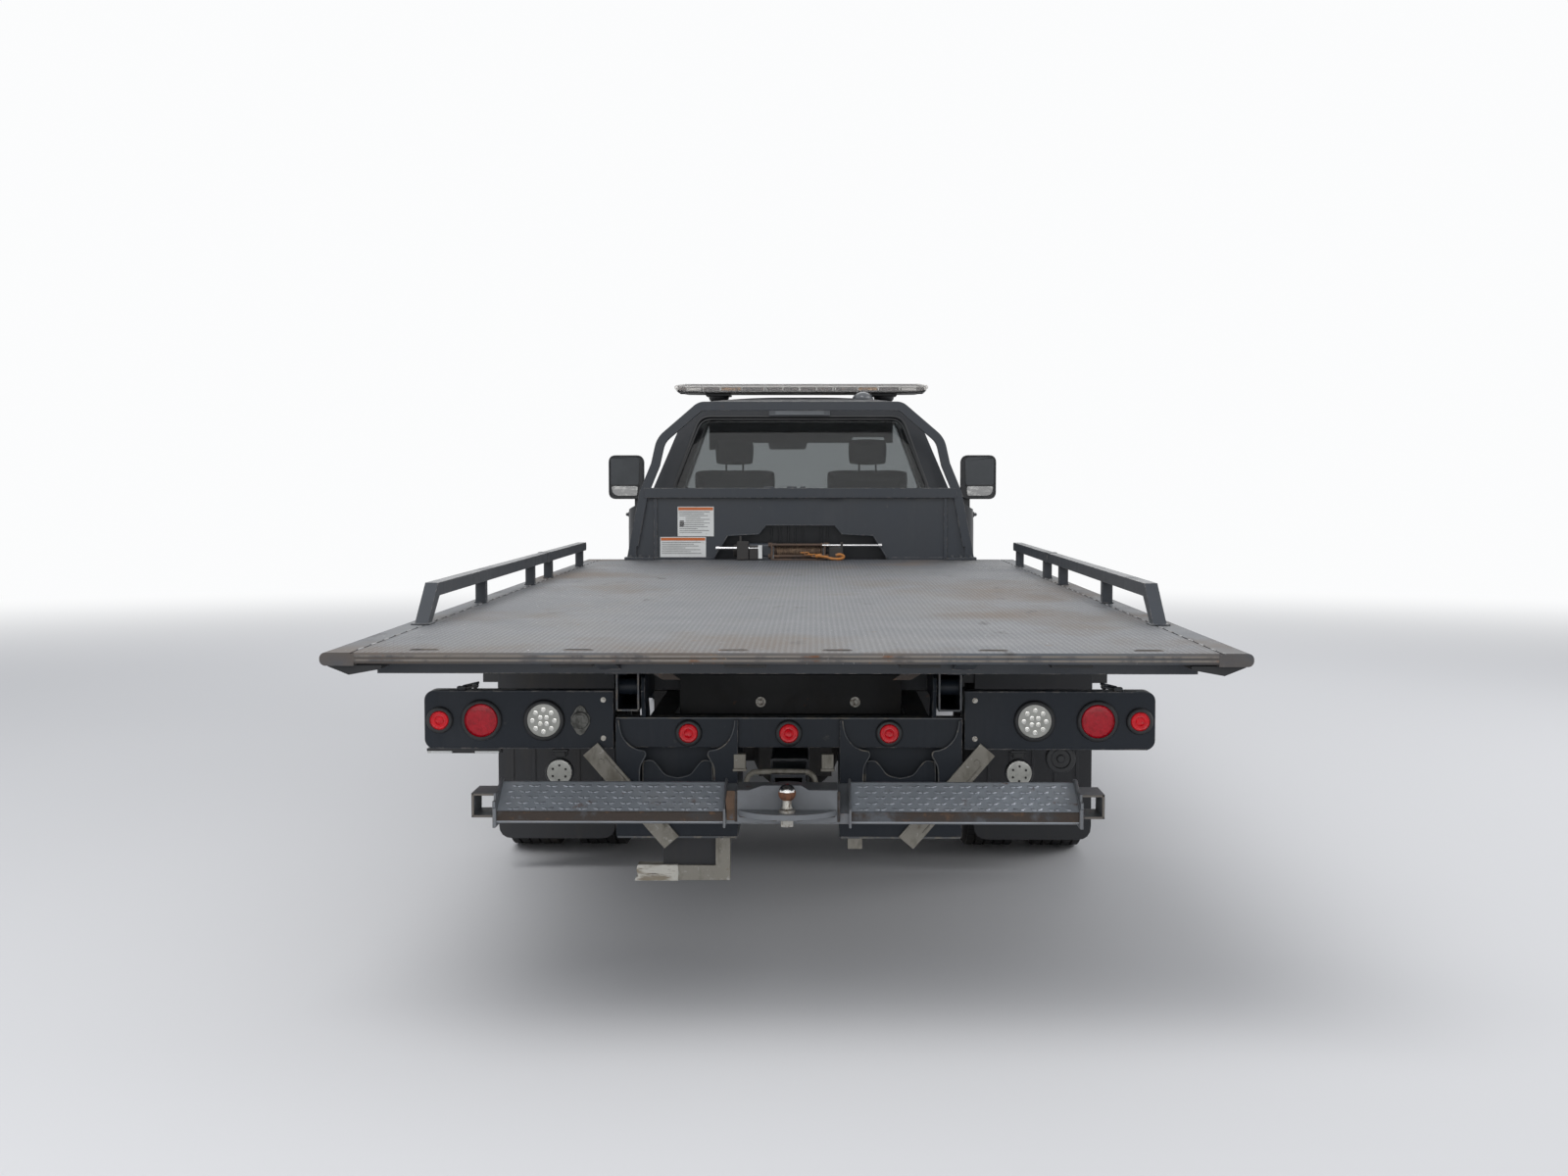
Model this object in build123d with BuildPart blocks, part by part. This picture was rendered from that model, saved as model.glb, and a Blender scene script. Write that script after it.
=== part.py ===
"""A roll-back tow truck: a regular-cab chassis, a tilting and sliding steel
deck with its headboard and winch, and a wheel lift with a step at the tail.

X points right, Y points forward and Z points up. The origin is on the ground
under the middle of the truck. All sizes are in millimetres.
"""

import os
from math import cos, hypot, radians, sin

from build123d import *

os.makedirs("parts", exist_ok=True)

# Overall sizes
deck_length = 5800
cab_gap = 235
cab_to_front_axle = 2165
front_overhang = 970
tail_to_rear_axle = 3000
overall_length = deck_length + cab_gap + cab_to_front_axle + front_overhang
tail = -overall_length / 2
rear_axle_y = tail + tail_to_rear_axle
cab_rear = tail + deck_length + cab_gap
front_axle_y = cab_rear + cab_to_front_axle
nose = front_axle_y + front_overhang

# Running clearances
running_gap = 0.3
moving_gap = 6

# Deck
deck_width = 2438
deck_top = 1080
floor_plate = 6
edge_width = 90
edge_height = 35
sill_centre = 485
sill_width = 60
sill_bottom = 980
crossmember_height = 74
crossmember_pitch = 400
slot_length = 75
slot_width = 32
slot_inset = 80
slot_places = (137, 550, 960)

# Tilt frame, under the deck
tilt_rail_width = 70
tilt_rail_bottom = 836
tilt_rail_height = 137
tilt_rail_wall = 6
tilt_frame_rear = tail + 740
tilt_frame_front = tail + 5500
tilt_pivot_y = tail + 800
tilt_pivot_r = 25

# Chassis rails
frame_width = 864
rail_width = 70
rail_height = 200
rail_top = 800
rail_wall = 8
cab_rail_drop = 100
frame_rear = tail + 850
frame_front = nose - 220

# Wheels and tyres
tyre_radius = 406.5
tyre_width = 225
bead_radius = 250
rim_width = 171
rim_flange = 8
rim_lip = 12
front_track = 1900
dual_centre = 940
dual_spacing = 280
kingpin_x = 800
spindle_r = 35

# Cab
cab_width = 2030
cab_wall = 45
door_thickness = 75
belt_height = 1400
roof_height = 2030
rocker_height = 520
floor_underside = rail_top - cab_rail_drop + 20
glass_thickness = 6

# Tail structure
tail_plane = tail + 780
id_bar_top = 810
id_bar_bottom = 721
id_bar_half = 525

# Wheel lift
boom_pivot_y = tail + 2050
boom_z = 600
boom_size = 120
boom_wall = 8
swivel_y = tail + 640


def block(x, y, z, mode=Mode.ADD):
    """A block from its (low, high) limits along each axis."""
    with Locations(((x[0] + x[1]) / 2, (y[0] + y[1]) / 2, (z[0] + z[1]) / 2)):
        Box(x[1] - x[0], y[1] - y[0], z[1] - z[0], mode=mode)


def save(piece, node):
    piece.part.label = node
    export_step(piece.part, f"parts/{node}.step")


# Chassis frame: two channel rails that step down under the cab
kick = (cab_rear - 185, cab_rear + 15)
rail_bottom = rail_top - rail_height
cab_rail_top = rail_top - cab_rail_drop
cab_rail_bottom = rail_bottom - 80
rail_inside = frame_width / 2 - rail_width
rail_outside = frame_width / 2
rail_web = rail_outside - rail_wall
# y, bottom, top
cross_bars = (
    (tail + 1000, 725, 790),
    (boom_pivot_y, 690, 790),
    (tail + 3600, 690, 790),
    (tail + 4620, 640, 790),
    (tail + 5600, 640, 790),
    (cab_rear + 765, 640, 700),
    (frame_front - 60, 540, 680),
)
cross_bar_width = 60
side_arms = tuple(tail + d for d in (4720, 4940, 5300, 5760))
side_arm_end = 560
side_arm_z = (620, 680)
rest_pad_places = tuple(tail + d for d in (1700, 3000, 4650, 5300))
rest_pad_length = 120
body_mount_places = tuple(tail + d for d in (6200, 7450, 8500))

with BuildPart() as chassis_frame:
    with BuildSketch(Plane.YZ.offset(rail_inside)) as rail_side:
        with BuildLine():
            Polyline(
                (frame_rear, rail_bottom),
                (kick[0], rail_bottom),
                (kick[1], cab_rail_bottom),
                (frame_front, cab_rail_bottom),
                (frame_front, cab_rail_top),
                (kick[1], cab_rail_top),
                (kick[0], rail_top),
                (frame_rear, rail_top),
                close=True,
            )
        make_face()
    extrude(amount=rail_width)
    with BuildSketch(Plane.YZ.offset(rail_inside)):
        add(rail_side.sketch_local)
        offset(amount=-rail_wall, mode=Mode.REPLACE)
    extrude(amount=rail_width - rail_wall, mode=Mode.SUBTRACT)
    for y in side_arms:
        block((rail_outside, side_arm_end), (y, y + 50), side_arm_z)
    for y in body_mount_places[:2]:
        block(
            (rail_inside + 10, rail_outside - 10),
            (y, y + 60),
            (cab_rail_top, floor_underside),
        )
    for y in rest_pad_places:
        block(
            (rail_inside + 10, sill_centre + tilt_rail_width / 2),
            (y, y + rest_pad_length),
            (rail_top, tilt_rail_bottom - running_gap),
        )
    mirror(about=Plane.YZ)
    for y, low, high in cross_bars:
        block((-rail_web, rail_web), (y, y + cross_bar_width), (low, high))

# Engine and gearbox, as one plain block each, and the drive shaft
engine_y = (cab_rear + 1685, cab_rear + 2565)
gearbox_y = (cab_rear + 865, engine_y[0])
axle_nose = rear_axle_y + 190
shaft_seat = 2.7
shaft_start = (gearbox_y[0] - shaft_seat, 575)
shaft_end = (axle_nose + shaft_seat, 430)
shaft_r = 40
joint_r = 58
joint_length = 70

with BuildPart() as engine_block:
    block((-290, 290), engine_y, (540, 1180))
    block((-150, 150), gearbox_y, (500, 700))
    for y in (engine_y[0] + 200, engine_y[1] - 200):
        block((-rail_web, rail_web), (y, y + 70), (600, 640))
save(engine_block, "engine_block")

shaft_run = hypot(shaft_end[0] - shaft_start[0], shaft_end[1] - shaft_start[1])
shaft_plane = Plane(
    origin=(0, *shaft_start),
    x_dir=(1, 0, 0),
    z_dir=(0, shaft_end[0] - shaft_start[0], shaft_end[1] - shaft_start[1]),
)
with BuildPart() as drive_shaft:
    with BuildSketch(shaft_plane):
        Circle(shaft_r)
    extrude(amount=shaft_run)
    for along in (0, shaft_run - joint_length):
        with BuildSketch(shaft_plane.offset(along)):
            Circle(joint_r)
        extrude(amount=joint_length)
save(drive_shaft, "drive_shaft")

# Fuel tank on the left and hydraulic oil tank on the right, on the side arms
tank_y = (tail + 5120, tail + 5940)
tank_x = (side_arm_end + running_gap, 960)
tank_z = (480, 800)
tank_round = 70

with BuildPart() as side_tanks:
    with BuildSketch(Plane.XZ.offset(-tank_y[0])):
        with Locations(((tank_x[0] + tank_x[1]) / 2, (tank_z[0] + tank_z[1]) / 2)):
            RectangleRounded(tank_x[1] - tank_x[0], tank_z[1] - tank_z[0], tank_round)
    extrude(amount=tank_y[0] - tank_y[1])
    mirror(about=Plane.YZ)
save(side_tanks, "side_tanks")

# Toolboxes ahead of the rear wheels, open on the outer side, with drop doors
toolbox_x = (side_arm_end + running_gap, 1150)
toolbox_y = (tail + 3960, tail + 5040)
toolbox_z = (500, 950)
toolbox_wall = 4
toolbox_door = 30

with BuildPart() as toolboxes:
    block(
        (toolbox_x[0], toolbox_x[1] - toolbox_door - running_gap),
        toolbox_y,
        toolbox_z,
    )
    outer_face = faces().sort_by(Axis.X)[-1]
    offset(amount=-toolbox_wall, openings=outer_face)
    mirror(about=Plane.YZ)
save(toolboxes, "toolboxes")

for side, name in ((-1, "left"), (1, "right")):
    with BuildPart() as toolbox_lid:
        with BuildSketch(Plane.YZ.offset(side * (toolbox_x[1] - toolbox_door))):
            with Locations(
                ((toolbox_y[0] + toolbox_y[1]) / 2, (toolbox_z[0] + toolbox_z[1]) / 2)
            ):
                RectangleRounded(
                    toolbox_y[1] - toolbox_y[0], toolbox_z[1] - toolbox_z[0], 12
                )
        extrude(amount=side * toolbox_door)
        with BuildSketch(Plane.YZ.offset(side * toolbox_x[1])):
            with Locations(
                ((toolbox_y[0] + toolbox_y[1]) / 2, (toolbox_z[0] + toolbox_z[1]) / 2)
            ):
                RectangleRounded(160, 90, 10)
        extrude(amount=-side * 12, mode=Mode.SUBTRACT)
    save(toolbox_lid, f"toolbox_lid_{name}")

# Rear axle: tube, differential housing and bearing spindles
axle_z = tyre_radius
axle_tube_r = 60
axle_end = dual_centre - 75
hub_spindle_end = dual_centre + 90
hub_spindle_r = 45

with BuildPart() as rear_axle:
    with BuildSketch(Plane.YZ):
        with Locations((rear_axle_y, axle_z)):
            Circle(axle_tube_r)
    extrude(amount=axle_end, both=True)
    with BuildSketch(Plane.YZ):
        with Locations((rear_axle_y, axle_z)):
            Circle(hub_spindle_r)
    extrude(amount=hub_spindle_end, both=True)
    with Locations((0, rear_axle_y, axle_z)):
        Sphere(185)
    block((-150, 150), (rear_axle_y - 190, rear_axle_y - 120), (axle_z - 95, axle_z + 95))
    block((-70, 70), (rear_axle_y + 150, axle_nose), (axle_z - 40, axle_z + 90))
save(rear_axle, "rear_axle")


def leaf_spring(y, half_length, x, seat_z, eye_z, leaf, count):
    """A pack of curved leaves, each shorter than the one above it."""
    for i in range(count):
        reach = half_length * (1 - 0.22 * i)
        rise = (eye_z - seat_z - count * leaf) * (reach / half_length) ** 2
        top = seat_z + (count - i) * leaf
        with BuildSketch(Plane.YZ.offset(x[0])) as side_view:
            with BuildLine():
                ThreePointArc((y - reach, top + rise), (y, top), (y + reach, top + rise))
                Line((y + reach, top + rise), (y + reach, top + rise - leaf))
                ThreePointArc(
                    (y + reach, top + rise - leaf),
                    (y, top - leaf),
                    (y - reach, top + rise - leaf),
                )
                Line((y - reach, top + rise - leaf), (y - reach, top + rise))
            make_face()
        extrude(side_view.sketch, amount=x[1] - x[0])


# Leaf springs: rear ones outside the rails with their hangers and clamps,
# front ones under the rails
front_beam_r = 45
front_spring_x = (rail_inside, rail_outside)
front_seat_z = axle_z + front_beam_r
spring_x = (465, 535)
spring_half = 650
spring_eye_z = 590
rear_seat_z = axle_z + axle_tube_r
hanger_places = (rear_axle_y - spring_half, rear_axle_y + spring_half)

with BuildPart() as leaf_springs:
    leaf_spring(rear_axle_y, spring_half, spring_x, rear_seat_z, spring_eye_z, 12, 4)
    for y in hanger_places:
        block((rail_outside, spring_x[1] + 5), (y - 30, y + 30), (spring_eye_z - 6, 720))
    block(
        (spring_x[0] - 8, spring_x[1] + 8),
        (rear_axle_y - 70, rear_axle_y + 70),
        (rear_seat_z + 48, rear_seat_z + 66),
    )
    leaf_spring(
        front_axle_y, 560, front_spring_x, front_seat_z, cab_rail_bottom, 10, 2
    )
    mirror(about=Plane.YZ)
save(leaf_springs, "leaf_springs")

# Front axle beam with a yoke at each end that holds the steering knuckle
yoke_x = (kingpin_x - 60, kingpin_x + 40)
yoke_gap = 75
yoke_plate = 16
knuckle_r = 38
kingpin_r = 18
with BuildPart() as front_axle:
    with BuildSketch(Plane.YZ):
        with Locations((front_axle_y, axle_z)):
            Circle(front_beam_r)
    extrude(amount=yoke_x[0], both=True)
    block(
        (yoke_x[0] - 30, yoke_x[0]),
        (front_axle_y - 45, front_axle_y + 45),
        (axle_z - yoke_gap - yoke_plate, axle_z + yoke_gap + yoke_plate),
    )
    for low in (-yoke_gap - yoke_plate, yoke_gap):
        with BuildSketch(Plane.XY.offset(axle_z + low)):
            with Locations(((yoke_x[0] + kingpin_x) / 2, front_axle_y)):
                Rectangle(kingpin_x - yoke_x[0], 80)
            with Locations((kingpin_x, front_axle_y)):
                Circle(40)
                Circle(kingpin_r + running_gap, mode=Mode.SUBTRACT)
        extrude(amount=yoke_plate)
    mirror(about=Plane.YZ)
save(front_axle, "front_axle")

# Steering knuckles: kingpin barrel and wheel spindle
spindle_end = front_track / 2 + 20

for side, name in ((-1, "left"), (1, "right")):
    with BuildPart() as knuckle:
        for radius, half_height in (
            (knuckle_r, yoke_gap - running_gap),
            (kingpin_r, yoke_gap + yoke_plate),
        ):
            with BuildSketch(Plane.XY.offset(axle_z - half_height)):
                with Locations((side * kingpin_x, front_axle_y)):
                    Circle(radius)
            extrude(amount=2 * half_height)
        with BuildSketch(Plane.YZ.offset(side * kingpin_x)):
            with Locations((front_axle_y, axle_z)):
                Circle(spindle_r)
        extrude(amount=side * (spindle_end - kingpin_x))
    save(knuckle, f"knuckle_{name}")


def tyre_ring(centre_x, y):
    """One tyre as a solid ring with bulged sidewalls and a flat tread."""
    half_bead = rim_width / 2 - rim_flange - running_gap
    bead_top = bead_radius + rim_lip + running_gap
    half_bulge = tyre_width / 2
    half_tread = tyre_width / 2 - 18
    shoulder = tyre_radius - 26
    inner = bead_radius + running_gap
    mid = (inner + shoulder) / 2 - 8
    with BuildSketch(Plane.XY.offset(axle_z)) as section:
        with BuildLine():
            Line(
                (centre_x - half_bead, y + inner),
                (centre_x + half_bead, y + inner),
            )
            Line(
                (centre_x + half_bead, y + inner),
                (centre_x + half_bead, y + bead_top),
            )
            ThreePointArc(
                (centre_x + half_bead, y + bead_top),
                (centre_x + half_bulge, y + mid),
                (centre_x + half_bulge - 5, y + shoulder),
            )
            Line(
                (centre_x + half_bulge - 5, y + shoulder),
                (centre_x + half_tread, y + tyre_radius),
            )
            Line(
                (centre_x + half_tread, y + tyre_radius),
                (centre_x - half_tread, y + tyre_radius),
            )
            Line(
                (centre_x - half_tread, y + tyre_radius),
                (centre_x - half_bulge + 5, y + shoulder),
            )
            ThreePointArc(
                (centre_x - half_bulge + 5, y + shoulder),
                (centre_x - half_bulge, y + mid),
                (centre_x - half_bead, y + bead_top),
            )
            Line(
                (centre_x - half_bead, y + bead_top),
                (centre_x - half_bead, y + inner),
            )
        make_face()
    revolve(section.sketch, axis=Axis((0, y, axle_z), (1, 0, 0)))


def rim_ring(centre_x, disc_x, hub_x, y, bore):
    """One pressed wheel: barrel, dished disc with hand holes, and hub.

    centre_x is the middle of the barrel, disc_x the bolting face of the disc,
    and hub_x the (inner, outer) ends of the hub.
    """
    toward = 1 if disc_x > centre_x else -1
    barrel = 10
    disc = 12
    half = rim_width / 2
    dish_x = centre_x + toward * (half - 30)
    with BuildSketch(Plane.XY.offset(axle_z)) as section:
        with Locations((centre_x, y + bead_radius - barrel / 2)):
            Rectangle(rim_width, barrel)
        for end in (-1, 1):
            with Locations(
                (
                    centre_x + end * (half - rim_flange / 2),
                    y + bead_radius + (rim_lip - barrel) / 2,
                )
            ):
                Rectangle(rim_flange, rim_lip + barrel)
        with BuildLine():
            Polyline(
                (dish_x, y + bead_radius - barrel),
                (disc_x, y + 185),
                (disc_x, y + bore),
                (disc_x - toward * disc, y + bore),
                (disc_x - toward * disc, y + 178),
                (dish_x - toward * 16, y + bead_radius - barrel),
                close=True,
            )
        make_face()
        with Locations(((hub_x[0] + hub_x[1]) / 2, y + (bore + 75) / 2)):
            Rectangle(abs(hub_x[1] - hub_x[0]), 75 - bore)
    revolve(section.sketch, axis=Axis((0, y, axle_z), (1, 0, 0)))


hand_holes = 8
hand_hole_r = 26
hand_hole_circle = 155

for side, name in ((-1, "left"), (1, "right")):
    front_x = side * front_track / 2
    with BuildPart() as front_tyre:
        tyre_ring(front_x, front_axle_y)
    save(front_tyre, f"front_tyre_{name}")

    with BuildPart() as front_wheel:
        rim_ring(
            front_x,
            front_x + side * 112,
            (side * (kingpin_x + 48), front_x + side * 128),
            front_axle_y,
            spindle_r + running_gap,
        )
        with BuildSketch(Plane.YZ.offset(front_x)):
            with Locations((front_axle_y, axle_z)):
                with PolarLocations(hand_hole_circle, hand_holes):
                    Circle(hand_hole_r)
        extrude(amount=side * 200, mode=Mode.SUBTRACT)
    save(front_wheel, f"front_wheel_{name}")

    inner_x = side * (dual_centre - dual_spacing / 2)
    outer_x = side * (dual_centre + dual_spacing / 2)
    with BuildPart() as rear_tyres:
        tyre_ring(inner_x, rear_axle_y)
        tyre_ring(outer_x, rear_axle_y)
    save(rear_tyres, f"rear_tyres_{name}")

    with BuildPart() as rear_wheels:
        hub = (side * (axle_end + 6), side * (hub_spindle_end + 20))
        for centre_x in (inner_x, outer_x):
            rim_ring(
                centre_x,
                side * dual_centre,
                hub,
                rear_axle_y,
                hub_spindle_r + running_gap,
            )
        with BuildSketch(Plane.YZ.offset(side * (dual_centre - 40))):
            with Locations((rear_axle_y, axle_z)):
                with PolarLocations(hand_hole_circle, hand_holes):
                    Circle(hand_hole_r)
        extrude(amount=side * 80, mode=Mode.SUBTRACT)
    save(rear_wheels, f"rear_wheels_{name}")

# Cab outline, seen from the side: back wall, roof, windscreen, cowl, firewall
cowl = (cab_rear + 1795, belt_height)
screen_top = (cab_rear + 1075, roof_height - 65)
roof_shoulder_z = roof_height - 55
cab_back_top = (cab_rear + 85, roof_shoulder_z)
firewall_y = cab_rear + 1625
shoulder_half = cab_width / 2
shoulder_z = belt_height - 40
glass_foot = (880, belt_height + 30)
roof_half = 650
roof_round = 200
corner_round = 150
fender_skin = 50
hood_hinge_y = cowl[0] + 18
hood_rear = (hood_hinge_y, belt_height - 14)

with BuildSketch(Plane.YZ) as cab_side:
    with BuildLine():
        Polyline(
            cab_back_top,
            (cab_rear, belt_height - 20),
            (cab_rear, rocker_height),
            (firewall_y, rocker_height),
            (firewall_y, 1180),
            (cowl[0], cowl[1] - 90),
            cowl,
            screen_top,
        )
        ThreePointArc(screen_top, (cab_rear + 525, roof_height), cab_back_top)
    make_face()

with BuildSketch(Plane.XZ) as cab_front:
    with BuildLine():
        Polyline(
            (roof_half, roof_shoulder_z),
            glass_foot,
            (shoulder_half - 6, shoulder_z),
            (shoulder_half, 1250),
            (shoulder_half, 800),
            (shoulder_half - 30, rocker_height),
            (-shoulder_half + 30, rocker_height),
            (-shoulder_half, 800),
            (-shoulder_half, 1250),
            (-shoulder_half + 6, shoulder_z),
            (-glass_foot[0], glass_foot[1]),
            (-roof_half, roof_shoulder_z),
        )
        ThreePointArc(
            (-roof_half, roof_shoulder_z), (0, roof_height), (roof_half, roof_shoulder_z)
        )
    make_face()
    fillet(vertices().group_by(Axis.Y)[-1], roof_round)

with BuildSketch(Plane.XY) as cab_plan:
    with Locations((0, (cab_rear + nose) / 2)):
        Rectangle(2 * shoulder_half, nose - cab_rear)
    fillet(vertices().group_by(Axis.Y)[0], corner_round)

# The side view runs across the cab, the front view along it and the plan up it


def cab_solid(side_inset, front_inset):
    """The cab's outer form, drawn in by one depth for each of its two views."""
    with BuildPart() as form:
        with BuildSketch(Plane.YZ) as side_outline:
            add(cab_side.sketch_local)
            if side_inset:
                offset(amount=-side_inset, mode=Mode.REPLACE)
        extrude(side_outline.sketch, amount=shoulder_half, both=True)
        with BuildSketch(Plane.XZ) as front_outline:
            add(cab_front.sketch_local)
            if front_inset:
                offset(amount=-front_inset, mode=Mode.REPLACE)
        extrude(front_outline.sketch, amount=overall_length, both=True, mode=Mode.INTERSECT)
        with BuildSketch(Plane.XY) as plan_outline:
            add(cab_plan.sketch_local)
            if front_inset:
                offset(amount=-front_inset, mode=Mode.REPLACE)
        extrude(plan_outline.sketch, amount=roof_height + 10, mode=Mode.INTERSECT)
    return form.part


cab_outer = cab_solid(0, 0)
cab_inner = cab_solid(cab_wall, door_thickness)
glass_inset = 16
glass_outer = cab_solid(glass_inset, glass_inset)
glass_inner = cab_solid(glass_inset + glass_thickness, glass_inset + glass_thickness)

# Door, side window, windscreen and rear window outlines
door_gap = 5
door_bottom = 640
door_rear = cab_rear + 250
door_front = cab_rear + 1465
door_top = roof_height - 118
pillar_foot = (door_front, belt_height + 145)
pillar_head = (cab_rear + 1000, roof_height - 126)

with BuildSketch(Plane.YZ) as door_outline:
    with BuildLine():
        Polyline(
            (door_rear, door_bottom),
            (door_front, door_bottom),
            pillar_foot,
            pillar_head,
            (cab_rear + 885, door_top),
            (door_rear + 50, door_top),
            (door_rear, belt_height),
            close=True,
        )
    make_face()
    fillet(vertices(), 40)

window_sill = belt_height + 22
window_frame = 52

with BuildSketch(Plane.YZ) as side_window:
    with BuildLine():
        Polyline(
            (door_rear + window_frame, window_sill),
            (pillar_foot[0] - window_frame, window_sill),
            (pillar_foot[0] - window_frame, pillar_foot[1] - 28),
            (pillar_head[0] - 18, pillar_head[1] - window_frame),
            (door_rear + window_frame + 40, door_top - window_frame),
            close=True,
        )
    make_face()
    fillet(vertices(), 24)

screen_half = (800, 590)
rear_window_half = (755, 590)
screen_z = (belt_height + 40, roof_height - 115)
rear_window_z = (belt_height + 42, roof_height - 130)

with BuildSketch(Plane.XZ) as screen_outline:
    with BuildLine():
        Polyline(
            (-screen_half[0], screen_z[0]),
            (screen_half[0], screen_z[0]),
            (screen_half[1], screen_z[1]),
            (-screen_half[1], screen_z[1]),
            close=True,
        )
    make_face()
    fillet(vertices(), 60)

with BuildSketch(Plane.XZ) as rear_window_outline:
    with BuildLine():
        Polyline(
            (-rear_window_half[0], rear_window_z[0]),
            (rear_window_half[0], rear_window_z[0]),
            (rear_window_half[1], rear_window_z[1]),
            (-rear_window_half[1], rear_window_z[1]),
            close=True,
        )
    make_face()
    fillet(vertices(), 60)

screen_split = cab_rear + 665
floor_inside = floor_underside + cab_wall
rocker_inside = shoulder_half - 135
sill_slant = 25
door_inside = shoulder_half - door_thickness - door_gap - sill_slant
hinge_places = (780, 1240)
hinge_height = 60

# The floor lies above the rails, and the sills hang down beside them
with BuildPart() as cabin:
    add(cab_inner)
    block(
        (-shoulder_half, shoulder_half),
        (cab_rear - 10, nose),
        (0, floor_inside),
        Mode.SUBTRACT,
    )

with BuildPart() as cab_shell:
    add(cab_outer)
    add(cabin.part, mode=Mode.SUBTRACT)
    block(
        (-rocker_inside, rocker_inside),
        (cab_rear - 10, nose),
        (rocker_height - 10, floor_underside),
        Mode.SUBTRACT,
    )
    with BuildSketch(Plane.YZ):
        add(door_outline.sketch_local)
        offset(amount=door_gap, mode=Mode.REPLACE)
    extrude(amount=shoulder_half + 10, both=True, mode=Mode.SUBTRACT)
    block(
        (-door_inside, door_inside),
        (cab_rear + 10, firewall_y - 10),
        (floor_underside, floor_inside),
    )
    for side in (-1, 1):
        block(
            sorted((side * rocker_inside, side * door_inside)),
            (door_rear - 20, door_front + 20),
            (door_bottom - 20, floor_inside),
        )
    with BuildSketch(Plane.XZ.offset(-screen_split)):
        add(screen_outline.sketch_local)
    extrude(amount=-nose, mode=Mode.SUBTRACT)
    with BuildSketch(Plane.XZ.offset(-screen_split)):
        add(rear_window_outline.sketch_local)
    extrude(amount=nose, mode=Mode.SUBTRACT)
    add(cabin.part, mode=Mode.SUBTRACT)
    for side in (-1, 1):
        block(
            sorted((side * (shoulder_half - fender_skin - running_gap), side * (shoulder_half + 1))),
            (door_front + door_gap, nose),
            (rocker_height - 1, hood_rear[1] + 6),
            Mode.SUBTRACT,
        )
        for z in hinge_places:
            block(
                sorted((side * (shoulder_half - 72), side * (shoulder_half - 56))),
                (door_front + running_gap, door_front + 30),
                (z, z + hinge_height),
            )
save(cab_shell, "cab_shell")

# Fixed glass: the windscreen and the rear window
with BuildPart() as cab_glass:
    with BuildSketch(Plane.XZ.offset(-screen_split)):
        add(screen_outline.sketch_local)
        offset(amount=-running_gap, mode=Mode.REPLACE)
    extrude(amount=-nose)
    with BuildSketch(Plane.XZ.offset(-screen_split + 1)):
        add(rear_window_outline.sketch_local)
        offset(amount=-running_gap, mode=Mode.REPLACE)
    extrude(amount=nose)
    add(glass_outer, mode=Mode.INTERSECT)
    add(glass_inner, mode=Mode.SUBTRACT)
save(cab_glass, "cab_glass")

# Doors, cut from the same outer form, each with its window and mirror
mirror_y = (cab_rear + 1290, cab_rear + 1390)
mirror_x = (1030, 1255)
mirror_z = (1410, 1690)
handle_y = (door_rear + 60, door_rear + 240)

for side, name in ((-1, "left"), (1, "right")):
    with BuildPart() as door:
        add(cab_outer)
        add(cab_inner, mode=Mode.SUBTRACT)
        with BuildSketch(Plane.YZ.offset(side * (roof_half - 120))):
            add(door_outline.sketch_local)
        extrude(amount=side * shoulder_half, mode=Mode.INTERSECT)
        with BuildSketch(Plane.YZ):
            add(side_window.sketch_local)
        extrude(amount=side * (shoulder_half + 10), mode=Mode.SUBTRACT)
        with BuildSketch(Plane.YZ.offset(side * (shoulder_half - 12))):
            with Locations(((handle_y[0] + handle_y[1]) / 2, belt_height - 75)):
                SlotOverall(handle_y[1] - handle_y[0], 34)
        extrude(amount=side * 30)
    save(door, f"door_{name}")

    with BuildPart() as door_glass:
        with BuildSketch(Plane.YZ):
            add(side_window.sketch_local)
            offset(amount=-running_gap, mode=Mode.REPLACE)
        extrude(amount=side * (shoulder_half + 10))
        add(glass_outer, mode=Mode.INTERSECT)
        add(glass_inner, mode=Mode.SUBTRACT)
    save(door_glass, f"door_glass_{name}")

    with BuildPart() as door_mirror:
        block(
            sorted(side * x for x in mirror_x),
            mirror_y,
            mirror_z,
        )
        fillet(edges().filter_by(Axis.Y), 45)
        fillet(faces().sort_by(Axis.Y)[-1].edges(), 30)
        block(
            sorted(side * x for x in (shoulder_half - 30, mirror_x[0] + 60)),
            (mirror_y[0] + 20, mirror_y[0] + 80),
            (belt_height - 65, mirror_z[0] + 30),
        )
        add(cab_outer, mode=Mode.SUBTRACT)
    save(door_mirror, f"door_mirror_{name}")

# Front fenders: rounded wing, open wheel arch and a flare over the tyre
fender_y = (door_front + 15, nose - 165)
fender_inner = 745
arch_r = 500
flare_r = 560
flare_reach = 70
hood_middle = (front_axle_y + 250, belt_height - 32)
hood_front = (fender_y[1], belt_height - 115)

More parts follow.
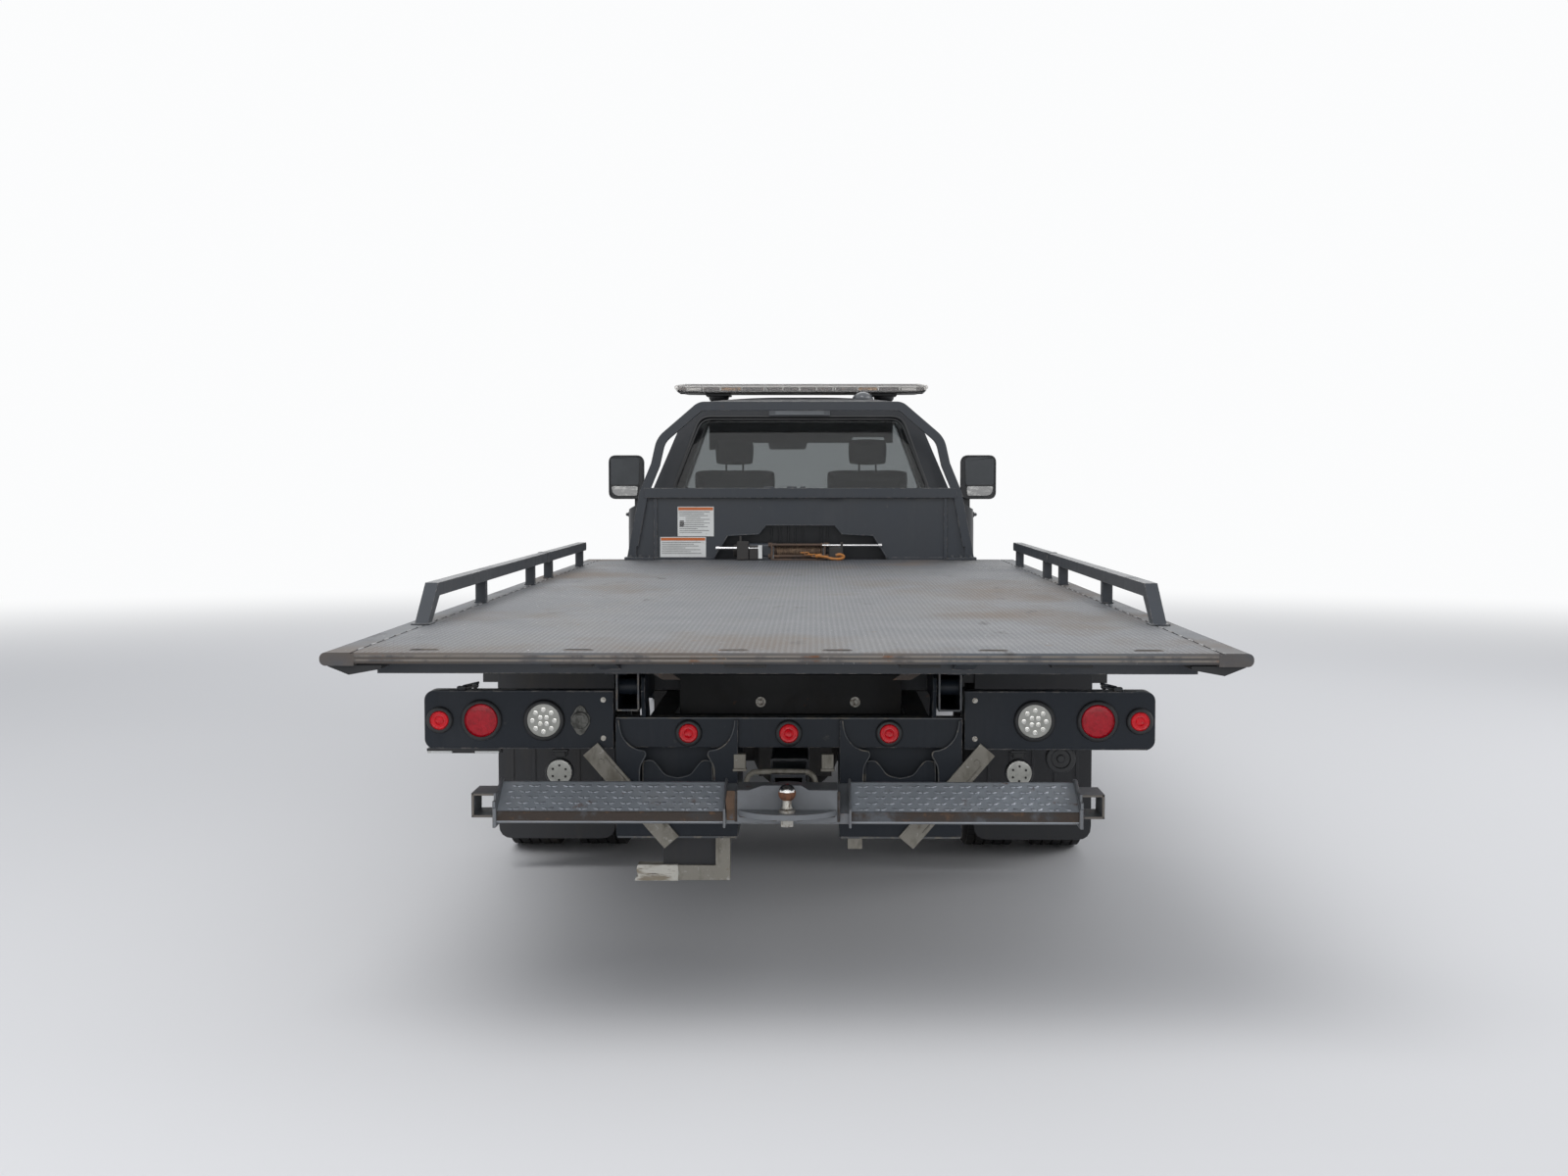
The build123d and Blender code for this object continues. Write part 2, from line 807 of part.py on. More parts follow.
with BuildPart() as front_fenders:
    with BuildSketch(Plane.YZ.offset(fender_inner)) as fender_side:
        with BuildLine():
            Line((fender_y[0], rocker_height + 20), (fender_y[0], hood_rear[1]))
            Line((fender_y[0], hood_rear[1]), hood_rear)
            ThreePointArc(hood_rear, hood_middle, hood_front)
            Line(hood_front, (fender_y[1], 700))
            Line((fender_y[1], 700), (fender_y[1] - 250, rocker_height + 20))
            Line((fender_y[1] - 250, rocker_height + 20), (fender_y[0], rocker_height + 20))
        make_face()
        with Locations((front_axle_y, axle_z)):
            Circle(arch_r, mode=Mode.SUBTRACT)
    extrude(amount=shoulder_half - fender_inner)
    top_edges = edges().filter_by(
        lambda e: e.center().X > shoulder_half - 1 and e.center().Z > 1290
    )
    fillet(top_edges.sort_by(SortBy.LENGTH)[-1], 60)
    with BuildSketch(Plane.YZ.offset(fender_inner)):
        with Locations((0, -fender_skin)):
            add(fender_side.sketch_local)
    extrude(amount=shoulder_half - fender_skin - fender_inner, mode=Mode.SUBTRACT)
    block(
        (fender_inner, shoulder_half - fender_skin),
        (fender_y[0], fender_y[1]),
        (rocker_height, 1180),
        Mode.SUBTRACT,
    )
    with BuildSketch(Plane.YZ.offset(shoulder_half - fender_skin)):
        with Locations((front_axle_y, axle_z)):
            Circle(flare_r)
            Circle(arch_r, mode=Mode.SUBTRACT)
        with Locations((front_axle_y, rocker_height + 30 - flare_r)):
            Rectangle(2.2 * flare_r, 2 * flare_r, mode=Mode.SUBTRACT)
    extrude(amount=fender_skin + flare_reach)
    block(
        (fender_inner, shoulder_half - fender_skin),
        (fender_y[0], hood_hinge_y + 2),
        (rocker_height, 1500),
        Mode.SUBTRACT,
    )
    mirror(about=Plane.YZ)
save(front_fenders, "front_fenders")

# Hood: one crowned panel between the fenders, with a raised centre
hood_half = fender_inner - moving_gap
hood_panel = 30
scoop_half = (430, 330)

with BuildPart() as hood:
    with BuildSketch(Plane.YZ) as hood_side:
        with BuildLine():
            ThreePointArc(hood_rear, hood_middle, hood_front)
            Line(hood_front, (hood_front[0], hood_front[1] - 40))
            ThreePointArc(
                (hood_front[0], hood_front[1] - 40),
                (hood_middle[0], hood_middle[1] - hood_panel),
                (hood_rear[0], hood_rear[1] - hood_panel),
            )
            Line((hood_rear[0], hood_rear[1] - hood_panel), hood_rear)
        make_face()
    extrude(amount=hood_half, both=True)
    with BuildSketch(Plane.YZ):
        with Locations((0, 24)):
            add(hood_side.sketch_local)
    extrude(amount=scoop_half[0], both=True)
    chamfer(
        edges().filter_by(lambda e: abs(e.center().X) > scoop_half[0] - 1).sort_by(Axis.Z)[
            -2:
        ],
        20,
    )
save(hood, "hood")

# Front end: panel with the grille opening, bars, lamps and bumper
front_end_y = (fender_y[1], nose - 115)
grille_half = 560
grille_z = (760, 1210)
front_panel_z = (700, hood_front[1] - 48)
lamp_x = (600, 930)
lamp_z = (960, 1190)
bar_count = 5

with BuildPart() as front_panel:
    with BuildSketch(Plane.XZ.offset(-front_end_y[0])):
        with Locations((0, (front_panel_z[0] + front_panel_z[1]) / 2)):
            RectangleRounded(
                2 * shoulder_half - 50, front_panel_z[1] - front_panel_z[0], 60
            )
        with Locations((0, (grille_z[0] + grille_z[1]) / 2)):
            RectangleRounded(
                2 * grille_half, grille_z[1] - grille_z[0], 30, mode=Mode.SUBTRACT
            )
    extrude(amount=front_end_y[0] - front_end_y[1] + 10)
    for side in (-1, 1):
        block(
            sorted((side * (hood_half - 140), side * (hood_half - 100))),
            (front_end_y[0] - 40, front_end_y[0] + 10),
            (front_panel_z[1] - 60, hood_front[1] - 40 - running_gap),
        )
save(front_panel, "front_panel")

with BuildPart() as grille:
    with BuildSketch(Plane.XZ.offset(-front_end_y[0] - 4)):
        with Locations((0, (grille_z[0] + grille_z[1]) / 2)):
            RectangleRounded(
                2 * grille_half - 1, grille_z[1] - grille_z[0] - 1, 29.5
            )
            RectangleRounded(
                2 * grille_half - 90,
                grille_z[1] - grille_z[0] - 90,
                15,
                mode=Mode.SUBTRACT,
            )
            with GridLocations(0, (grille_z[1] - grille_z[0]) / (bar_count + 1), 1, bar_count):
                Rectangle(2 * grille_half - 60, 26)
            Rectangle(50, grille_z[1] - grille_z[0] - 60)
    extrude(amount=-50)
save(grille, "grille")

with BuildPart() as headlamps:
    with BuildSketch(Plane.XZ.offset(-front_end_y[1] + 10)):
        with Locations(((lamp_x[0] + lamp_x[1]) / 2, (lamp_z[0] + lamp_z[1]) / 2)):
            RectangleRounded(lamp_x[1] - lamp_x[0], lamp_z[1] - lamp_z[0], 45)
    extrude(amount=-45)
    fillet(faces().sort_by(Axis.Y)[-1].edges(), 20)
    mirror(about=Plane.YZ)
save(headlamps, "headlamps")

bumper_z = (440, 690)
bumper_depth = 105
bumper_return = 168

with BuildPart() as front_bumper:
    with BuildSketch(Plane.XY.offset(bumper_z[0])):
        with BuildLine():
            Polyline(
                (-shoulder_half, nose - bumper_return),
                (-shoulder_half, nose - 110),
                (-shoulder_half + 190, nose - 20),
            )
            ThreePointArc(
                (-shoulder_half + 190, nose - 20),
                (0, nose),
                (shoulder_half - 190, nose - 20),
            )
            Polyline(
                (shoulder_half - 190, nose - 20),
                (shoulder_half, nose - 110),
                (shoulder_half, nose - bumper_return),
                (shoulder_half - 60, nose - bumper_return),
                (shoulder_half - 60, nose - bumper_depth - 30),
                (-shoulder_half + 60, nose - bumper_depth - 30),
                (-shoulder_half + 60, nose - bumper_return),
                (-shoulder_half, nose - bumper_return),
            )
        make_face()
    extrude(amount=bumper_z[1] - bumper_z[0])
    fillet(faces().sort_by(Axis.Z)[-1].edges().sort_by(Axis.Y)[-1], 30)
    for side in (-1, 1):
        block(
            sorted((side * (rail_inside + 5), side * (rail_outside - 5))),
            (frame_front, nose - bumper_depth - 30),
            (bumper_z[1] - 150, bumper_z[1] - 20),
        )
save(front_bumper, "front_bumper")

# Seats: driver and passenger, each cushion, back and headrest as one block
seat_x = (130, 660)
seat_y = (cab_rear + 295, cab_rear + 925)
cushion_z = (930, 1080)
back_top = 1600
headrest_top = 1790

with BuildPart() as seats:
    with BuildSketch(Plane.YZ.offset(seat_x[0])):
        with BuildLine():
            Polyline(
                (seat_y[0], cushion_z[0]),
                (seat_y[1], cushion_z[0]),
                (seat_y[1], cushion_z[1]),
                (seat_y[0] + 190, cushion_z[1] - 20),
                (seat_y[0] + 80, back_top),
                (seat_y[0] - 70, back_top),
                (seat_y[0] + 30, cushion_z[1] - 20),
                close=True,
            )
        make_face()
    extrude(amount=seat_x[1] - seat_x[0])
    fillet(edges().filter_by(Axis.X), 28)
    middle = (seat_x[0] + seat_x[1]) / 2
    block(
        (middle - 125, middle + 125),
        (seat_y[0] - 70, seat_y[0] + 40),
        (back_top - 2, headrest_top),
    )
    block(
        (seat_x[0] + 60, seat_x[1] - 60),
        (seat_y[0] + 60, seat_y[1] - 60),
        (floor_inside, cushion_z[0]),
    )
    mirror(about=Plane.YZ)
save(seats, "seats")

# Dashboard and steering wheel
dash_y = (cab_rear + 1235, firewall_y - cab_wall - running_gap)
dash_z = (1010, 1345)
dash_side_gap = 25
wheel_x = -(seat_x[0] + seat_x[1]) / 2
wheel_centre = (wheel_x, cab_rear + 1045, 1235)
wheel_tilt = 28
steering_rim_r = 190
column_length = 280
steering_plane = Plane(
    origin=wheel_centre,
    x_dir=(1, 0, 0),
    z_dir=(0, -cos(radians(wheel_tilt)), sin(radians(wheel_tilt))),
)

with BuildPart() as dashboard:
    with BuildSketch(Plane.YZ):
        with BuildLine():
            Polyline(
                (dash_y[0], dash_z[0]),
                (dash_y[1], dash_z[0]),
                (dash_y[1], dash_z[1]),
                (dash_y[0] + 110, dash_z[1]),
                (dash_y[0] + 30, dash_z[1] - 60),
                close=True,
            )
        make_face()
    extrude(amount=shoulder_half, both=True)
    fillet(edges().filter_by(Axis.X).sort_by(Axis.Y)[:3], 25)
    add(cab_solid(cab_wall + running_gap, door_thickness + dash_side_gap), mode=Mode.INTERSECT)
    with BuildSketch(Plane(steering_plane.origin, steering_plane.z_dir, (1, 0, 0))):
        with Locations((0, steering_rim_r)):
            Circle(14)
    revolve(axis=Axis(steering_plane.origin, steering_plane.z_dir))
    with BuildSketch(steering_plane.offset(-12)):
        Circle(60)
        Rectangle(2 * steering_rim_r - 4, 36)
        with Locations((0, -steering_rim_r / 2)):
            Rectangle(36, steering_rim_r - 4)
    extrude(amount=24)
    with BuildSketch(steering_plane):
        Circle(28)
    extrude(amount=-column_length)
save(dashboard, "dashboard")

# Tilt frame: two open-ended box rails on the pivot pins, with cross tubes
tilt_rail_top = tilt_rail_bottom + tilt_rail_height
pivot_z = tilt_rail_bottom + tilt_rail_height / 2
tilt_cross_places = tuple(tail + d for d in (1300, 2200, 3100, 4000, 4900, 5430))
tilt_cross_size = 60
tilt_cross_z = (tilt_rail_bottom + 2, tilt_rail_bottom + 2 + tilt_cross_size)
tilt_rail_x = (sill_centre - tilt_rail_width / 2, sill_centre + tilt_rail_width / 2)

# Tilt cylinders: lower pin on the chassis, upper eye under the tilt rail
cylinder_foot = (tail + 4500, 480)
cylinder_head = (tail + 3800, 790)
cylinder_x = sill_centre
cylinder_r = 38
cylinder_bore = 31
tilt_rod_r = 20
tilt_eye_r = 32
cylinder_pin_r = 20
tilt_lug_gap = 42
tilt_lug = 8
slide_pad_places = tuple(tail + d for d in (900, 2100, 3300, 4500, 5350))
slide_pad_length = 120

with BuildPart() as tilt_frame:
    with BuildSketch(Plane.XZ.offset(-tilt_frame_rear)):
        with Locations((sill_centre, pivot_z)):
            Rectangle(tilt_rail_width, tilt_rail_height)
            Rectangle(
                tilt_rail_width - 2 * tilt_rail_wall,
                tilt_rail_height - 2 * tilt_rail_wall,
                mode=Mode.SUBTRACT,
            )
    extrude(amount=tilt_frame_rear - tilt_frame_front)
    for lug_side in (-1, 1):
        lug_x = cylinder_x + lug_side * (tilt_lug_gap + tilt_lug) / 2
        with BuildSketch(Plane.YZ.offset(lug_x - tilt_lug / 2)):
            with Locations(cylinder_head):
                Circle(30)
            with Locations((cylinder_head[0], (cylinder_head[1] + tilt_rail_bottom) / 2)):
                Rectangle(60, tilt_rail_bottom - cylinder_head[1])
            with Locations(cylinder_head):
                Circle(cylinder_pin_r, mode=Mode.SUBTRACT)
        extrude(amount=tilt_lug)
    for y in slide_pad_places:
        block(
            (sill_centre - sill_width / 2, sill_centre + sill_width / 2),
            (y, y + slide_pad_length),
            (tilt_rail_top, sill_bottom - running_gap),
        )
    with BuildSketch(Plane.YZ.offset(tilt_rail_x[0] - 1)):
        with Locations((tilt_pivot_y, pivot_z)):
            Circle(tilt_pivot_r + running_gap)
    extrude(amount=tilt_rail_width + 2, mode=Mode.SUBTRACT)
    mirror(about=Plane.YZ)
    for y in tilt_cross_places:
        block(
            (-tilt_rail_x[0], tilt_rail_x[0]),
            (y, y + tilt_cross_size),
            tilt_cross_z,
        )
save(tilt_frame, "tilt_frame")

# Slide cylinder: barrel on the tilt frame, rod eye on a lug under the deck
slide_r = 40
slide_bore = 32
slide_rod_r = 22.5
slide_z = tilt_cross_z[1] + slide_r + running_gap
slide_y = (tail + 1540, tail + 5450)
slide_gland = 45
slide_eye_y = slide_y[0] - 100
slide_eye_r = 30
slide_pin_r = 15
slide_lug = 12
lug_reach = 25
plate_underside = deck_top - floor_plate
crossmember_low = plate_underside - crossmember_height

with BuildPart() as slide_barrel:
    with BuildSketch(Plane.XZ.offset(-slide_y[0])):
        with Locations((0, slide_z)):
            Circle(slide_r)
    extrude(amount=slide_y[0] - slide_y[1])
    with BuildSketch(Plane.XZ.offset(-slide_y[0] - slide_gland)):
        with Locations((0, slide_z)):
            Circle(slide_bore)
    extrude(amount=slide_y[0] - slide_y[1] + 2 * slide_gland, mode=Mode.SUBTRACT)
    with BuildSketch(Plane.XZ.offset(-slide_y[0])):
        with Locations((0, slide_z)):
            Circle(slide_rod_r + running_gap)
    extrude(amount=-slide_gland, mode=Mode.SUBTRACT)
save(slide_barrel, "slide_barrel")

with BuildPart() as slide_rod:
    with BuildSketch(Plane.XZ.offset(-slide_eye_y - 25)):
        with Locations((0, slide_z)):
            Circle(slide_rod_r)
    extrude(amount=slide_eye_y + 25 - slide_y[1] + 60)
    with BuildSketch(Plane.XZ.offset(-slide_y[1] + 100)):
        with Locations((0, slide_z)):
            Circle(slide_bore - running_gap)
    extrude(amount=-50)
    with BuildSketch(Plane.YZ):
        with Locations((slide_eye_y, slide_z)):
            Circle(slide_eye_r)
    extrude(amount=slide_rod_r, both=True)
    with BuildSketch(Plane.YZ):
        with Locations((slide_eye_y, slide_z)):
            Circle(slide_pin_r + running_gap)
    extrude(amount=slide_rod_r, both=True, mode=Mode.SUBTRACT)

# The lug that the rod pushes, under a cross member, is a body of its own
with BuildPart() as slide_lug_body:
    for lug_side in (-1, 1):
        lug_x = lug_side * (slide_rod_r + running_gap + slide_lug / 2)
        with BuildSketch(Plane.YZ.offset(lug_x - slide_lug / 2)):
            with Locations((slide_eye_y, slide_z)):
                Circle(slide_eye_r)
            with Locations((slide_eye_y + lug_reach / 2, (slide_z + crossmember_low) / 2)):
                Rectangle(2 * slide_eye_r + lug_reach, crossmember_low - slide_z)
        extrude(amount=slide_lug)
    with BuildSketch(Plane.YZ.offset(-40)):
        with Locations((slide_eye_y, slide_z)):
            Circle(slide_pin_r)
    extrude(amount=80)
with BuildPart() as slide_rod_set:
    add(slide_rod.part)
    add(slide_lug_body.part)
save(slide_rod_set, "slide_rod")

# Deck frame: two long sills that taper at the tail, and cross members
deck_front = tail + deck_length
cross_reach = deck_width / 2 - edge_width - 4
cross_count = int((deck_length - 300) / crossmember_pitch)
sill_taper = 420
tail_bar = (48, 30)

with BuildPart() as deck_frame:
    with BuildSketch(Plane.YZ.offset(sill_centre - sill_width / 2)):
        with BuildLine():
            Polyline(
                (tail + 60, plate_underside),
                (tail + 60, plate_underside - 25),
                (tail + sill_taper, sill_bottom),
                (deck_front - 5, sill_bottom),
                (deck_front - 5, plate_underside),
                close=True,
            )
        make_face()
    extrude(amount=sill_width)
    mirror(about=Plane.YZ)
    for i in range(cross_count):
        y = tail + 250 + i * crossmember_pitch
        block((-cross_reach, cross_reach), (y, y + 45), (crossmember_low, plate_underside))
save(deck_frame, "deck_frame")

# Deck floor: one plate with a bar along the tail, round-nosed edges along the
# sides and chain slots near the tail
with BuildPart() as deck_floor:
    block(
        (-deck_width / 2 + edge_width, deck_width / 2 - edge_width),
        (tail + tail_bar[0], deck_front),
        (plate_underside, deck_top),
    )
    block(
        (-deck_width / 2 + edge_width, deck_width / 2 - edge_width),
        (tail, tail + tail_bar[0]),
        (deck_top - tail_bar[1], deck_top),
    )
    fillet(faces().sort_by(Axis.Y)[0].edges().filter_by(Axis.X), 8)
    for side in (-1, 1):
        with BuildSketch(Plane.XZ.offset(-tail)):
            with Locations(
                (side * (deck_width - edge_width) / 2, deck_top - edge_height / 2)
            ):
                Rectangle(edge_width, edge_height)
            fillet(
                vertices().group_by(Axis.X)[-1 if side > 0 else 0],
                edge_height * 0.45,
            )
        extrude(amount=-deck_length)
        groove_x = side * (deck_width / 2 - edge_width + 6)
        block(
            (groove_x - 3, groove_x + 3),
            (tail - 1, deck_front + 1),
            (deck_top - 4, deck_top + 1),
            Mode.SUBTRACT,
        )
    with BuildSketch(Plane.XY.offset(deck_top)):
        for x in slot_places:
            with Locations((x, tail + slot_inset), (-x, tail + slot_inset)):
                SlotOverall(slot_length, slot_width)
    extrude(amount=-floor_plate - 1, mode=Mode.SUBTRACT)
save(deck_floor, "deck_floor")

# Side rails: square tube on posts, sloping down to the deck at the tail
side_rail_x = 1150
rail_tube = 42
rail_top_z = deck_top + 122
rail_foot_y = tail + 950
rail_bend_y = tail + 1120
rail_end_y = tail + 5050
post_places = tuple(tail + d for d in (2000, 3200, 3750, 4900))
post_size = 38

with BuildPart() as side_rails:
    with BuildSketch(Plane.YZ.offset(side_rail_x - rail_tube / 2)):
        with BuildLine():
            Polyline(
                (rail_foot_y, deck_top),
                (rail_foot_y + 62, deck_top),
                (rail_bend_y + 22, rail_top_z - rail_tube),
                (rail_end_y, rail_top_z - rail_tube),
                (rail_end_y, rail_top_z),
                (rail_bend_y, rail_top_z),
                close=True,
            )
        make_face()
        fillet(vertices().group_by(Axis.X)[-1], 18)
    extrude(amount=rail_tube)
    for y in post_places:
        block(
            (side_rail_x - post_size / 2, side_rail_x + post_size / 2),
            (y, y + post_size),
            (deck_top, rail_top_z - rail_tube),
        )
    mirror(about=Plane.YZ)
save(side_rails, "side_rails")

# Headboard: a hoop of square tube with a crossbar, over the deck's front edge
hoop_tube = 50
hoop_y = (deck_front - hoop_tube, deck_front)
crossbar_z = (deck_top + 350, deck_top + 406)
# half width, height above the deck
hoop_corners = ((985, 0), (912, 383), (845, 545), (812, 690), (575, 893))

with BuildPart() as headboard_hoop:
    with BuildSketch(Plane.XZ.offset(-hoop_y[0])):
        with BuildLine():
            Polyline(
                *[(x, deck_top + z) for x, z in hoop_corners],
                *[(-x, deck_top + z) for x, z in reversed(hoop_corners)],
                close=True,
            )
        make_face()
        fillet(vertices().group_by(Axis.Y)[-2], 150)
        fillet(vertices().group_by(Axis.Y)[-1], 90)
        offset(amount=-hoop_tube, mode=Mode.SUBTRACT)
        with Locations((0, deck_top + hoop_tube / 2)):
            Rectangle(2 * hoop_corners[0][0] - 2.2 * hoop_tube, 2 * hoop_tube, mode=Mode.SUBTRACT)
        with Locations((0, (crossbar_z[0] + crossbar_z[1]) / 2)):
            Rectangle(1770, crossbar_z[1] - crossbar_z[0])
    extrude(amount=-hoop_tube)

# Headboard sheet with its stepped winch opening, tapered wings and feet
panel_half = 830
panel_sheet = 6
panel_y = deck_front - 30
# half width, height above the deck
winch_opening = ((490, 0), (486, 18), (412, 136), (236, 145), (194, 195))
wing_sheet = 8

with BuildPart() as headboard:
    add(headboard_hoop.part)
    with BuildSketch(Plane.XZ.offset(-panel_y)):
        with Locations((0, (deck_top + crossbar_z[0]) / 2)):
            Rectangle(2 * panel_half, crossbar_z[0] - deck_top)
        with BuildLine():
            Polyline(
                *[(x, deck_top + z) for x, z in winch_opening],
                *[(-x, deck_top + z) for x, z in reversed(winch_opening)],
                close=True,
            )
        make_face(mode=Mode.SUBTRACT)
    extrude(amount=-panel_sheet)
    for side in (-1, 1):
        with BuildSketch(Plane.XZ.offset(-panel_y)):
            with BuildLine():
                Polyline(
                    (side * panel_half, deck_top),
                    (side * (hoop_corners[0][0] - hoop_tube + 5), deck_top),
                    (side * (hoop_corners[1][0] - hoop_tube + 20), crossbar_z[0]),
                    (side * panel_half, crossbar_z[0]),
                    close=True,
                )
            make_face()
        extrude(amount=-wing_sheet)
        block(
            sorted((side * (panel_half - 20), side * (hoop_corners[0][0] - hoop_tube))),
            (panel_y - 60, panel_y),
            (deck_top, deck_top + 10),
        )
save(headboard, "headboard")

# Winch: base angles, gearbox and motor on the deck, and the drum between them
winch_axis = (deck_front - 60, deck_top + 52)
drum_x = (-146, 126)
drum_r = 22
flange_r = 44
flange_plate = 8
cheek = 14
gearbox_x = (-306, drum_x[0] - cheek - 2)
winch_cheek_rise = 42
winch_shaft_r = 14

with BuildPart() as winch_frame:
    for x in (drum_x[0] - cheek - 2, drum_x[1] + 2):
        with BuildSketch(Plane.YZ.offset(x)):
            with BuildLine():
                Polyline(
                    (winch_axis[0] - 75, deck_top),
                    (winch_axis[0] + 55, deck_top),
                    (winch_axis[0] + 40, winch_axis[1] + winch_cheek_rise),
                    (winch_axis[0] - 45, winch_axis[1] + winch_cheek_rise),
                    close=True,
                )
            make_face()
            with Locations(winch_axis):
                Circle(winch_shaft_r + running_gap, mode=Mode.SUBTRACT)
        extrude(amount=cheek)
    with BuildSketch(Plane.YZ.offset(gearbox_x[0])):
        with Locations((winch_axis[0], winch_axis[1])):
            RectangleRounded(96, 84, 16)
    extrude(amount=gearbox_x[1] - gearbox_x[0])
    block(
        (gearbox_x[0] + 10, gearbox_x[1]),
        (winch_axis[0] - 50, winch_axis[0] + 50),
        (deck_top, winch_axis[1] - 35),
    )
    with BuildSketch(Plane.YZ.offset(drum_x[1] + cheek + 2)):
        with Locations(winch_axis):
            Circle(34)
    extrude(amount=92)
    with BuildSketch(Plane.YZ.offset(gearbox_x[1] - 1)):
        with Locations(winch_axis):
            Circle(winch_shaft_r + running_gap)
    extrude(amount=-6, mode=Mode.SUBTRACT)
save(winch_frame, "winch_frame")

with BuildPart() as winch_drum:
    with BuildSketch(Plane.XY.offset(winch_axis[1])):
        with BuildLine():
            Polyline(
                (drum_x[0] - cheek, winch_axis[0]),
                (drum_x[0] - cheek, winch_axis[0] + winch_shaft_r),
                (drum_x[0], winch_axis[0] + winch_shaft_r),
                (drum_x[0], winch_axis[0] + flange_r),
                (drum_x[0] + flange_plate, winch_axis[0] + flange_r),
                (drum_x[0] + flange_plate, winch_axis[0] + drum_r + 8),
                (drum_x[1] - flange_plate, winch_axis[0] + drum_r + 8),
                (drum_x[1] - flange_plate, winch_axis[0] + flange_r),
                (drum_x[1], winch_axis[0] + flange_r),
                (drum_x[1], winch_axis[0] + winch_shaft_r),
                (drum_x[1] + cheek, winch_axis[0] + winch_shaft_r),
                (drum_x[1] + cheek, winch_axis[0]),
                close=True,
            )
        make_face()
    revolve(axis=Axis((0, winch_axis[0], winch_axis[1]), (1, 0, 0)))
save(winch_drum, "winch_drum")

# Light bar on two feet across the cab roof
light_bar_length = 1524
light_bar_y = cab_rear + 525
light_bar_depth = 300
light_bar_z = (roof_height + 24, roof_height + 75)
light_foot_x = 500

with BuildPart() as light_bar:
    with BuildSketch(Plane.XY.offset(light_bar_z[0])):
        with Locations((0, light_bar_y)):
            RectangleRounded(light_bar_length, light_bar_depth, 110)
    extrude(amount=light_bar_z[1] - light_bar_z[0])
    fillet(faces().group_by(Axis.Z)[-1].edges(), 12)
    chamfer(faces().group_by(Axis.Z)[0].edges(), 20)
    for x in (-light_foot_x, light_foot_x):
        block(
            (x - 65, x + 65),
            (light_bar_y - 60, light_bar_y + 60),
            (roof_height - 60, light_bar_z[0]),
        )
    add(cab_outer, mode=Mode.SUBTRACT)
save(light_bar, "light_bar")

# Tilt cylinders: brackets on the rails, barrels and rods on their own line
cylinder_run = hypot(
    cylinder_head[0] - cylinder_foot[0], cylinder_head[1] - cylinder_foot[1]
)
cylinder_eye_width = 50
gland_inset = 85
rod_inset = 120
gland_length = 45
bracket_plate = 10
bracket_web = (75, 120)
barrel_start = 56

with BuildPart() as cylinder_brackets:
    for x in (rail_outside, cylinder_x + cylinder_eye_width / 2 + 5):
        with BuildSketch(Plane.YZ.offset(x)):
            with Locations(cylinder_foot):
                Circle(40)
            with Locations((cylinder_foot[0] + bracket_web[0], cylinder_foot[1] + 60)):
                Rectangle(bracket_web[1], 200)
        extrude(amount=bracket_plate)
    with BuildSketch(Plane.YZ.offset(rail_outside)):
        with Locations(cylinder_foot):
            Circle(cylinder_pin_r)
    extrude(amount=cylinder_x + cylinder_eye_width / 2 + 15 - rail_outside)
    block(
        (rail_outside, cylinder_x + cylinder_eye_width / 2 + 5),
        (cylinder_foot[0] + 90, cylinder_foot[0] + 120),
        (cylinder_foot[1] - 40, cylinder_foot[1] + 160),
    )
    mirror(about=Plane.YZ)

cylinder_line = Plane(
    origin=(cylinder_x, *cylinder_foot),
    x_dir=(1, 0, 0),
    z_dir=(
        0,
        cylinder_head[0] - cylinder_foot[0],
        cylinder_head[1] - cylinder_foot[1],
    ),
)
eye_plane = Plane.YZ.offset(cylinder_x)
barrel_end = cylinder_run - gland_inset

with BuildPart() as tilt_barrels:
    with BuildSketch(cylinder_line.offset(barrel_start)):
        Circle(cylinder_r)
    extrude(amount=barrel_end - barrel_start)
    with BuildSketch(eye_plane):
        with Locations(cylinder_foot):
            Circle(cylinder_r)
    extrude(amount=cylinder_eye_width / 2, both=True)
    with BuildSketch(cylinder_line):
        Rectangle(cylinder_eye_width, 60)
    extrude(amount=60)
    with BuildSketch(eye_plane):
        with Locations(cylinder_foot):
            Circle(cylinder_pin_r + running_gap)
    extrude(amount=cylinder_eye_width, both=True, mode=Mode.SUBTRACT)
    with BuildSketch(cylinder_line.offset(75)):
        Circle(cylinder_bore)
    extrude(amount=barrel_end - 75 - gland_length, mode=Mode.SUBTRACT)
    with BuildSketch(cylinder_line.offset(barrel_end - gland_length - 1)):
        Circle(tilt_rod_r + running_gap)
    extrude(amount=gland_length + 2, mode=Mode.SUBTRACT)
    mirror(about=Plane.YZ)
save(tilt_barrels, "tilt_barrels")

with BuildPart() as tilt_rods:
    with BuildSketch(cylinder_line.offset(rod_inset)):
        Circle(tilt_rod_r)
    extrude(amount=cylinder_run - rod_inset - 20)
    with BuildSketch(cylinder_line.offset(80)):
        Circle(cylinder_bore - running_gap)
    extrude(amount=rod_inset - 75)
    with BuildSketch(eye_plane):
        with Locations(cylinder_head):
            Circle(tilt_eye_r)
    extrude(amount=tilt_lug_gap / 2 - 1, both=True)
    mirror(about=Plane.YZ)
save(tilt_rods, "tilt_rods")

# Tail frame: pivot ears and pins, bar for the middle lamps, and a box on each
# rail end with a bell-shaped opening
ear_x = (rail_outside + 2, rail_outside + 14)
pivot_pin_end = tilt_rail_x[1] + 4
tail_plate = 8
box_half = 185
box_centre = 339
box_z = (450, 806)
box_y = (tail_plane - 14, tail + 1180)
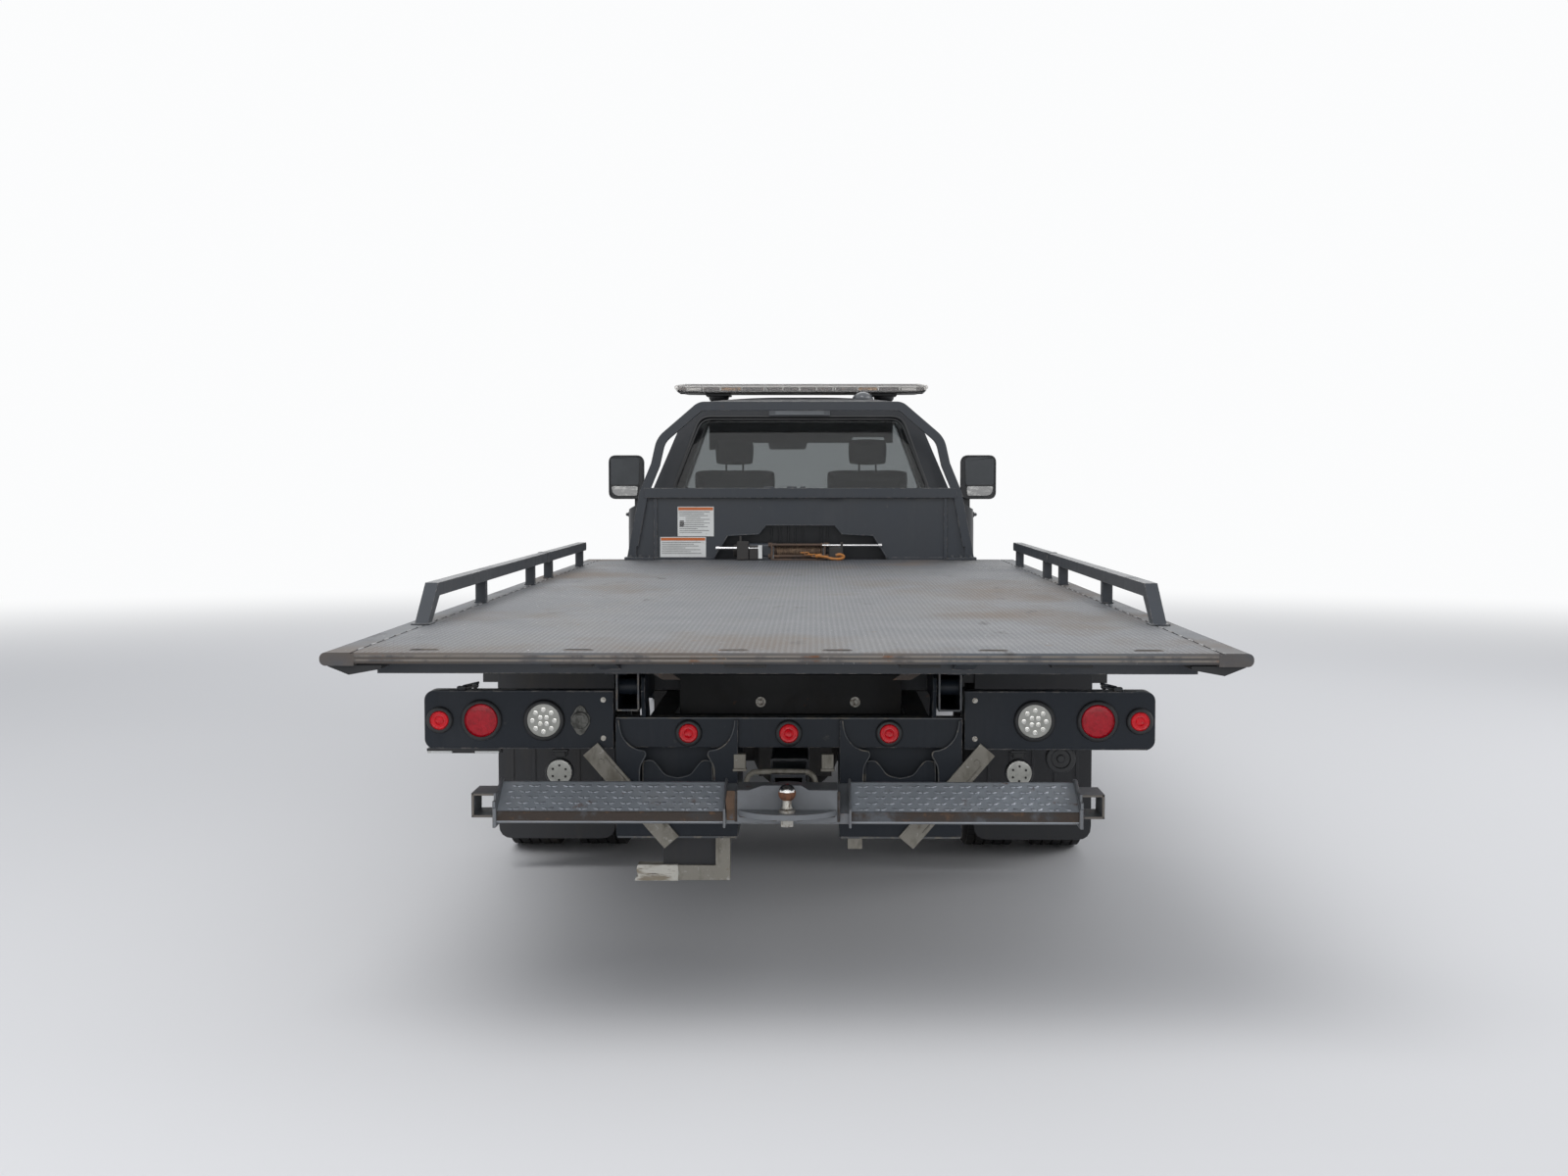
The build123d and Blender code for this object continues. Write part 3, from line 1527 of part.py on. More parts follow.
# half width, height of the bell opening, from its mouth at the top
bell_outline = (
    (176, 807),
    (172, 775),
    (160, 748),
    (138, 724),
    (112, 713),
    (97, 710),
    (95, 695),
    (106, 677),
    (114, 655),
    (114, 540),
)
valley = (
    (106, 452),
    (106, 662),
    (96, 676),
    (76, 676),
    (60, 660),
    (38, 634),
    (0, 624),
)

with BuildPart() as tail_frame:
    block(
        (-id_bar_half, id_bar_half),
        (tail_plane, tail_plane + 60),
        (id_bar_bottom, id_bar_top),
    )
    with BuildSketch(Plane.YZ.offset(ear_x[0])):
        with BuildLine():
            Polyline(
                (tilt_frame_rear + 10, pivot_z - 10),
                (tail_plane + 10, id_bar_top - 20),
                (tilt_pivot_y + 130, id_bar_top - 20),
                (tilt_pivot_y + 130, rail_top + 10),
                (tilt_pivot_y + 50, pivot_z + 10),
                (tilt_pivot_y, pivot_z + 50),
                (tilt_frame_rear + 20, pivot_z + 30),
                close=True,
            )
        make_face()
    extrude(amount=ear_x[1] - ear_x[0])
    with BuildSketch(Plane.YZ.offset(ear_x[0])):
        with Locations((tilt_pivot_y, pivot_z)):
            Circle(tilt_pivot_r)
    extrude(amount=pivot_pin_end - ear_x[0])
    with BuildSketch(Plane.XZ.offset(-box_y[0])):
        with Locations((box_centre, (box_z[0] + box_z[1]) / 2)):
            Rectangle(2 * box_half, box_z[1] - box_z[0])
        with BuildLine():
            Polyline(
                *[(box_centre + x, z) for x, z in bell_outline],
                *[(box_centre - x, z) for x, z in reversed(bell_outline)],
                close=True,
            )
        make_face(mode=Mode.SUBTRACT)
    extrude(amount=-tail_plate)
    with BuildSketch(Plane.XZ.offset(-tail_plane - 20)):
        with BuildLine():
            Polyline(
                *[(box_centre + x, z) for x, z in valley],
                *[(box_centre - x, z) for x, z in reversed(valley[:-1])],
                close=True,
            )
        make_face()
    extrude(amount=-tail_plate)
    for x in (box_centre - box_half, box_centre + box_half - tail_plate):
        block((x, x + tail_plate), box_y, (box_z[0], id_bar_bottom))
    block(
        (box_centre - box_half, box_centre + box_half),
        (tail_plane + 60, tail_plane + 60 + tail_plate),
        (box_z[0], id_bar_bottom + 40),
    )
    block(
        (box_centre - box_half, box_centre + box_half),
        box_y,
        (box_z[0], box_z[0] + tail_plate),
    )
    mirror(about=Plane.YZ)
save(tail_frame, "tail_frame")

# Lamp panels on each side of the tail, with a return along their edges
panel_x = (532, 1107)
panel_z = (715, 893)
panel_depth = 60
panel_round = 30
wing_arm_z = (730, 780)

with BuildPart() as lamp_panels:
    with BuildSketch(Plane.XZ.offset(-tail_plane)):
        with Locations(((panel_x[0] + panel_x[1]) / 2, (panel_z[0] + panel_z[1]) / 2)):
            Rectangle(panel_x[1] - panel_x[0], panel_z[1] - panel_z[0])
        fillet(vertices().group_by(Axis.X)[-1], panel_round)
    extrude(amount=-panel_depth)
    offset(amount=-tail_plate / 2, openings=faces().sort_by(Axis.Y)[-1])
    block(
        (id_bar_half, panel_x[1] - 90),
        (tail_plane + panel_depth, tail_plane + panel_depth + 40),
        wing_arm_z,
    )
    block(
        (rail_outside, id_bar_half + 1),
        (tail_plane + panel_depth + 10, tail_plane + panel_depth + 40),
        wing_arm_z,
    )
    mirror(about=Plane.YZ)
save(lamp_panels, "lamp_panels")

# Lamps: x, z, radius
lamp_row_z = 803
red_places = ((1060, lamp_row_z, 31), (933, lamp_row_z, 54))
clear_places = ((743, lamp_row_z, 54),)
id_places = ((-304, 765, 31), (0, 765, 31), (304, 765, 31))
work_lamp = (700, 640, 43)
work_lamp_back = tail_plane + panel_depth + 2
lamp_bulge = 14


def lamp(x, z, radius, y, depth):
    """A round lamp with a rim and a gently domed lens, facing the rear."""
    with BuildSketch(Plane.XY.offset(z)) as section:
        with BuildLine():
            Polyline(
                (x, y),
                (x + radius, y),
                (x + radius, y - depth * 0.6),
                (x + radius * 0.86, y - depth * 0.62),
                (x + radius * 0.5, y - depth * 0.88),
                (x, y - depth),
                close=True,
            )
        make_face()
    revolve(section.sketch, axis=Axis((x, 0, z), (0, 1, 0)))


with BuildPart() as tail_lamps:
    for x, z, radius in red_places:
        lamp(x, z, radius, tail_plane, lamp_bulge)
        lamp(-x, z, radius, tail_plane, lamp_bulge)
    for x, z, radius in id_places:
        lamp(x, z, radius, tail_plane, lamp_bulge)
save(tail_lamps, "tail_lamps")

with BuildPart() as clear_lamps:
    for x, z, radius in clear_places:
        lamp(x, z, radius, tail_plane, lamp_bulge)
        lamp(-x, z, radius, tail_plane, lamp_bulge)
    for side in (-1, 1):
        lamp(side * work_lamp[0], work_lamp[1], work_lamp[2], work_lamp_back, 50)
        block(
            sorted((side * (work_lamp[0] - 20), side * (work_lamp[0] + 20))),
            (work_lamp_back, work_lamp_back + 8),
            (work_lamp[1] - 30, wing_arm_z[0]),
        )
save(clear_lamps, "clear_lamps")

# Galvanised bars: the diagonal braces, the L-shaped hanger below the left box
# and the short one below the right box
brace_top = (600, 718)
brace_foot = (355, 434)
brace_width = 58
brace_plate = 10
brace_y = box_y[0] - brace_plate - 0.5
hanger_x = (180, 224)
hanger_z = (307, 466)
hanger_end = 464
hanger_width = 46
hanger_stub_z = 405
hanger_y = tail_plane + 30

with BuildPart() as tail_braces:
    for side in (-1, 1):
        with BuildSketch(Plane.XZ.offset(-brace_y)):
            with BuildLine():
                Line(
                    (side * brace_top[0], brace_top[1]),
                    (side * brace_foot[0], brace_foot[1]),
                )
            trace(line_width=brace_width)
        extrude(amount=-brace_plate)
    with BuildSketch(Plane.XZ.offset(-hanger_y)):
        with BuildLine():
            Polyline(
                (-hanger_x[0], box_z[0]),
                (-hanger_x[0], hanger_z[0]),
                (-hanger_end, hanger_z[0]),
                (-hanger_end, hanger_z[0] + hanger_width),
                (-hanger_x[1], hanger_z[0] + hanger_width),
                (-hanger_x[1], box_z[0]),
                close=True,
            )
        make_face()
    extrude(amount=-hanger_width)
    block(hanger_x, (hanger_y, hanger_y + hanger_width), (hanger_stub_z, box_z[0]))
save(tail_braces, "tail_braces")

# Rear fenders over the dual wheels, with a rolled outer edge, and mud flaps
fender_half_length = 570
rear_fender_x = (660, 1220)
rear_fender_top = 950
rear_fender_roll = 180
rear_fender_low = rear_fender_top - rear_fender_roll - 30
rear_fender_sheet = 5
flap_x = (700, 1164)
flap_z = (132, 800)

with BuildPart() as rear_fenders:
    with BuildSketch(Plane.XZ.offset(-rear_axle_y + fender_half_length)):
        with BuildLine():
            Line(
                (rear_fender_x[0], rear_fender_top),
                (rear_fender_x[1] - rear_fender_roll, rear_fender_top),
            )
            RadiusArc(
                (rear_fender_x[1] - rear_fender_roll, rear_fender_top),
                (rear_fender_x[1], rear_fender_top - rear_fender_roll),
                rear_fender_roll,
            )
            Polyline(
                (rear_fender_x[1], rear_fender_top - rear_fender_roll),
                (rear_fender_x[1], rear_fender_low),
                (rear_fender_x[0], rear_fender_low),
                (rear_fender_x[0], rear_fender_top),
            )
        make_face()
    extrude(amount=-2 * fender_half_length)
    offset(
        amount=-rear_fender_sheet,
        openings=faces().sort_by(Axis.Z)[0],
    )
    for end in (-1, 1):
        y = rear_axle_y + end * (fender_half_length - 12)
        block((rail_outside, rear_fender_x[0] + 4), (y - 12, y + 12), (725, 765))
    mirror(about=Plane.YZ)
save(rear_fenders, "rear_fenders")

flap_y = rear_axle_y - fender_half_length
with BuildPart() as mud_flaps:
    block(flap_x, (flap_y - 10, flap_y), flap_z)
    fillet(edges().filter_by(Axis.Y).group_by(Axis.Z)[0], 30)
    mirror(about=Plane.YZ)
save(mud_flaps, "mud_flaps")

# Wheel lift: pivot lugs on the cross member, boom, extension and crossbar
boom_half = boom_size / 2
boom_pin_r = 20
boom_lug = 12
boom_rear = tail + 960
extension_gap = 1
extension_half = boom_half - boom_wall - extension_gap
extension_wall = 10
extension_y = (tail + 700, tail + 1900)
swivel_pin_r = 22
tongue_r = 42
tongue_z = (580, 620)

with BuildPart() as chassis_with_lugs:
    add(chassis_frame.part)
    add(cylinder_brackets.part)
    for side in (-1, 1):
        with BuildSketch(Plane.YZ.offset(side * (boom_half + 2))):
            with Locations((boom_pivot_y, boom_z)):
                Circle(45)
            with Locations((boom_pivot_y + 15, (boom_z + 690) / 2)):
                Rectangle(80, 690 - boom_z)
        extrude(amount=side * boom_lug)
    with BuildSketch(Plane.YZ.offset(-boom_half - boom_lug)):
        with Locations((boom_pivot_y, boom_z)):
            Circle(boom_pin_r)
    extrude(amount=2 * (boom_half + boom_lug))
save(chassis_with_lugs, "chassis_frame")

with BuildPart() as lift_boom:
    with BuildSketch(Plane.XZ.offset(-boom_rear)):
        with Locations((0, boom_z)):
            RectangleRounded(boom_size, boom_size, 10)
            Rectangle(
                boom_size - 2 * boom_wall, boom_size - 2 * boom_wall, mode=Mode.SUBTRACT
            )
    extrude(amount=boom_rear - boom_pivot_y - 50)
    block(
        (-boom_half + 2, boom_half - 2),
        (boom_pivot_y - 60, boom_pivot_y + 50),
        (boom_z - boom_half + 2, boom_z + boom_half - 2),
    )
    with BuildSketch(Plane.YZ):
        with Locations((boom_pivot_y, boom_z)):
            Circle(boom_pin_r + running_gap)
    extrude(amount=boom_size, both=True, mode=Mode.SUBTRACT)
save(lift_boom, "lift_boom")

with BuildPart() as lift_extension:
    with BuildSketch(Plane.XZ.offset(-extension_y[0])):
        with Locations((0, boom_z)):
            Rectangle(2 * extension_half, 2 * extension_half)
            Rectangle(
                2 * (extension_half - extension_wall),
                2 * (extension_half - extension_wall),
                mode=Mode.SUBTRACT,
            )
    extrude(amount=extension_y[0] - extension_y[1])
    with BuildSketch(Plane.XY.offset(tongue_z[0])):
        with Locations((0, swivel_y)):
            Circle(tongue_r)
        with Locations((0, (swivel_y + extension_y[0] + 20) / 2)):
            Rectangle(2 * tongue_r, extension_y[0] + 20 - swivel_y)
        with Locations((0, swivel_y)):
            Circle(swivel_pin_r + running_gap, mode=Mode.SUBTRACT)
    extrude(amount=tongue_z[1] - tongue_z[0])
save(lift_extension, "lift_extension")

# Crossbar: the step beam with its clevis, end plates and side sockets
step_y = (tail + 450, tail + 585)
step_top = (582, 648)
step_bottom = 548
step_half = 836
centre_half = 145
tread_start = 180
clevis_plate = 14
socket_size = 70
socket_wall = 6
tread_sheet = 4
ball_centre = (0, step_y[0] - 52, 646)
hitch_plate_z = (574, 590)

with BuildPart() as lift_crossbar:
    with BuildSketch(Plane.YZ):
        with BuildLine():
            Polyline(
                (step_y[0], step_bottom),
                (step_y[1], step_bottom),
                (step_y[1], step_top[1] - tread_sheet),
                (step_y[1] - 14, step_top[1] - tread_sheet),
                (step_y[0], step_top[0] - tread_sheet),
                close=True,
            )
        make_face()
    extrude(amount=step_half, both=True)
    for low in (tongue_z[0] - running_gap - clevis_plate, tongue_z[1] + running_gap):
        with BuildSketch(Plane.XY.offset(low)):
            with Locations((0, swivel_y)):
                Circle(tongue_r)
            with Locations((0, (swivel_y + step_y[1] - 10) / 2)):
                Rectangle(2 * tongue_r, swivel_y - step_y[1] + 10)
        extrude(amount=clevis_plate)
    with BuildSketch(Plane.XY.offset(tongue_z[0] - clevis_plate)):
        with Locations((0, swivel_y)):
            Circle(swivel_pin_r)
    extrude(amount=tongue_z[1] - tongue_z[0] + 2 * clevis_plate)
    for side in (-1, 1):
        with BuildSketch(Plane.XZ.offset(-step_y[0])):
            with Locations(
                (side * (step_half + socket_size / 2), step_bottom + 16 + socket_size / 2)
            ):
                Rectangle(socket_size, socket_size)
                Rectangle(
                    socket_size - 2 * socket_wall,
                    socket_size - 2 * socket_wall,
                    mode=Mode.SUBTRACT,
                )
        extrude(amount=step_y[0] - step_y[1])
        block(
            sorted((side * step_half, side * (step_half + 8))),
            (step_y[0] - 12, step_y[1]),
            (step_bottom - 12, step_top[0] + 30),
        )
    with BuildSketch(Plane.XY.offset(hitch_plate_z[0])):
        with BuildLine():
            Line((-centre_half, step_y[0] + 5), (centre_half, step_y[0] + 5))
            Line((centre_half, step_y[0] + 5), (centre_half, step_y[0]))
            ThreePointArc(
                (centre_half, step_y[0]),
                (0, ball_centre[1] - 45),
                (-centre_half, step_y[0]),
            )
            Line((-centre_half, step_y[0]), (-centre_half, step_y[0] + 5))
        make_face()
    extrude(amount=hitch_plate_z[1] - hitch_plate_z[0])
save(lift_crossbar, "lift_crossbar")

# Tread plates on the sloping face of the step
with BuildPart() as step_treads:
    with BuildSketch(Plane.YZ.offset(tread_start)):
        with BuildLine():
            Polyline(
                (step_y[1], step_top[1] - tread_sheet),
                (step_y[1], step_top[1]),
                (step_y[1] - 16, step_top[1]),
                (step_y[0] - tread_sheet, step_top[0]),
                (step_y[0] - tread_sheet, step_top[0] - 30),
                (step_y[0], step_top[0] - 30),
                (step_y[0], step_top[0] - tread_sheet),
                (step_y[1] - 14, step_top[1] - tread_sheet),
                close=True,
            )
        make_face()
    extrude(amount=step_half - tread_start)
    mirror(about=Plane.YZ)
save(step_treads, "step_treads")

# Hitch ball with its shank and nut
ball_r = 25

with BuildPart() as hitch_ball:
    with Locations(ball_centre):
        Sphere(ball_r)
    with BuildSketch(Plane.XY.offset(hitch_plate_z[1])):
        with Locations(ball_centre[:2]):
            Circle(15)
    extrude(amount=ball_centre[2] - hitch_plate_z[1])
    with BuildSketch(Plane.XY.offset(hitch_plate_z[1])):
        with Locations(ball_centre[:2]):
            Circle(23)
    extrude(amount=8)
    with BuildSketch(Plane.XY.offset(hitch_plate_z[0])):
        with Locations(ball_centre[:2]):
            RegularPolygon(19, 6)
    extrude(amount=-22)
save(hitch_ball, "hitch_ball")
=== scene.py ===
import math

import bmesh
import bpy
from mathutils import Matrix, Vector


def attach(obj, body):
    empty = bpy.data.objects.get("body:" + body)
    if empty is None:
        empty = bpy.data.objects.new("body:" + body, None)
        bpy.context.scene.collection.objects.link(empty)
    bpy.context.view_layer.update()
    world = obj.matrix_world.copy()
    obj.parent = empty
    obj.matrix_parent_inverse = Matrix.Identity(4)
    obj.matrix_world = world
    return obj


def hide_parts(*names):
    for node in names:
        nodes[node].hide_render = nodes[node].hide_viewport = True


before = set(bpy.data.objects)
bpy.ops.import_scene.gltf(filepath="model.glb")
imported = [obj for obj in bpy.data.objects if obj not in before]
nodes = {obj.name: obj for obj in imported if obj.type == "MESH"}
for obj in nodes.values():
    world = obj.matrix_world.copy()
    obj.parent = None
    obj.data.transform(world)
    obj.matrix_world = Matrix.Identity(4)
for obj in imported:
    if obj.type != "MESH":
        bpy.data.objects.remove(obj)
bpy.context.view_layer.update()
# The deck's rear edge along Y, from which the lengths are taken
tail = -4.585

# Deck floor: one flat steel sheet with a raised pattern, 5.8 m by 2.4 m
# The solid keeps its shape; the pattern lies in the finish, over grey paint
# that is worn to the metal, with brown dust and rust
DECK_TOP = 1.080
deck_front = tail + 5.8


def tread_height(tree, pitch_x, pitch_y, long_half, short_half):
    """Height of a pattern of raised bars that lean left and right in turn."""

    def maths(kind, one, two=None):
        made = tree.nodes.new("ShaderNodeMath")
        made.operation = kind
        for socket, value in zip(made.inputs, (one, two)):
            if isinstance(value, bpy.types.NodeSocket):
                tree.links.new(value, socket)
            elif value is not None:
                socket.default_value = value
        return made.outputs[0]

    split = tree.nodes.new("ShaderNodeSeparateXYZ")
    place = tree.nodes.new("ShaderNodeTexCoord")
    tree.links.new(place.outputs["Object"], split.inputs[0])
    across = maths("DIVIDE", split.outputs["X"], pitch_x)
    along = maths("DIVIDE", split.outputs["Y"], pitch_y)
    parity = maths("PINGPONG", maths("ADD", maths("FLOOR", across), maths("FLOOR", along)), 1.0)
    lean = maths("SUBTRACT", maths("MULTIPLY", parity, 2.0), 1.0)
    a = maths("MULTIPLY", maths("SUBTRACT", maths("FRACT", across), 0.5), pitch_x)
    b = maths("MULTIPLY", maths("SUBTRACT", maths("FRACT", along), 0.5), pitch_y)
    leaned = maths("MULTIPLY", a, lean)
    one = maths("DIVIDE", maths("ADD", leaned, b), long_half * 1.414)
    two = maths("DIVIDE", maths("SUBTRACT", leaned, b), short_half * 1.414)
    far = maths(
        "ADD", maths("POWER", maths("ABSOLUTE", one), 2.0), maths("POWER", maths("ABSOLUTE", two), 2.0)
    )
    raised = tree.nodes.new("ShaderNodeMapRange")
    raised.interpolation_type = "SMOOTHSTEP"
    raised.inputs["From Min"].default_value = 1.0
    raised.inputs["From Max"].default_value = 0.35
    tree.links.new(far, raised.inputs["Value"])
    return raised.outputs[0], split.outputs


def add_tread(material, pitch, size, depth, worn, half_width=None):
    """Puts the raised pattern over a finish's bump and pales its tops."""
    tree = material.node_tree
    shader = tree.nodes["Principled BSDF"]
    height, axes = tread_height(tree, *pitch, *size)
    if half_width:
        inside = tree.nodes.new("ShaderNodeMath")
        inside.operation = "ABSOLUTE"
        tree.links.new(axes["X"], inside.inputs[0])
        within = tree.nodes.new("ShaderNodeMath")
        within.operation = "LESS_THAN"
        within.inputs[1].default_value = half_width
        tree.links.new(inside.outputs[0], within.inputs[0])
        kept = tree.nodes.new("ShaderNodeMath")
        kept.operation = "MULTIPLY"
        tree.links.new(height, kept.inputs[0])
        tree.links.new(within.outputs[0], kept.inputs[1])
        height = kept.outputs[0]
    grain = tree.nodes.new("ShaderNodeBump")
    grain.inputs["Distance"].default_value = depth
    tree.links.new(height, grain.inputs["Height"])
    below = shader.inputs["Normal"].links[0].from_socket
    tree.links.new(below, grain.inputs["Normal"])
    tree.links.new(grain.outputs["Normal"], shader.inputs["Normal"])
    paler = tree.nodes.new("ShaderNodeMix")
    paler.data_type = "RGBA"
    fainter = tree.nodes.new("ShaderNodeMath")
    fainter.operation = "MULTIPLY"
    fainter.inputs[1].default_value = 0.85
    tree.links.new(height, fainter.inputs[0])
    tree.links.new(fainter.outputs[0], paler.inputs["Factor"])
    tree.links.new(shader.inputs["Base Color"].links[0].from_socket, paler.inputs["A"])
    paler.inputs["B"].default_value = (*worn, 1)
    tree.links.new(paler.outputs["Result"], shader.inputs["Base Color"])


# A layer is (colour, roughness, scale, low, high, stretch)
def finish(name, base, rough, metal=0.0, layers=(), bump=(), edge=None, rounding=0.0, coat=0.0):
    """A metal, paint or plastic with blotches of other tones and a fine bump."""
    material = bpy.data.materials.new(name)
    material.use_nodes = True
    tree = material.node_tree
    shader = tree.nodes["Principled BSDF"]
    join = tree.links.new
    place = tree.nodes.new("ShaderNodeTexCoord").outputs["Object"]

    def noise(scale, detail, stretch, offset=0.0):
        mapped = tree.nodes.new("ShaderNodeMapping")
        mapped.inputs["Scale"].default_value = stretch
        mapped.inputs["Location"].default_value = (offset, offset * 0.7, offset * 0.3)
        join(place, mapped.inputs["Vector"])
        made = tree.nodes.new("ShaderNodeTexNoise")
        made.inputs["Scale"].default_value = scale
        made.inputs["Detail"].default_value = detail
        made.inputs["Roughness"].default_value = 0.62
        join(mapped.outputs[0], made.inputs["Vector"])
        return made.outputs["Fac"]

    def ranged(source, low, high, to_low=0.0, to_high=1.0):
        made = tree.nodes.new("ShaderNodeMapRange")
        made.inputs["From Min"].default_value = low
        made.inputs["From Max"].default_value = high
        made.inputs["To Min"].default_value = to_low
        made.inputs["To Max"].default_value = to_high
        join(source, made.inputs["Value"])
        return made.outputs[0]

    def blend(factor, one, two):
        made = tree.nodes.new("ShaderNodeMix")
        made.data_type = "RGBA"
        join(factor, made.inputs["Factor"])
        for socket, value in ((made.inputs["A"], one), (made.inputs["B"], two)):
            if isinstance(value, bpy.types.NodeSocket):
                join(value, socket)
            else:
                socket.default_value = (*value, 1)
        return made.outputs["Result"]

    def blend_number(factor, one, two):
        made = tree.nodes.new("ShaderNodeMix")
        join(factor, made.inputs["Factor"])
        for socket, value in ((made.inputs["A"], one), (made.inputs["B"], two)):
            if isinstance(value, bpy.types.NodeSocket):
                join(value, socket)
            else:
                socket.default_value = value
        return made.outputs["Result"]

    tone = noise(3.1, 5, (1, 1, 1), 3.3)
    colour = blend(ranged(tone, 0.3, 0.7), tuple(c * 0.82 for c in base), tuple(c * 1.15 for c in base))
    roughness = ranged(tone, 0.3, 0.7, rough * 0.88, min(1, rough * 1.12))
    for i, (tint, tint_rough, scale, low, high, stretch) in enumerate(layers):
        mask = ranged(noise(scale, 8, stretch, 1.7 + 2.9 * i), low, high)
        colour = blend(mask, colour, tint)
        roughness = blend_number(mask, roughness, tint_rough)
    normal = None
    if rounding:
        soft = tree.nodes.new("ShaderNodeBevel")
        soft.samples = 4
        soft.inputs["Radius"].default_value = rounding
        normal = soft.outputs["Normal"]
    if edge is not None:
        sharp = tree.nodes.new("ShaderNodeNewGeometry")
        if normal is None:
            soft = tree.nodes.new("ShaderNodeBevel")
            soft.samples = 4
            soft.inputs["Radius"].default_value = 0.004
            soft_normal = soft.outputs["Normal"]
        else:
            soft_normal = normal
        dot = tree.nodes.new("ShaderNodeVectorMath")
        dot.operation = "DOT_PRODUCT"
        join(soft_normal, dot.inputs[0])
        join(sharp.outputs["Normal"], dot.inputs[1])
        worn = ranged(dot.outputs["Value"], 0.995, 0.93)
        broken = ranged(noise(38, 6, (1, 1, 1), 8.8), 0.46, 0.62)
        times = tree.nodes.new("ShaderNodeMath")
        times.operation = "MULTIPLY"
        join(worn, times.inputs[0])
        join(broken, times.inputs[1])
        colour = blend(times.outputs[0], colour, edge)
    for scale, depth, stretch in bump:
        grain = tree.nodes.new("ShaderNodeBump")
        grain.inputs["Strength"].default_value = 1.0
        grain.inputs["Distance"].default_value = depth
        join(noise(scale, 4, stretch, 5.1), grain.inputs["Height"])
        if normal is not None:
            join(normal, grain.inputs["Normal"])
        normal = grain.outputs["Normal"]
    join(colour, shader.inputs["Base Color"])
    join(roughness, shader.inputs["Roughness"])
    shader.inputs["Metallic"].default_value = metal
    if coat:
        shader.inputs["Coat Weight"].default_value = coat
        shader.inputs["Coat Roughness"].default_value = 0.08
    if normal is not None:
        join(normal, shader.inputs["Normal"])
    return material


EVEN = (1, 1, 1)
deck_paint = finish(
    "deck_paint", (0.070, 0.076, 0.086), 0.55, metal=0.1,
    layers=(
        ((0.040, 0.046, 0.055), 0.5, 1.2, 0.46, 0.72, (1, 0.35, 1)),
        ((0.110, 0.108, 0.104), 0.6, 2.3, 0.50, 0.80, (1, 0.5, 1)),
        ((0.125, 0.090, 0.062), 0.75, 1.15, 0.50, 0.72, (1, 0.6, 1)),
        ((0.040, 0.038, 0.038), 0.7, 5.5, 0.62, 0.74, (1.6, 0.5, 1)),
        ((0.20, 0.115, 0.06), 0.85, 13, 0.66, 0.76, EVEN),
        ((0.33, 0.33, 0.33), 0.35, 40, 0.66, 0.76, (3, 0.4, 1))
    ), bump=((160, 0.0002, EVEN),)
)
add_tread(deck_paint, (0.0165, 0.024), (0.0085, 0.0035), 0.0045, (0.25, 0.25, 0.255), 1.118)


def dull(finish, level):
    """Lowers how strongly a finish mirrors what is round it."""
    finish.node_tree.nodes["Principled BSDF"].inputs["Specular IOR Level"].default_value = level


dull(deck_paint, 0.28)


def paint(finish, *names):
    """Gives solids that stay in view their finish."""
    for name in names:
        for place in nodes[name].material_slots:
            place.material = finish


paint(deck_paint, "deck_floor")

# Deck edges: steel strips and a tail bar welded round the floor's rim
# Two thin plate lines run along the bar and a wedge closes each rear corner
# The paint is worn to bright metal on top
FALLING = (1, 1, 0.16)
RUST = (0.17, 0.075, 0.035)
BARE = (0.30, 0.27, 0.24)
dark_paint = finish(
    "dark_paint", (0.015, 0.020, 0.028), 0.42,
    layers=(
        ((0.036, 0.040, 0.047), 0.65, 5, 0.52, 0.76, FALLING),
        ((0.085, 0.082, 0.078), 0.85, 26, 0.68, 0.80, EVEN), (RUST, 0.8, 9, 0.70, 0.78, EVEN)
    ), bump=((180, 0.0002, EVEN),), edge=BARE, rounding=0.003
)
paint(dark_paint, "deck_frame")
bare_edge = finish(
    "bare_edge", (0.15, 0.135, 0.12), 0.55, metal=0.4,
    layers=(((0.09, 0.085, 0.085), 0.7, 14, 0.5, 0.62, (1, 1, 1)), (RUST, 0.85, 9, 0.60, 0.70, EVEN)),
    bump=((130, 0.0004, EVEN),)
)
bm = bmesh.new()


def box(bm, x, y, z, turn=None):
    """Adds a block from its (low, high) limits; turn is a matrix about its middle."""
    made = bmesh.ops.create_cube(bm, size=1)["verts"]
    middle = Vector(((x[0] + x[1]) / 2, (y[0] + y[1]) / 2, (z[0] + z[1]) / 2))
    size = Vector((abs(x[1] - x[0]), abs(y[1] - y[0]), abs(z[1] - z[0])))
    for v in made:
        v.co = Vector((v.co.x * size.x, v.co.y * size.y, v.co.z * size.z))
        if turn is not None:
            v.co = turn @ v.co
        v.co += middle
    return made


for z in (DECK_TOP - 0.0095, DECK_TOP - 0.0205):
    box(bm, (-1.128, 1.128), (tail - 0.0015, tail + 0.001), (z - 0.0032, z + 0.0032))


def piece(name, bm, body, finish, bevel=0.0, smooth=35, segments=2):
    """Turns a bmesh into a piece that rides on a body."""
    bmesh.ops.recalc_face_normals(bm, faces=bm.faces[:])
    mesh = bpy.data.meshes.new(name)
    bm.to_mesh(mesh)
    bm.free()
    made = bpy.data.objects.new(name, mesh)
    bpy.context.scene.collection.objects.link(made)
    for material in finish if isinstance(finish, (list, tuple)) else (finish,):
        mesh.materials.append(material)
    mesh.shade_smooth()
    mesh.set_sharp_from_angle(angle=math.radians(smooth))
    if bevel:
        rounding = made.modifiers.new("rounding", "BEVEL")
        rounding.width = bevel
        rounding.segments = segments
        rounding.limit_method = "ANGLE"
        rounding.angle_limit = math.radians(smooth)
        rounding.harden_normals = True
    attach(made, body)
    return made


piece("tail_bar_lips", bm, "deck", bare_edge, bevel=0.0012)
bm = bmesh.new()


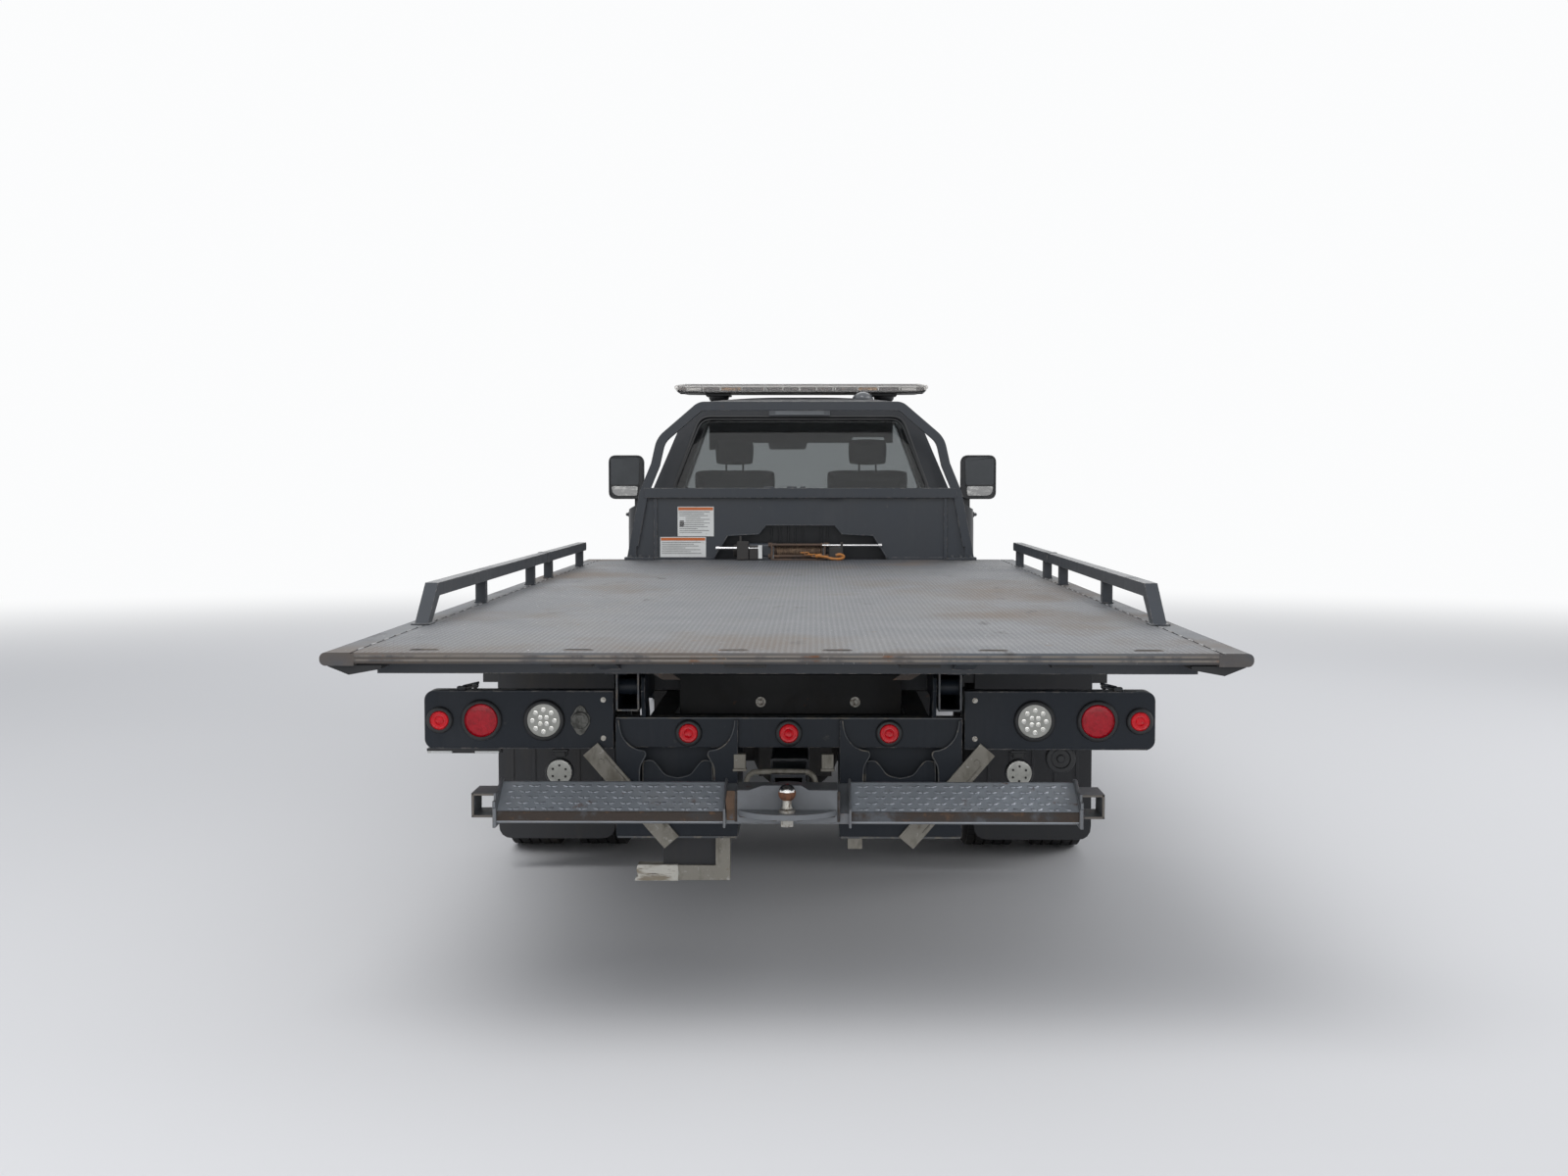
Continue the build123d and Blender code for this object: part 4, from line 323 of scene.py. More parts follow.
def prism(bm, outline, plane, low, high):
    """Adds an outline of (a, b) points pushed from low to high across its plane."""

    def spot(a, b, c):
        return {"xz": (a, c, b), "yz": (c, a, b), "xy": (a, b, c)}[plane]

    near = [bm.verts.new(spot(a, b, low)) for a, b in outline]
    far = [bm.verts.new(spot(a, b, high)) for a, b in outline]
    count = len(outline)
    faces = [bm.faces.new(near), bm.faces.new(list(reversed(far)))]
    for i in range(count):
        j = (i + 1) % count
        faces.append(bm.faces.new((near[j], near[i], far[i], far[j])))
    return near + far


def side_pair(draw):
    """Runs draw once for each side, with -1 for the left and 1 for the right."""
    for side in (-1, 1):
        draw(side)


side_pair(
    lambda side: prism(
        bm,
        [
            (side * 1.210, 1.046), (side * 1.205, 1.040), (side * 1.150, 1.018), (side * 1.062, 1.034),
            (side * 1.062, 1.046)
        ], "xz", tail + 0.03, tail + 0.20
    )
)
for x in (-0.62, -0.16, 0.30, 0.70):
    box(bm, (x, x + 0.11), (tail + 0.052, tail + 0.12), (1.036, 1.0505))
black_paint = finish(
    "black_paint", (0.016, 0.017, 0.019), 0.6,
    layers=(((0.05, 0.045, 0.04), 0.85, 6, 0.5, 0.75, EVEN), (RUST, 0.85, 18, 0.66, 0.76, EVEN)),
    bump=((90, 0.0004, EVEN),), rounding=0.003
)
piece("deck_corner_wedges", bm, "deck", black_paint, bevel=0.003)

# Weld stitches: short steel beads that join the floor to its edge strips
# One bead is drawn and copied along both seams
weld_bead = finish(
    "weld_bead", (0.17, 0.17, 0.175), 0.45, metal=0.5,
    layers=(((0.09, 0.075, 0.06), 0.7, 60, 0.5, 0.7, EVEN),), bump=((500, 0.0006, EVEN),)
)
bm = bmesh.new()


def rod(bm, start, end, radius, sides=16, radius_end=None, caps=True):
    """Adds a round bar from start to end, tapered where radius_end is given."""
    start, end = Vector(start), Vector(end)
    along = end - start
    turn = along.to_track_quat("Z", "Y").to_matrix().to_4x4()
    place = Matrix.Translation((start + end) / 2) @ turn
    return bmesh.ops.create_cone(
        bm, cap_ends=caps, segments=sides, radius1=radius, radius2=radius if radius_end is None
        else radius_end, depth=along.length, matrix=place
    )["verts"]


rod(bm, (0, -0.030, 0), (0, 0.030, 0), 0.0042, 8, 0.0036)
stitches = []
for side in (-1, 1):
    for i in range(38):
        y = tail + 0.10 + 0.15 * i
        stitches.append(((side * 1.135, y, DECK_TOP - 0.001), (0, 0, 0.02 * (i % 3 - 1)), 1.0))


# Each point has a turn in radians and a size, kept as attributes
def repeat(name, spots, pattern, body, finish):
    """Copies of the pattern mesh at (place, turn, size) spots, as one piece."""
    mesh = bpy.data.meshes.new(name)
    mesh.from_pydata([s[0] for s in spots], [], [])
    turns = mesh.attributes.new("turn", "FLOAT_VECTOR", "POINT")
    sizes = mesh.attributes.new("size", "FLOAT_VECTOR", "POINT")
    for i, (place, turn, size) in enumerate(spots):
        turns.data[i].vector = turn
        sizes.data[i].vector = (size,) * 3 if isinstance(size, (int, float)) else size
    source = bpy.data.meshes.new(name + "_pattern")
    bmesh.ops.recalc_face_normals(pattern, faces=pattern.faces[:])
    pattern.to_mesh(source)
    pattern.free()
    source.shade_smooth()
    source.set_sharp_from_angle(angle=math.radians(40))
    model = bpy.data.objects.new(name + "_pattern", source)
    tree = bpy.data.node_groups.new(name, "GeometryNodeTree")
    tree.interface.new_socket("Geometry", in_out="INPUT", socket_type="NodeSocketGeometry")
    tree.interface.new_socket("Geometry", in_out="OUTPUT", socket_type="NodeSocketGeometry")
    factor = tree.interface.new_socket("Size factor", in_out="INPUT", socket_type="NodeSocketFloat")
    add = tree.nodes.new
    start, end = add("NodeGroupInput"), add("NodeGroupOutput")
    picked = add("GeometryNodeObjectInfo")
    picked.inputs["Object"].default_value = model
    turn_of, size_of = add("GeometryNodeInputNamedAttribute"), add("GeometryNodeInputNamedAttribute")
    for node, key in ((turn_of, "turn"), (size_of, "size")):
        node.data_type = "FLOAT_VECTOR"
        node.inputs["Name"].default_value = key
    copies = add("GeometryNodeInstanceOnPoints")
    solid, painted = add("GeometryNodeRealizeInstances"), add("GeometryNodeSetMaterial")
    painted.inputs["Material"].default_value = finish
    join = tree.links.new
    join(start.outputs[0], copies.inputs["Points"])
    join(picked.outputs["Geometry"], copies.inputs["Instance"])
    join(turn_of.outputs[0], copies.inputs["Rotation"])
    sized = add("ShaderNodeVectorMath")
    sized.operation = "SCALE"
    join(size_of.outputs[0], sized.inputs[0])
    join(start.outputs["Size factor"], sized.inputs["Scale"])
    join(sized.outputs[0], copies.inputs["Scale"])
    join(copies.outputs[0], solid.inputs[0])
    join(solid.outputs[0], painted.inputs["Geometry"])
    join(painted.outputs[0], end.inputs[0])
    made = bpy.data.objects.new(name, mesh)
    bpy.context.scene.collection.objects.link(made)
    copier = made.modifiers.new("copies", "NODES")
    copier.node_group = tree
    copier[factor.identifier] = 1.0
    graph = bpy.context.evaluated_depsgraph_get()
    plain = bpy.data.meshes.new_from_object(made.evaluated_get(graph))
    made.modifiers.remove(copier)
    made.data = plain
    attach(made, body)
    return made


repeat("edge_weld_stitches", stitches, bm, "deck", weld_bead)

# Chain slots: openings near the deck's rear edge that hold a chain link
# Each has a raised steel lip, worn bright, over a dark pocket
bm = bmesh.new()


def pipe(bm, points, radius, sides=10):
    """Adds a round bar that follows the points, with closed ends."""
    points = [Vector(p) for p in points]
    rings = []
    side = None
    for i, p in enumerate(points):
        ahead = points[min(i + 1, len(points) - 1)] - points[max(i - 1, 0)]
        ahead.normalize()
        if side is None:
            side = ahead.orthogonal().normalized()
        side = (side - ahead * side.dot(ahead)).normalized()
        up = ahead.cross(side)
        ring = []
        for k in range(sides):
            a = 2 * math.pi * k / sides
            ring.append(bm.verts.new(p + radius * (math.cos(a) * side + math.sin(a) * up)))
        rings.append(ring)
    for low, high in zip(rings, rings[1:]):
        for k in range(sides):
            j = (k + 1) % sides
            bm.faces.new((low[k], low[j], high[j], high[k]))
    bm.faces.new(list(reversed(rings[0])))
    bm.faces.new(rings[-1])


for x in (0.137, 0.550, 0.960):
    for side in (-1, 1):
        ring = []
        for k in range(28):
            a = 2 * math.pi * k / 28
            cx = side * x + math.copysign(0.0215, math.cos(a)) + 0.0175 * math.cos(a)
            ring.append((cx, tail + 0.08 + 0.0175 * math.sin(a), DECK_TOP + 0.0004))
        pipe(bm, ring + ring[:1], 0.0016, 6)
        box(bm, (side * x - 0.045, side * x + 0.045), (tail + 0.058, tail + 0.102), (1.058, 1.062))
piece("chain_slot_lips", bm, "deck", bare_edge)

# Side rails: square steel tube on short posts, welded to the deck's edges
# A splice sleeve, foot plates, post welds and end caps dress the solid
paint(dark_paint, "side_rails")
bm = bmesh.new()


def rail_trim(side):
    x = side * 1.150
    box(bm, (x - 0.0235, x + 0.0235), (tail + 3.60, tail + 3.68), (1.157, 1.2045))
    box(bm, (x - 0.030, x + 0.030), (tail + 0.935, tail + 1.030), (DECK_TOP, 1.0845))
    for y in (2.0, 3.2, 3.75, 4.9):
        y += tail + 0.019
        box(bm, (x - 0.0235, x + 0.0235), (y - 0.0235, y + 0.0235), (DECK_TOP, 1.0838))
    box(bm, (x - 0.0185, x + 0.0185), (tail + 5.049, tail + 5.0525), (1.164, 1.198))


side_pair(rail_trim)
piece("side_rail_trim", bm, "deck", dark_paint, bevel=0.003)

# Headboard: folded steel sheet between two posts under a bent hoop of tube
# Its lips, gussets, notches and foot straps are bolted or welded to the deck
paint(dark_paint, "headboard")
bm = bmesh.new()
panel_y = deck_front - 0.030
crossbar_top = DECK_TOP + 0.406
box(bm, (-0.885, 0.885), (deck_front - 0.054, deck_front - 0.048), (1.430, 1.4855))
for x, wide in ((-0.205, 0.055), (-0.075, 0.055), (0.0, 0.03)):
    box(
        bm, (x, x + wide), (deck_front - 0.052, deck_front - 0.006),
        (crossbar_top - 0.001, crossbar_top + 0.009)
    )


def beside(side, near, far):
    """The (low, high) limits across of what lies on one side of the middle."""
    return sorted((side * near, side * far))


def hoop_trim(side):
    prism(
        bm, [(side * 0.812, 1.092), (side * 0.830, 1.092), (side * 0.830, 1.43), (side * 0.812, 1.43)],
        "xz", panel_y - 0.012, panel_y
    )
    box(bm, beside(side, 0.83, 0.992), (panel_y - 0.085, panel_y - 0.002), (DECK_TOP, DECK_TOP + 0.016))
    for x in (0.855, 0.905, 0.960):
        rod(
            bm, (side * x, panel_y - 0.045, DECK_TOP + 0.014),
            (side * x, panel_y - 0.045, DECK_TOP + 0.026), 0.011, 6
        )


side_pair(hoop_trim)
for side in (-1, 1):
    path = [
        (0.490, 0.002), (0.486, 0.018), (0.412, 0.136), (0.236, 0.145), (0.194, 0.195), (0.0, 0.195)
    ]
    pipe(bm, [(side * x, panel_y - 0.001, DECK_TOP + z) for x, z in path], 0.0045, 8)
box(bm, (-0.905, -0.50), (panel_y - 0.012, panel_y), (DECK_TOP, DECK_TOP + 0.014))
box(bm, (0.50, 0.905), (panel_y - 0.012, panel_y), (DECK_TOP, DECK_TOP + 0.014))
piece("headboard_lips", bm, "deck", dark_paint, bevel=0.002)

# Instruction labels: two stuck paper sheets with an orange header
# They are blank here, with plain grey bars where print would be
white_label = finish(
    "white_label", (0.66, 0.67, 0.66), 0.45, layers=(((0.40, 0.39, 0.36), 0.7, 40, 0.6, 0.72, EVEN),)
)
label_header = finish(
    "label_header", (0.52, 0.13, 0.03), 0.45, layers=(((0.45, 0.30, 0.22), 0.7, 60, 0.62, 0.72, EVEN),)
)
label_ink = finish(
    "label_ink", (0.10, 0.10, 0.10), 0.5, layers=(((0.3, 0.3, 0.3), 0.5, 150, 0.5, 0.6, EVEN),)
)
for name, x, z in (
    ("label_upper", (-0.6965, -0.491), (1.212, 1.380)),
    ("label_lower", (-0.796, -0.536), (1.092, 1.208))
):
    bm = bmesh.new()
    box(bm, x, (panel_y - 0.0016, panel_y - 0.0002), z)
    piece(name, bm, "deck", white_label, bevel=0.0004)
    bm = bmesh.new()
    top = z[1] - 0.004
    box(bm, (x[0] + 0.004, x[1] - 0.004), (panel_y - 0.0024, panel_y - 0.0012), (top - 0.016, top))
    piece(name + "_header", bm, "deck", label_header)
    bm = bmesh.new()
    rows = int((top - 0.022 - z[0] - 0.006) / 0.0105)
    for i in range(rows):
        row_z = top - 0.026 - 0.0105 * i
        reach = (0.92, 0.75, 0.86, 0.55, 0.9, 0.68)[i % 6]
        start = x[0] + (0.045 if i in (3, 4, 5) and name == "label_upper" else 0.010)
        box(
            bm, (start, start + (x[1] - 0.008 - start) * reach), (panel_y - 0.0021, panel_y - 0.0012),
            (row_z - 0.0016, row_z + 0.0016)
        )
    if name == "label_upper":
        box(bm, (x[0] + 0.012, x[0] + 0.036), (panel_y - 0.0021, panel_y - 0.0012), (1.268, 1.302))
    piece(name + "_rules", bm, "deck", label_ink)

# Winch: steel cable on a rusty drum between low cheek plates and tie bars
# It stands in the opening at the foot of the headboard, bolted to the deck,
# with its gear case on the left and its handles and levers above
paint(dark_paint, "winch_frame")
rusty = finish(
    "rusty", (0.085, 0.055, 0.040), 0.8, metal=0.1,
    layers=(
        ((0.17, 0.10, 0.06), 0.9, 30, 0.52, 0.7, EVEN), ((0.05, 0.04, 0.038), 0.8, 12, 0.55, 0.72, EVEN)
    ), bump=((110, 0.0008, EVEN),)
)
paint(rusty, "winch_drum")
winch_y, winch_z = deck_front - 0.060, DECK_TOP + 0.052
bm = bmesh.new()
turns, sides = 24, 20
path = []
for i in range(turns * sides + 1):
    a = 2 * math.pi * i / sides
    x = -0.134 + 0.248 * i / (turns * sides)
    path.append((x, winch_y + 0.0345 * math.cos(a), winch_z + 0.0345 * math.sin(a)))
pipe(bm, path, 0.0056, 6)
cable_steel = finish(
    "cable_steel", (0.13, 0.085, 0.06), 0.7, metal=0.5,
    layers=(((0.26, 0.18, 0.12), 0.8, 50, 0.45, 0.65, EVEN),), bump=((700, 0.0009, EVEN),)
)
piece("winch_cable", bm, "winch", cable_steel, smooth=60)
bm = bmesh.new()
for dy, dz, r in ((-0.052, 0.034, 0.0075), (-0.056, -0.030, 0.0085)):
    rod(bm, (-0.168, winch_y + dy, winch_z + dz), (0.150, winch_y + dy, winch_z + dz), r, 14)
    for x in (-0.180, 0.140):
        rod(bm, (x, winch_y + dy, winch_z + dz), (x + 0.020, winch_y + dy, winch_z + dz), 0.013, 6)
piece("winch_tie_bars", bm, "deck", rusty, bevel=0.001)
bm = bmesh.new()
rod(bm, (-0.464, winch_y - 0.066, 1.148), (-0.226, winch_y - 0.066, 1.148), 0.0085, 14)
rod(bm, (0.124, winch_y - 0.062, 1.164), (0.449, winch_y - 0.062, 1.164), 0.0070, 12)


def lathe(bm, centre, axis, outline, sides=32):
    """Adds the (along, radius) outline turned about an axis through centre."""
    turn = Vector(axis).to_track_quat("Z", "Y").to_matrix()
    rings = []
    for along, radius in outline:
        ring = []
        for i in range(sides):
            a = 2 * math.pi * i / sides
            spot = Vector((radius * math.cos(a), radius * math.sin(a), along))
            ring.append(bm.verts.new(Vector(centre) + turn @ spot))
        rings.append(ring)
    for low, high in zip(rings, rings[1:]):
        for i in range(sides):
            j = (i + 1) % sides
            bm.faces.new((low[i], low[j], high[j], high[i]))
    bm.faces.new(list(reversed(rings[0])))
    bm.faces.new(rings[-1])
    return [v for ring in rings for v in ring]


for x, z in ((-0.464, 1.148), (0.449, 1.164)):
    lathe(
        bm, (x, winch_y - 0.064, z), (1, 0, 0),
        [(-0.014, 0.004), (-0.010, 0.0125), (0.010, 0.0125), (0.014, 0.004)], 16
    )
bright_steel = finish(
    "bright_steel", (0.60, 0.60, 0.61), 0.16, metal=1.0,
    layers=(((0.30, 0.26, 0.22), 0.5, 30, 0.62, 0.8, EVEN),), bump=((300, 0.00005, (1, 0.1, 1)),)
)
piece("winch_control_rods", bm, "deck", bright_steel)
bm = bmesh.new()
box(bm, (-0.356, -0.291), (winch_y - 0.078, winch_y - 0.020), (1.084, 1.186))
box(bm, (-0.342, -0.330), (winch_y - 0.070, winch_y - 0.052), (1.184, 1.216))
box(bm, (-0.286, -0.236), (winch_y - 0.074, winch_y - 0.030), (1.084, 1.162))
lathe(
    bm, (-0.300, winch_y - 0.005, winch_z), (-1, 0, 0),
    [(0, 0.040), (0.04, 0.040), (0.046, 0.034), (0.075, 0.034), (0.080, 0.024)], 28
)
lathe(
    bm, (0.150, winch_y, winch_z), (1, 0, 0),
    [(0, 0.044), (0.016, 0.044), (0.020, 0.037), (0.062, 0.037), (0.068, 0.028), (0.088, 0.028)], 28
)
box(bm, (0.163, 0.240), (winch_y - 0.076, winch_y - 0.034), (1.084, 1.150))
box(bm, (0.226, 0.240), (winch_y - 0.074, winch_y - 0.052), (1.150, 1.182))
casting = finish(
    "casting", (0.045, 0.043, 0.042), 0.7, metal=0.4,
    layers=(((0.10, 0.085, 0.07), 0.9, 8, 0.5, 0.8, EVEN),), bump=((140, 0.0008, EVEN),), rounding=0.004
)
piece("winch_gear_case", bm, "deck", casting, bevel=0.003)
bm = bmesh.new()
box(bm, (-0.236, -0.214), (winch_y - 0.082, winch_y - 0.076), (1.090, 1.165))
piece("winch_white_plate", bm, "deck", white_label, bevel=0.001)
bm = bmesh.new()
for x in (-0.160, 0.138):
    prism(
        bm,
        [
            (winch_y - 0.074, DECK_TOP), (winch_y - 0.074, winch_z + 0.026),
            (winch_y - 0.052, winch_z + 0.044), (winch_y + 0.026, winch_z + 0.044),
            (winch_y + 0.050, DECK_TOP)
        ], "yz", x - 0.005, x + 0.005
    )
box(bm, (-0.156, 0.134), (winch_y - 0.080, winch_y - 0.056), (DECK_TOP, DECK_TOP + 0.010))
box(bm, (-0.156, 0.134), (winch_y - 0.044, winch_y - 0.030), (1.164, 1.173))
piece("winch_cheeks", bm, "deck", rusty, bevel=0.002)

# Tow hook: a forged hook in orange paint, on the cable's end
# It lies with its short chain in front of the drum on the right
bm = bmesh.new()
hook_y, hook_z = winch_y - 0.108, DECK_TOP + 0.008


def curve_points(points, steps=6):
    """Points along a smooth line through the given ones."""
    points = [Vector(p) for p in points]
    padded = [points[0]] + points + [points[-1]]
    smooth = []
    for a, b, c, d in zip(padded, padded[1:], padded[2:], padded[3:]):
        for k in range(steps):
            t = k / steps
            smooth.append(
                0.5 * (
                    2 * b + (c - a) * t + (2 * a - 5 * b + 4 * c - d) * t**2
                    + (3 * b - a - 3 * c + d) * t**3
                )
            )
    smooth.append(points[-1])
    return smooth


pipe(
    bm,
    curve_points(
        [
            (0.110, hook_y + 0.02, hook_z + 0.016), (0.145, hook_y, hook_z + 0.012),
            (0.185, hook_y - 0.010, hook_z + 0.002), (0.228, hook_y, hook_z + 0.003),
            (0.244, hook_y + 0.002, hook_z + 0.016), (0.222, hook_y, hook_z + 0.026),
            (0.198, hook_y, hook_z + 0.022)
        ], 6
    ), 0.0080, 12
)
lathe(
    bm, (0.104, hook_y + 0.022, hook_z + 0.018), (1, 0, 0.15),
    [(-0.020, 0.005), (-0.016, 0.011), (0.015, 0.011), (0.019, 0.006)], 16
)
for i in range(4):
    cx, cz = 0.076 - 0.020 * i, hook_z + 0.020 + 0.005 * i
    loop = []
    for k in range(17):
        a = 2 * math.pi * k / 16
        across = 0.0070 * math.sin(a)
        loop.append(
            (
                cx + 0.0145 * math.cos(a), hook_y + 0.02 + (across if i % 2 else 0), cz
                + (0 if i % 2 else across)
            )
        )
    pipe(bm, loop, 0.0034, 8)
orange_paint = finish(
    "orange_paint", (0.42, 0.16, 0.03), 0.6, layers=(((0.20, 0.13, 0.09), 0.8, 60, 0.5, 0.65, EVEN),),
    bump=((200, 0.0003, EVEN),)
)
piece("tow_hook", bm, "deck", orange_paint, smooth=60)

# Round lamps at the tail: red and clear plastic lenses over reflectors
# Each is pressed into a black rubber ring that sits in the steel panel


def clear_finish(name, tint, rough, passing, coat=0.0):
    """Glass or a lens: passing is the share of light that goes through."""
    material = bpy.data.materials.new(name)
    material.use_nodes = True
    tree = material.node_tree
    shader = tree.nodes["Principled BSDF"]
    shader.inputs["Base Color"].default_value = (*tint, 1)
    shader.inputs["Transmission Weight"].default_value = passing
    shader.inputs["IOR"].default_value = 1.45
    shader.inputs["Coat Weight"].default_value = coat
    film = tree.nodes.new("ShaderNodeTexNoise")
    film.inputs["Scale"].default_value = 9
    film.inputs["Detail"].default_value = 6
    spread = tree.nodes.new("ShaderNodeMapRange")
    spread.inputs["To Min"].default_value = rough
    spread.inputs["To Max"].default_value = rough + 0.08
    place = tree.nodes.new("ShaderNodeTexCoord")
    tree.links.new(place.outputs["Object"], film.inputs["Vector"])
    tree.links.new(film.outputs["Fac"], spread.inputs["Value"])
    tree.links.new(spread.outputs[0], shader.inputs["Roughness"])
    return material


red_lens = clear_finish("red_lens", (0.60, 0.012, 0.018), 0.08, 0.25, 0.6)
paint(red_lens, "tail_lamps")
clear_lens = clear_finish("clear_lens", (0.92, 0.94, 0.95), 0.02, 0.85)
paint(clear_lens, "clear_lamps")
TAIL_PLANE = tail + 0.780
lens_back = finish(
    "lens_back", (0.50, 0.50, 0.47), 0.25, metal=0.8,
    layers=(((0.28, 0.27, 0.25), 0.4, 60, 0.5, 0.7, EVEN),), bump=((260, 0.0006, EVEN),)
)
pale_lens = finish(
    "pale_lens", (0.46, 0.46, 0.42), 0.2, layers=(((0.36, 0.36, 0.33), 0.3, 45, 0.5, 0.7, EVEN),),
    bump=((220, 0.0006, EVEN),), coat=0.3
)
bright_cup = finish(
    "bright_cup", (0.80, 0.80, 0.77), 0.15, metal=0.9,
    layers=(((0.6, 0.6, 0.55), 0.3, 90, 0.5, 0.7, EVEN),)
)
deep_red = finish(
    "deep_red", (0.50, 0.004, 0.018), 0.30,
    layers=(
        ((0.34, 0.003, 0.012), 0.4, 55, 0.45, 0.65, EVEN),
        ((0.60, 0.012, 0.03), 0.3, 130, 0.55, 0.70, EVEN)
    ), bump=((210, 0.0010, EVEN),), coat=0.25
)
light_red = finish(
    "light_red", (0.80, 0.006, 0.018), 0.28, layers=(((0.55, 0.004, 0.012), 0.4, 70, 0.5, 0.66, EVEN),),
    bump=((260, 0.0008, EVEN),), coat=0.25
)
for red in (deep_red, light_red):
    dull(red, 0.2)


def round_lamp(bm, x, z, radius, y, dome, rings=()):
    """A domed lens facing the rear, with ridges at the given share of radius."""
    outline = [(0, radius), (dome * 0.5, radius)]
    outline += [(dome * (0.5 + 0.5 * math.sin(a)), radius * math.cos(a)) for a in (0.25, 0.5, 0.8, 1.1)]
    for share in rings:
        outline += [
            (dome * 1.02, radius * (share + 0.04)), (dome * 1.16, radius * share),
            (dome * 1.02, radius * (share - 0.04))
        ]
    outline = [p for p in outline if p[1] > 0.0015] + [(dome * 1.04, 0.0015)]
    outline = outline[:2] + sorted(outline[2:], key=lambda p: -p[1])
    lathe(bm, (x, y, z), (0, -1, 0), outline, 40)


def lamp_ring(bm, x, z, radius, y):
    lathe(
        bm, (x, y, z), (0, -1, 0),
        [
            (0, radius + 0.011), (0.006, radius + 0.011), (0.011, radius + 0.008),
            (0.0125, radius + 0.003), (0.0125, radius - 0.001), (0.004, radius - 0.0015)
        ], 40
    )


big_red, small_red, id_red = bmesh.new(), bmesh.new(), bmesh.new()
for side in (-1, 1):
    round_lamp(big_red, side * 0.933, 0.803, 0.052, TAIL_PLANE - 0.004, 0.009, (0.93,))
    round_lamp(small_red, side * 1.060, 0.803, 0.030, TAIL_PLANE - 0.004, 0.009, (0.9, 0.42))
for x in (-0.304, 0.0, 0.304):
    round_lamp(id_red, x, 0.765, 0.030, TAIL_PLANE - 0.004, 0.009, (0.9, 0.42))
lamp_four = piece("stop_lamps", big_red, "chassis", deep_red, smooth=50)
piece("side_marker_lamps", small_red, "chassis", light_red, smooth=50)
piece("middle_marker_lamps", id_red, "chassis", light_red, smooth=50)
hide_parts("tail_lamps")
bm = bmesh.new()
for side in (-1, 1):
    for x, radius in ((0.933, 0.052), (1.060, 0.030), (0.743, 0.052)):
        lamp_ring(bm, side * x, 0.803, radius, TAIL_PLANE)
for x in (-0.304, 0.0, 0.304):
    lamp_ring(bm, x, 0.765, 0.030, TAIL_PLANE)
black_plastic = finish(
    "black_plastic", (0.014, 0.015, 0.017), 0.5,
    layers=(((0.045, 0.045, 0.047), 0.75, 4, 0.52, 0.8, EVEN),), bump=((700, 0.00008, EVEN),),
    rounding=0.003
)
piece("lamp_rings", bm, "chassis", black_plastic, smooth=45)
bm = bmesh.new()
for side in (-1, 1):
    lathe(
        bm, (side * 0.743, TAIL_PLANE - 0.003, 0.803), (0, -1, 0),
        [(0, 0.051), (0.004, 0.051), (0.0045, 0.048), (0.0035, 0.001)], 40
    )
    lathe(
        bm, (side * 0.70, tail + 0.800, 0.640), (0, -1, 0),
        [(0, 0.038), (0.004, 0.038), (0.0045, 0.036), (0.0035, 0.001)], 36
    )
piece("reflector_plates", bm, "chassis", lens_back)

# Cups of the clear lamps: small plated bowls, each with a raised bead
# One cup is drawn and copied into rings round each lamp's middle
bm = bmesh.new()
lathe(
    bm, (0, 0, 0), (0, 0, 1),
    [
        (0, 0.0070), (0.0030, 0.0068), (0.0032, 0.0052), (0.0010, 0.0035), (0.0010, 0.0018),
        (0.0028, 0.0008)
    ], 14
)
cups = []
TO_REAR = (math.pi / 2, 0, 0)
for side in (-1, 1):
    for count, ring in ((4, 0.0135), (8, 0.0335)):
        for k in range(count):
            a = 2 * math.pi * (k + (0.5 if count == 4 else 0)) / count
            cups.append(
                (
                    (
                        side * 0.743 + ring * math.cos(a), TAIL_PLANE - 0.0120, 0.803
                        + ring * math.sin(a)
                    ), TO_REAR, 1.0
                )
            )
repeat("clear_lamp_cups", cups, bm, "chassis", bright_cup)
bm = bmesh.new()
rod(bm, (0, 0, 0), (0, 0, 0.0022), 0.0036, 8)
beads = []
for side in (-1, 1):
    for k in range(6):
        a = 2 * math.pi * k / 6 + 0.5
        beads.append(
            (
                (side * 0.70 + 0.0225 * math.cos(a), tail + 0.7932, 0.640 + 0.0225 * math.sin(a)),
                TO_REAR, 1.0
            )
        )
repeat("work_lamp_beads", beads, bm, "chassis", casting)

# Work lamps: black cans with a bezel round a clear lens
# Each hangs from a swivel bracket under its panel
bm = bmesh.new()
for side in (-1, 1):
    lathe(
        bm, (side * 0.70, tail + 0.848, 0.640), (0, -1, 0),
        [
            (0, 0.020), (0.004, 0.030), (0.020, 0.041), (0.046, 0.043), (0.050, 0.0435), (0.053, 0.041),
            (0.053, 0.0385), (0.0485, 0.0375)
        ], 36
    )
    box(bm, (side * 0.70 - 0.016, side * 0.70 + 0.016), (tail + 0.815, tail + 0.842), (0.684, 0.722))
    box(bm, (side * 0.70 - 0.024, side * 0.70 + 0.024), (tail + 0.812, tail + 0.845), (0.700, 0.708))
    rod(
        bm, (side * 0.70 - 0.023, tail + 0.828, 0.694), (side * 0.70 + 0.023, tail + 0.828, 0.694),
        0.006, 6
    )
cans = piece("work_lamp_cans", bm, "chassis", black_plastic, smooth=45)
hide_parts("clear_lamps")
bm = bmesh.new()
for side in (-1, 1):
    lathe(
        bm, (side * 0.743, TAIL_PLANE - 0.0085, 0.803), (0, -1, 0),
        [(0, 0.0505), (0.0022, 0.0500), (0.0036, 0.042), (0.0042, 0.001)], 40
    )
    lathe(
        bm, (side * 0.70, tail + 0.7985, 0.640), (0, -1, 0),
        [(0.002, 0.0372), (0.0040, 0.0368), (0.0052, 0.030), (0.0058, 0.001)], 36
    )
piece("clear_lenses", bm, "chassis", pale_lens, smooth=60)

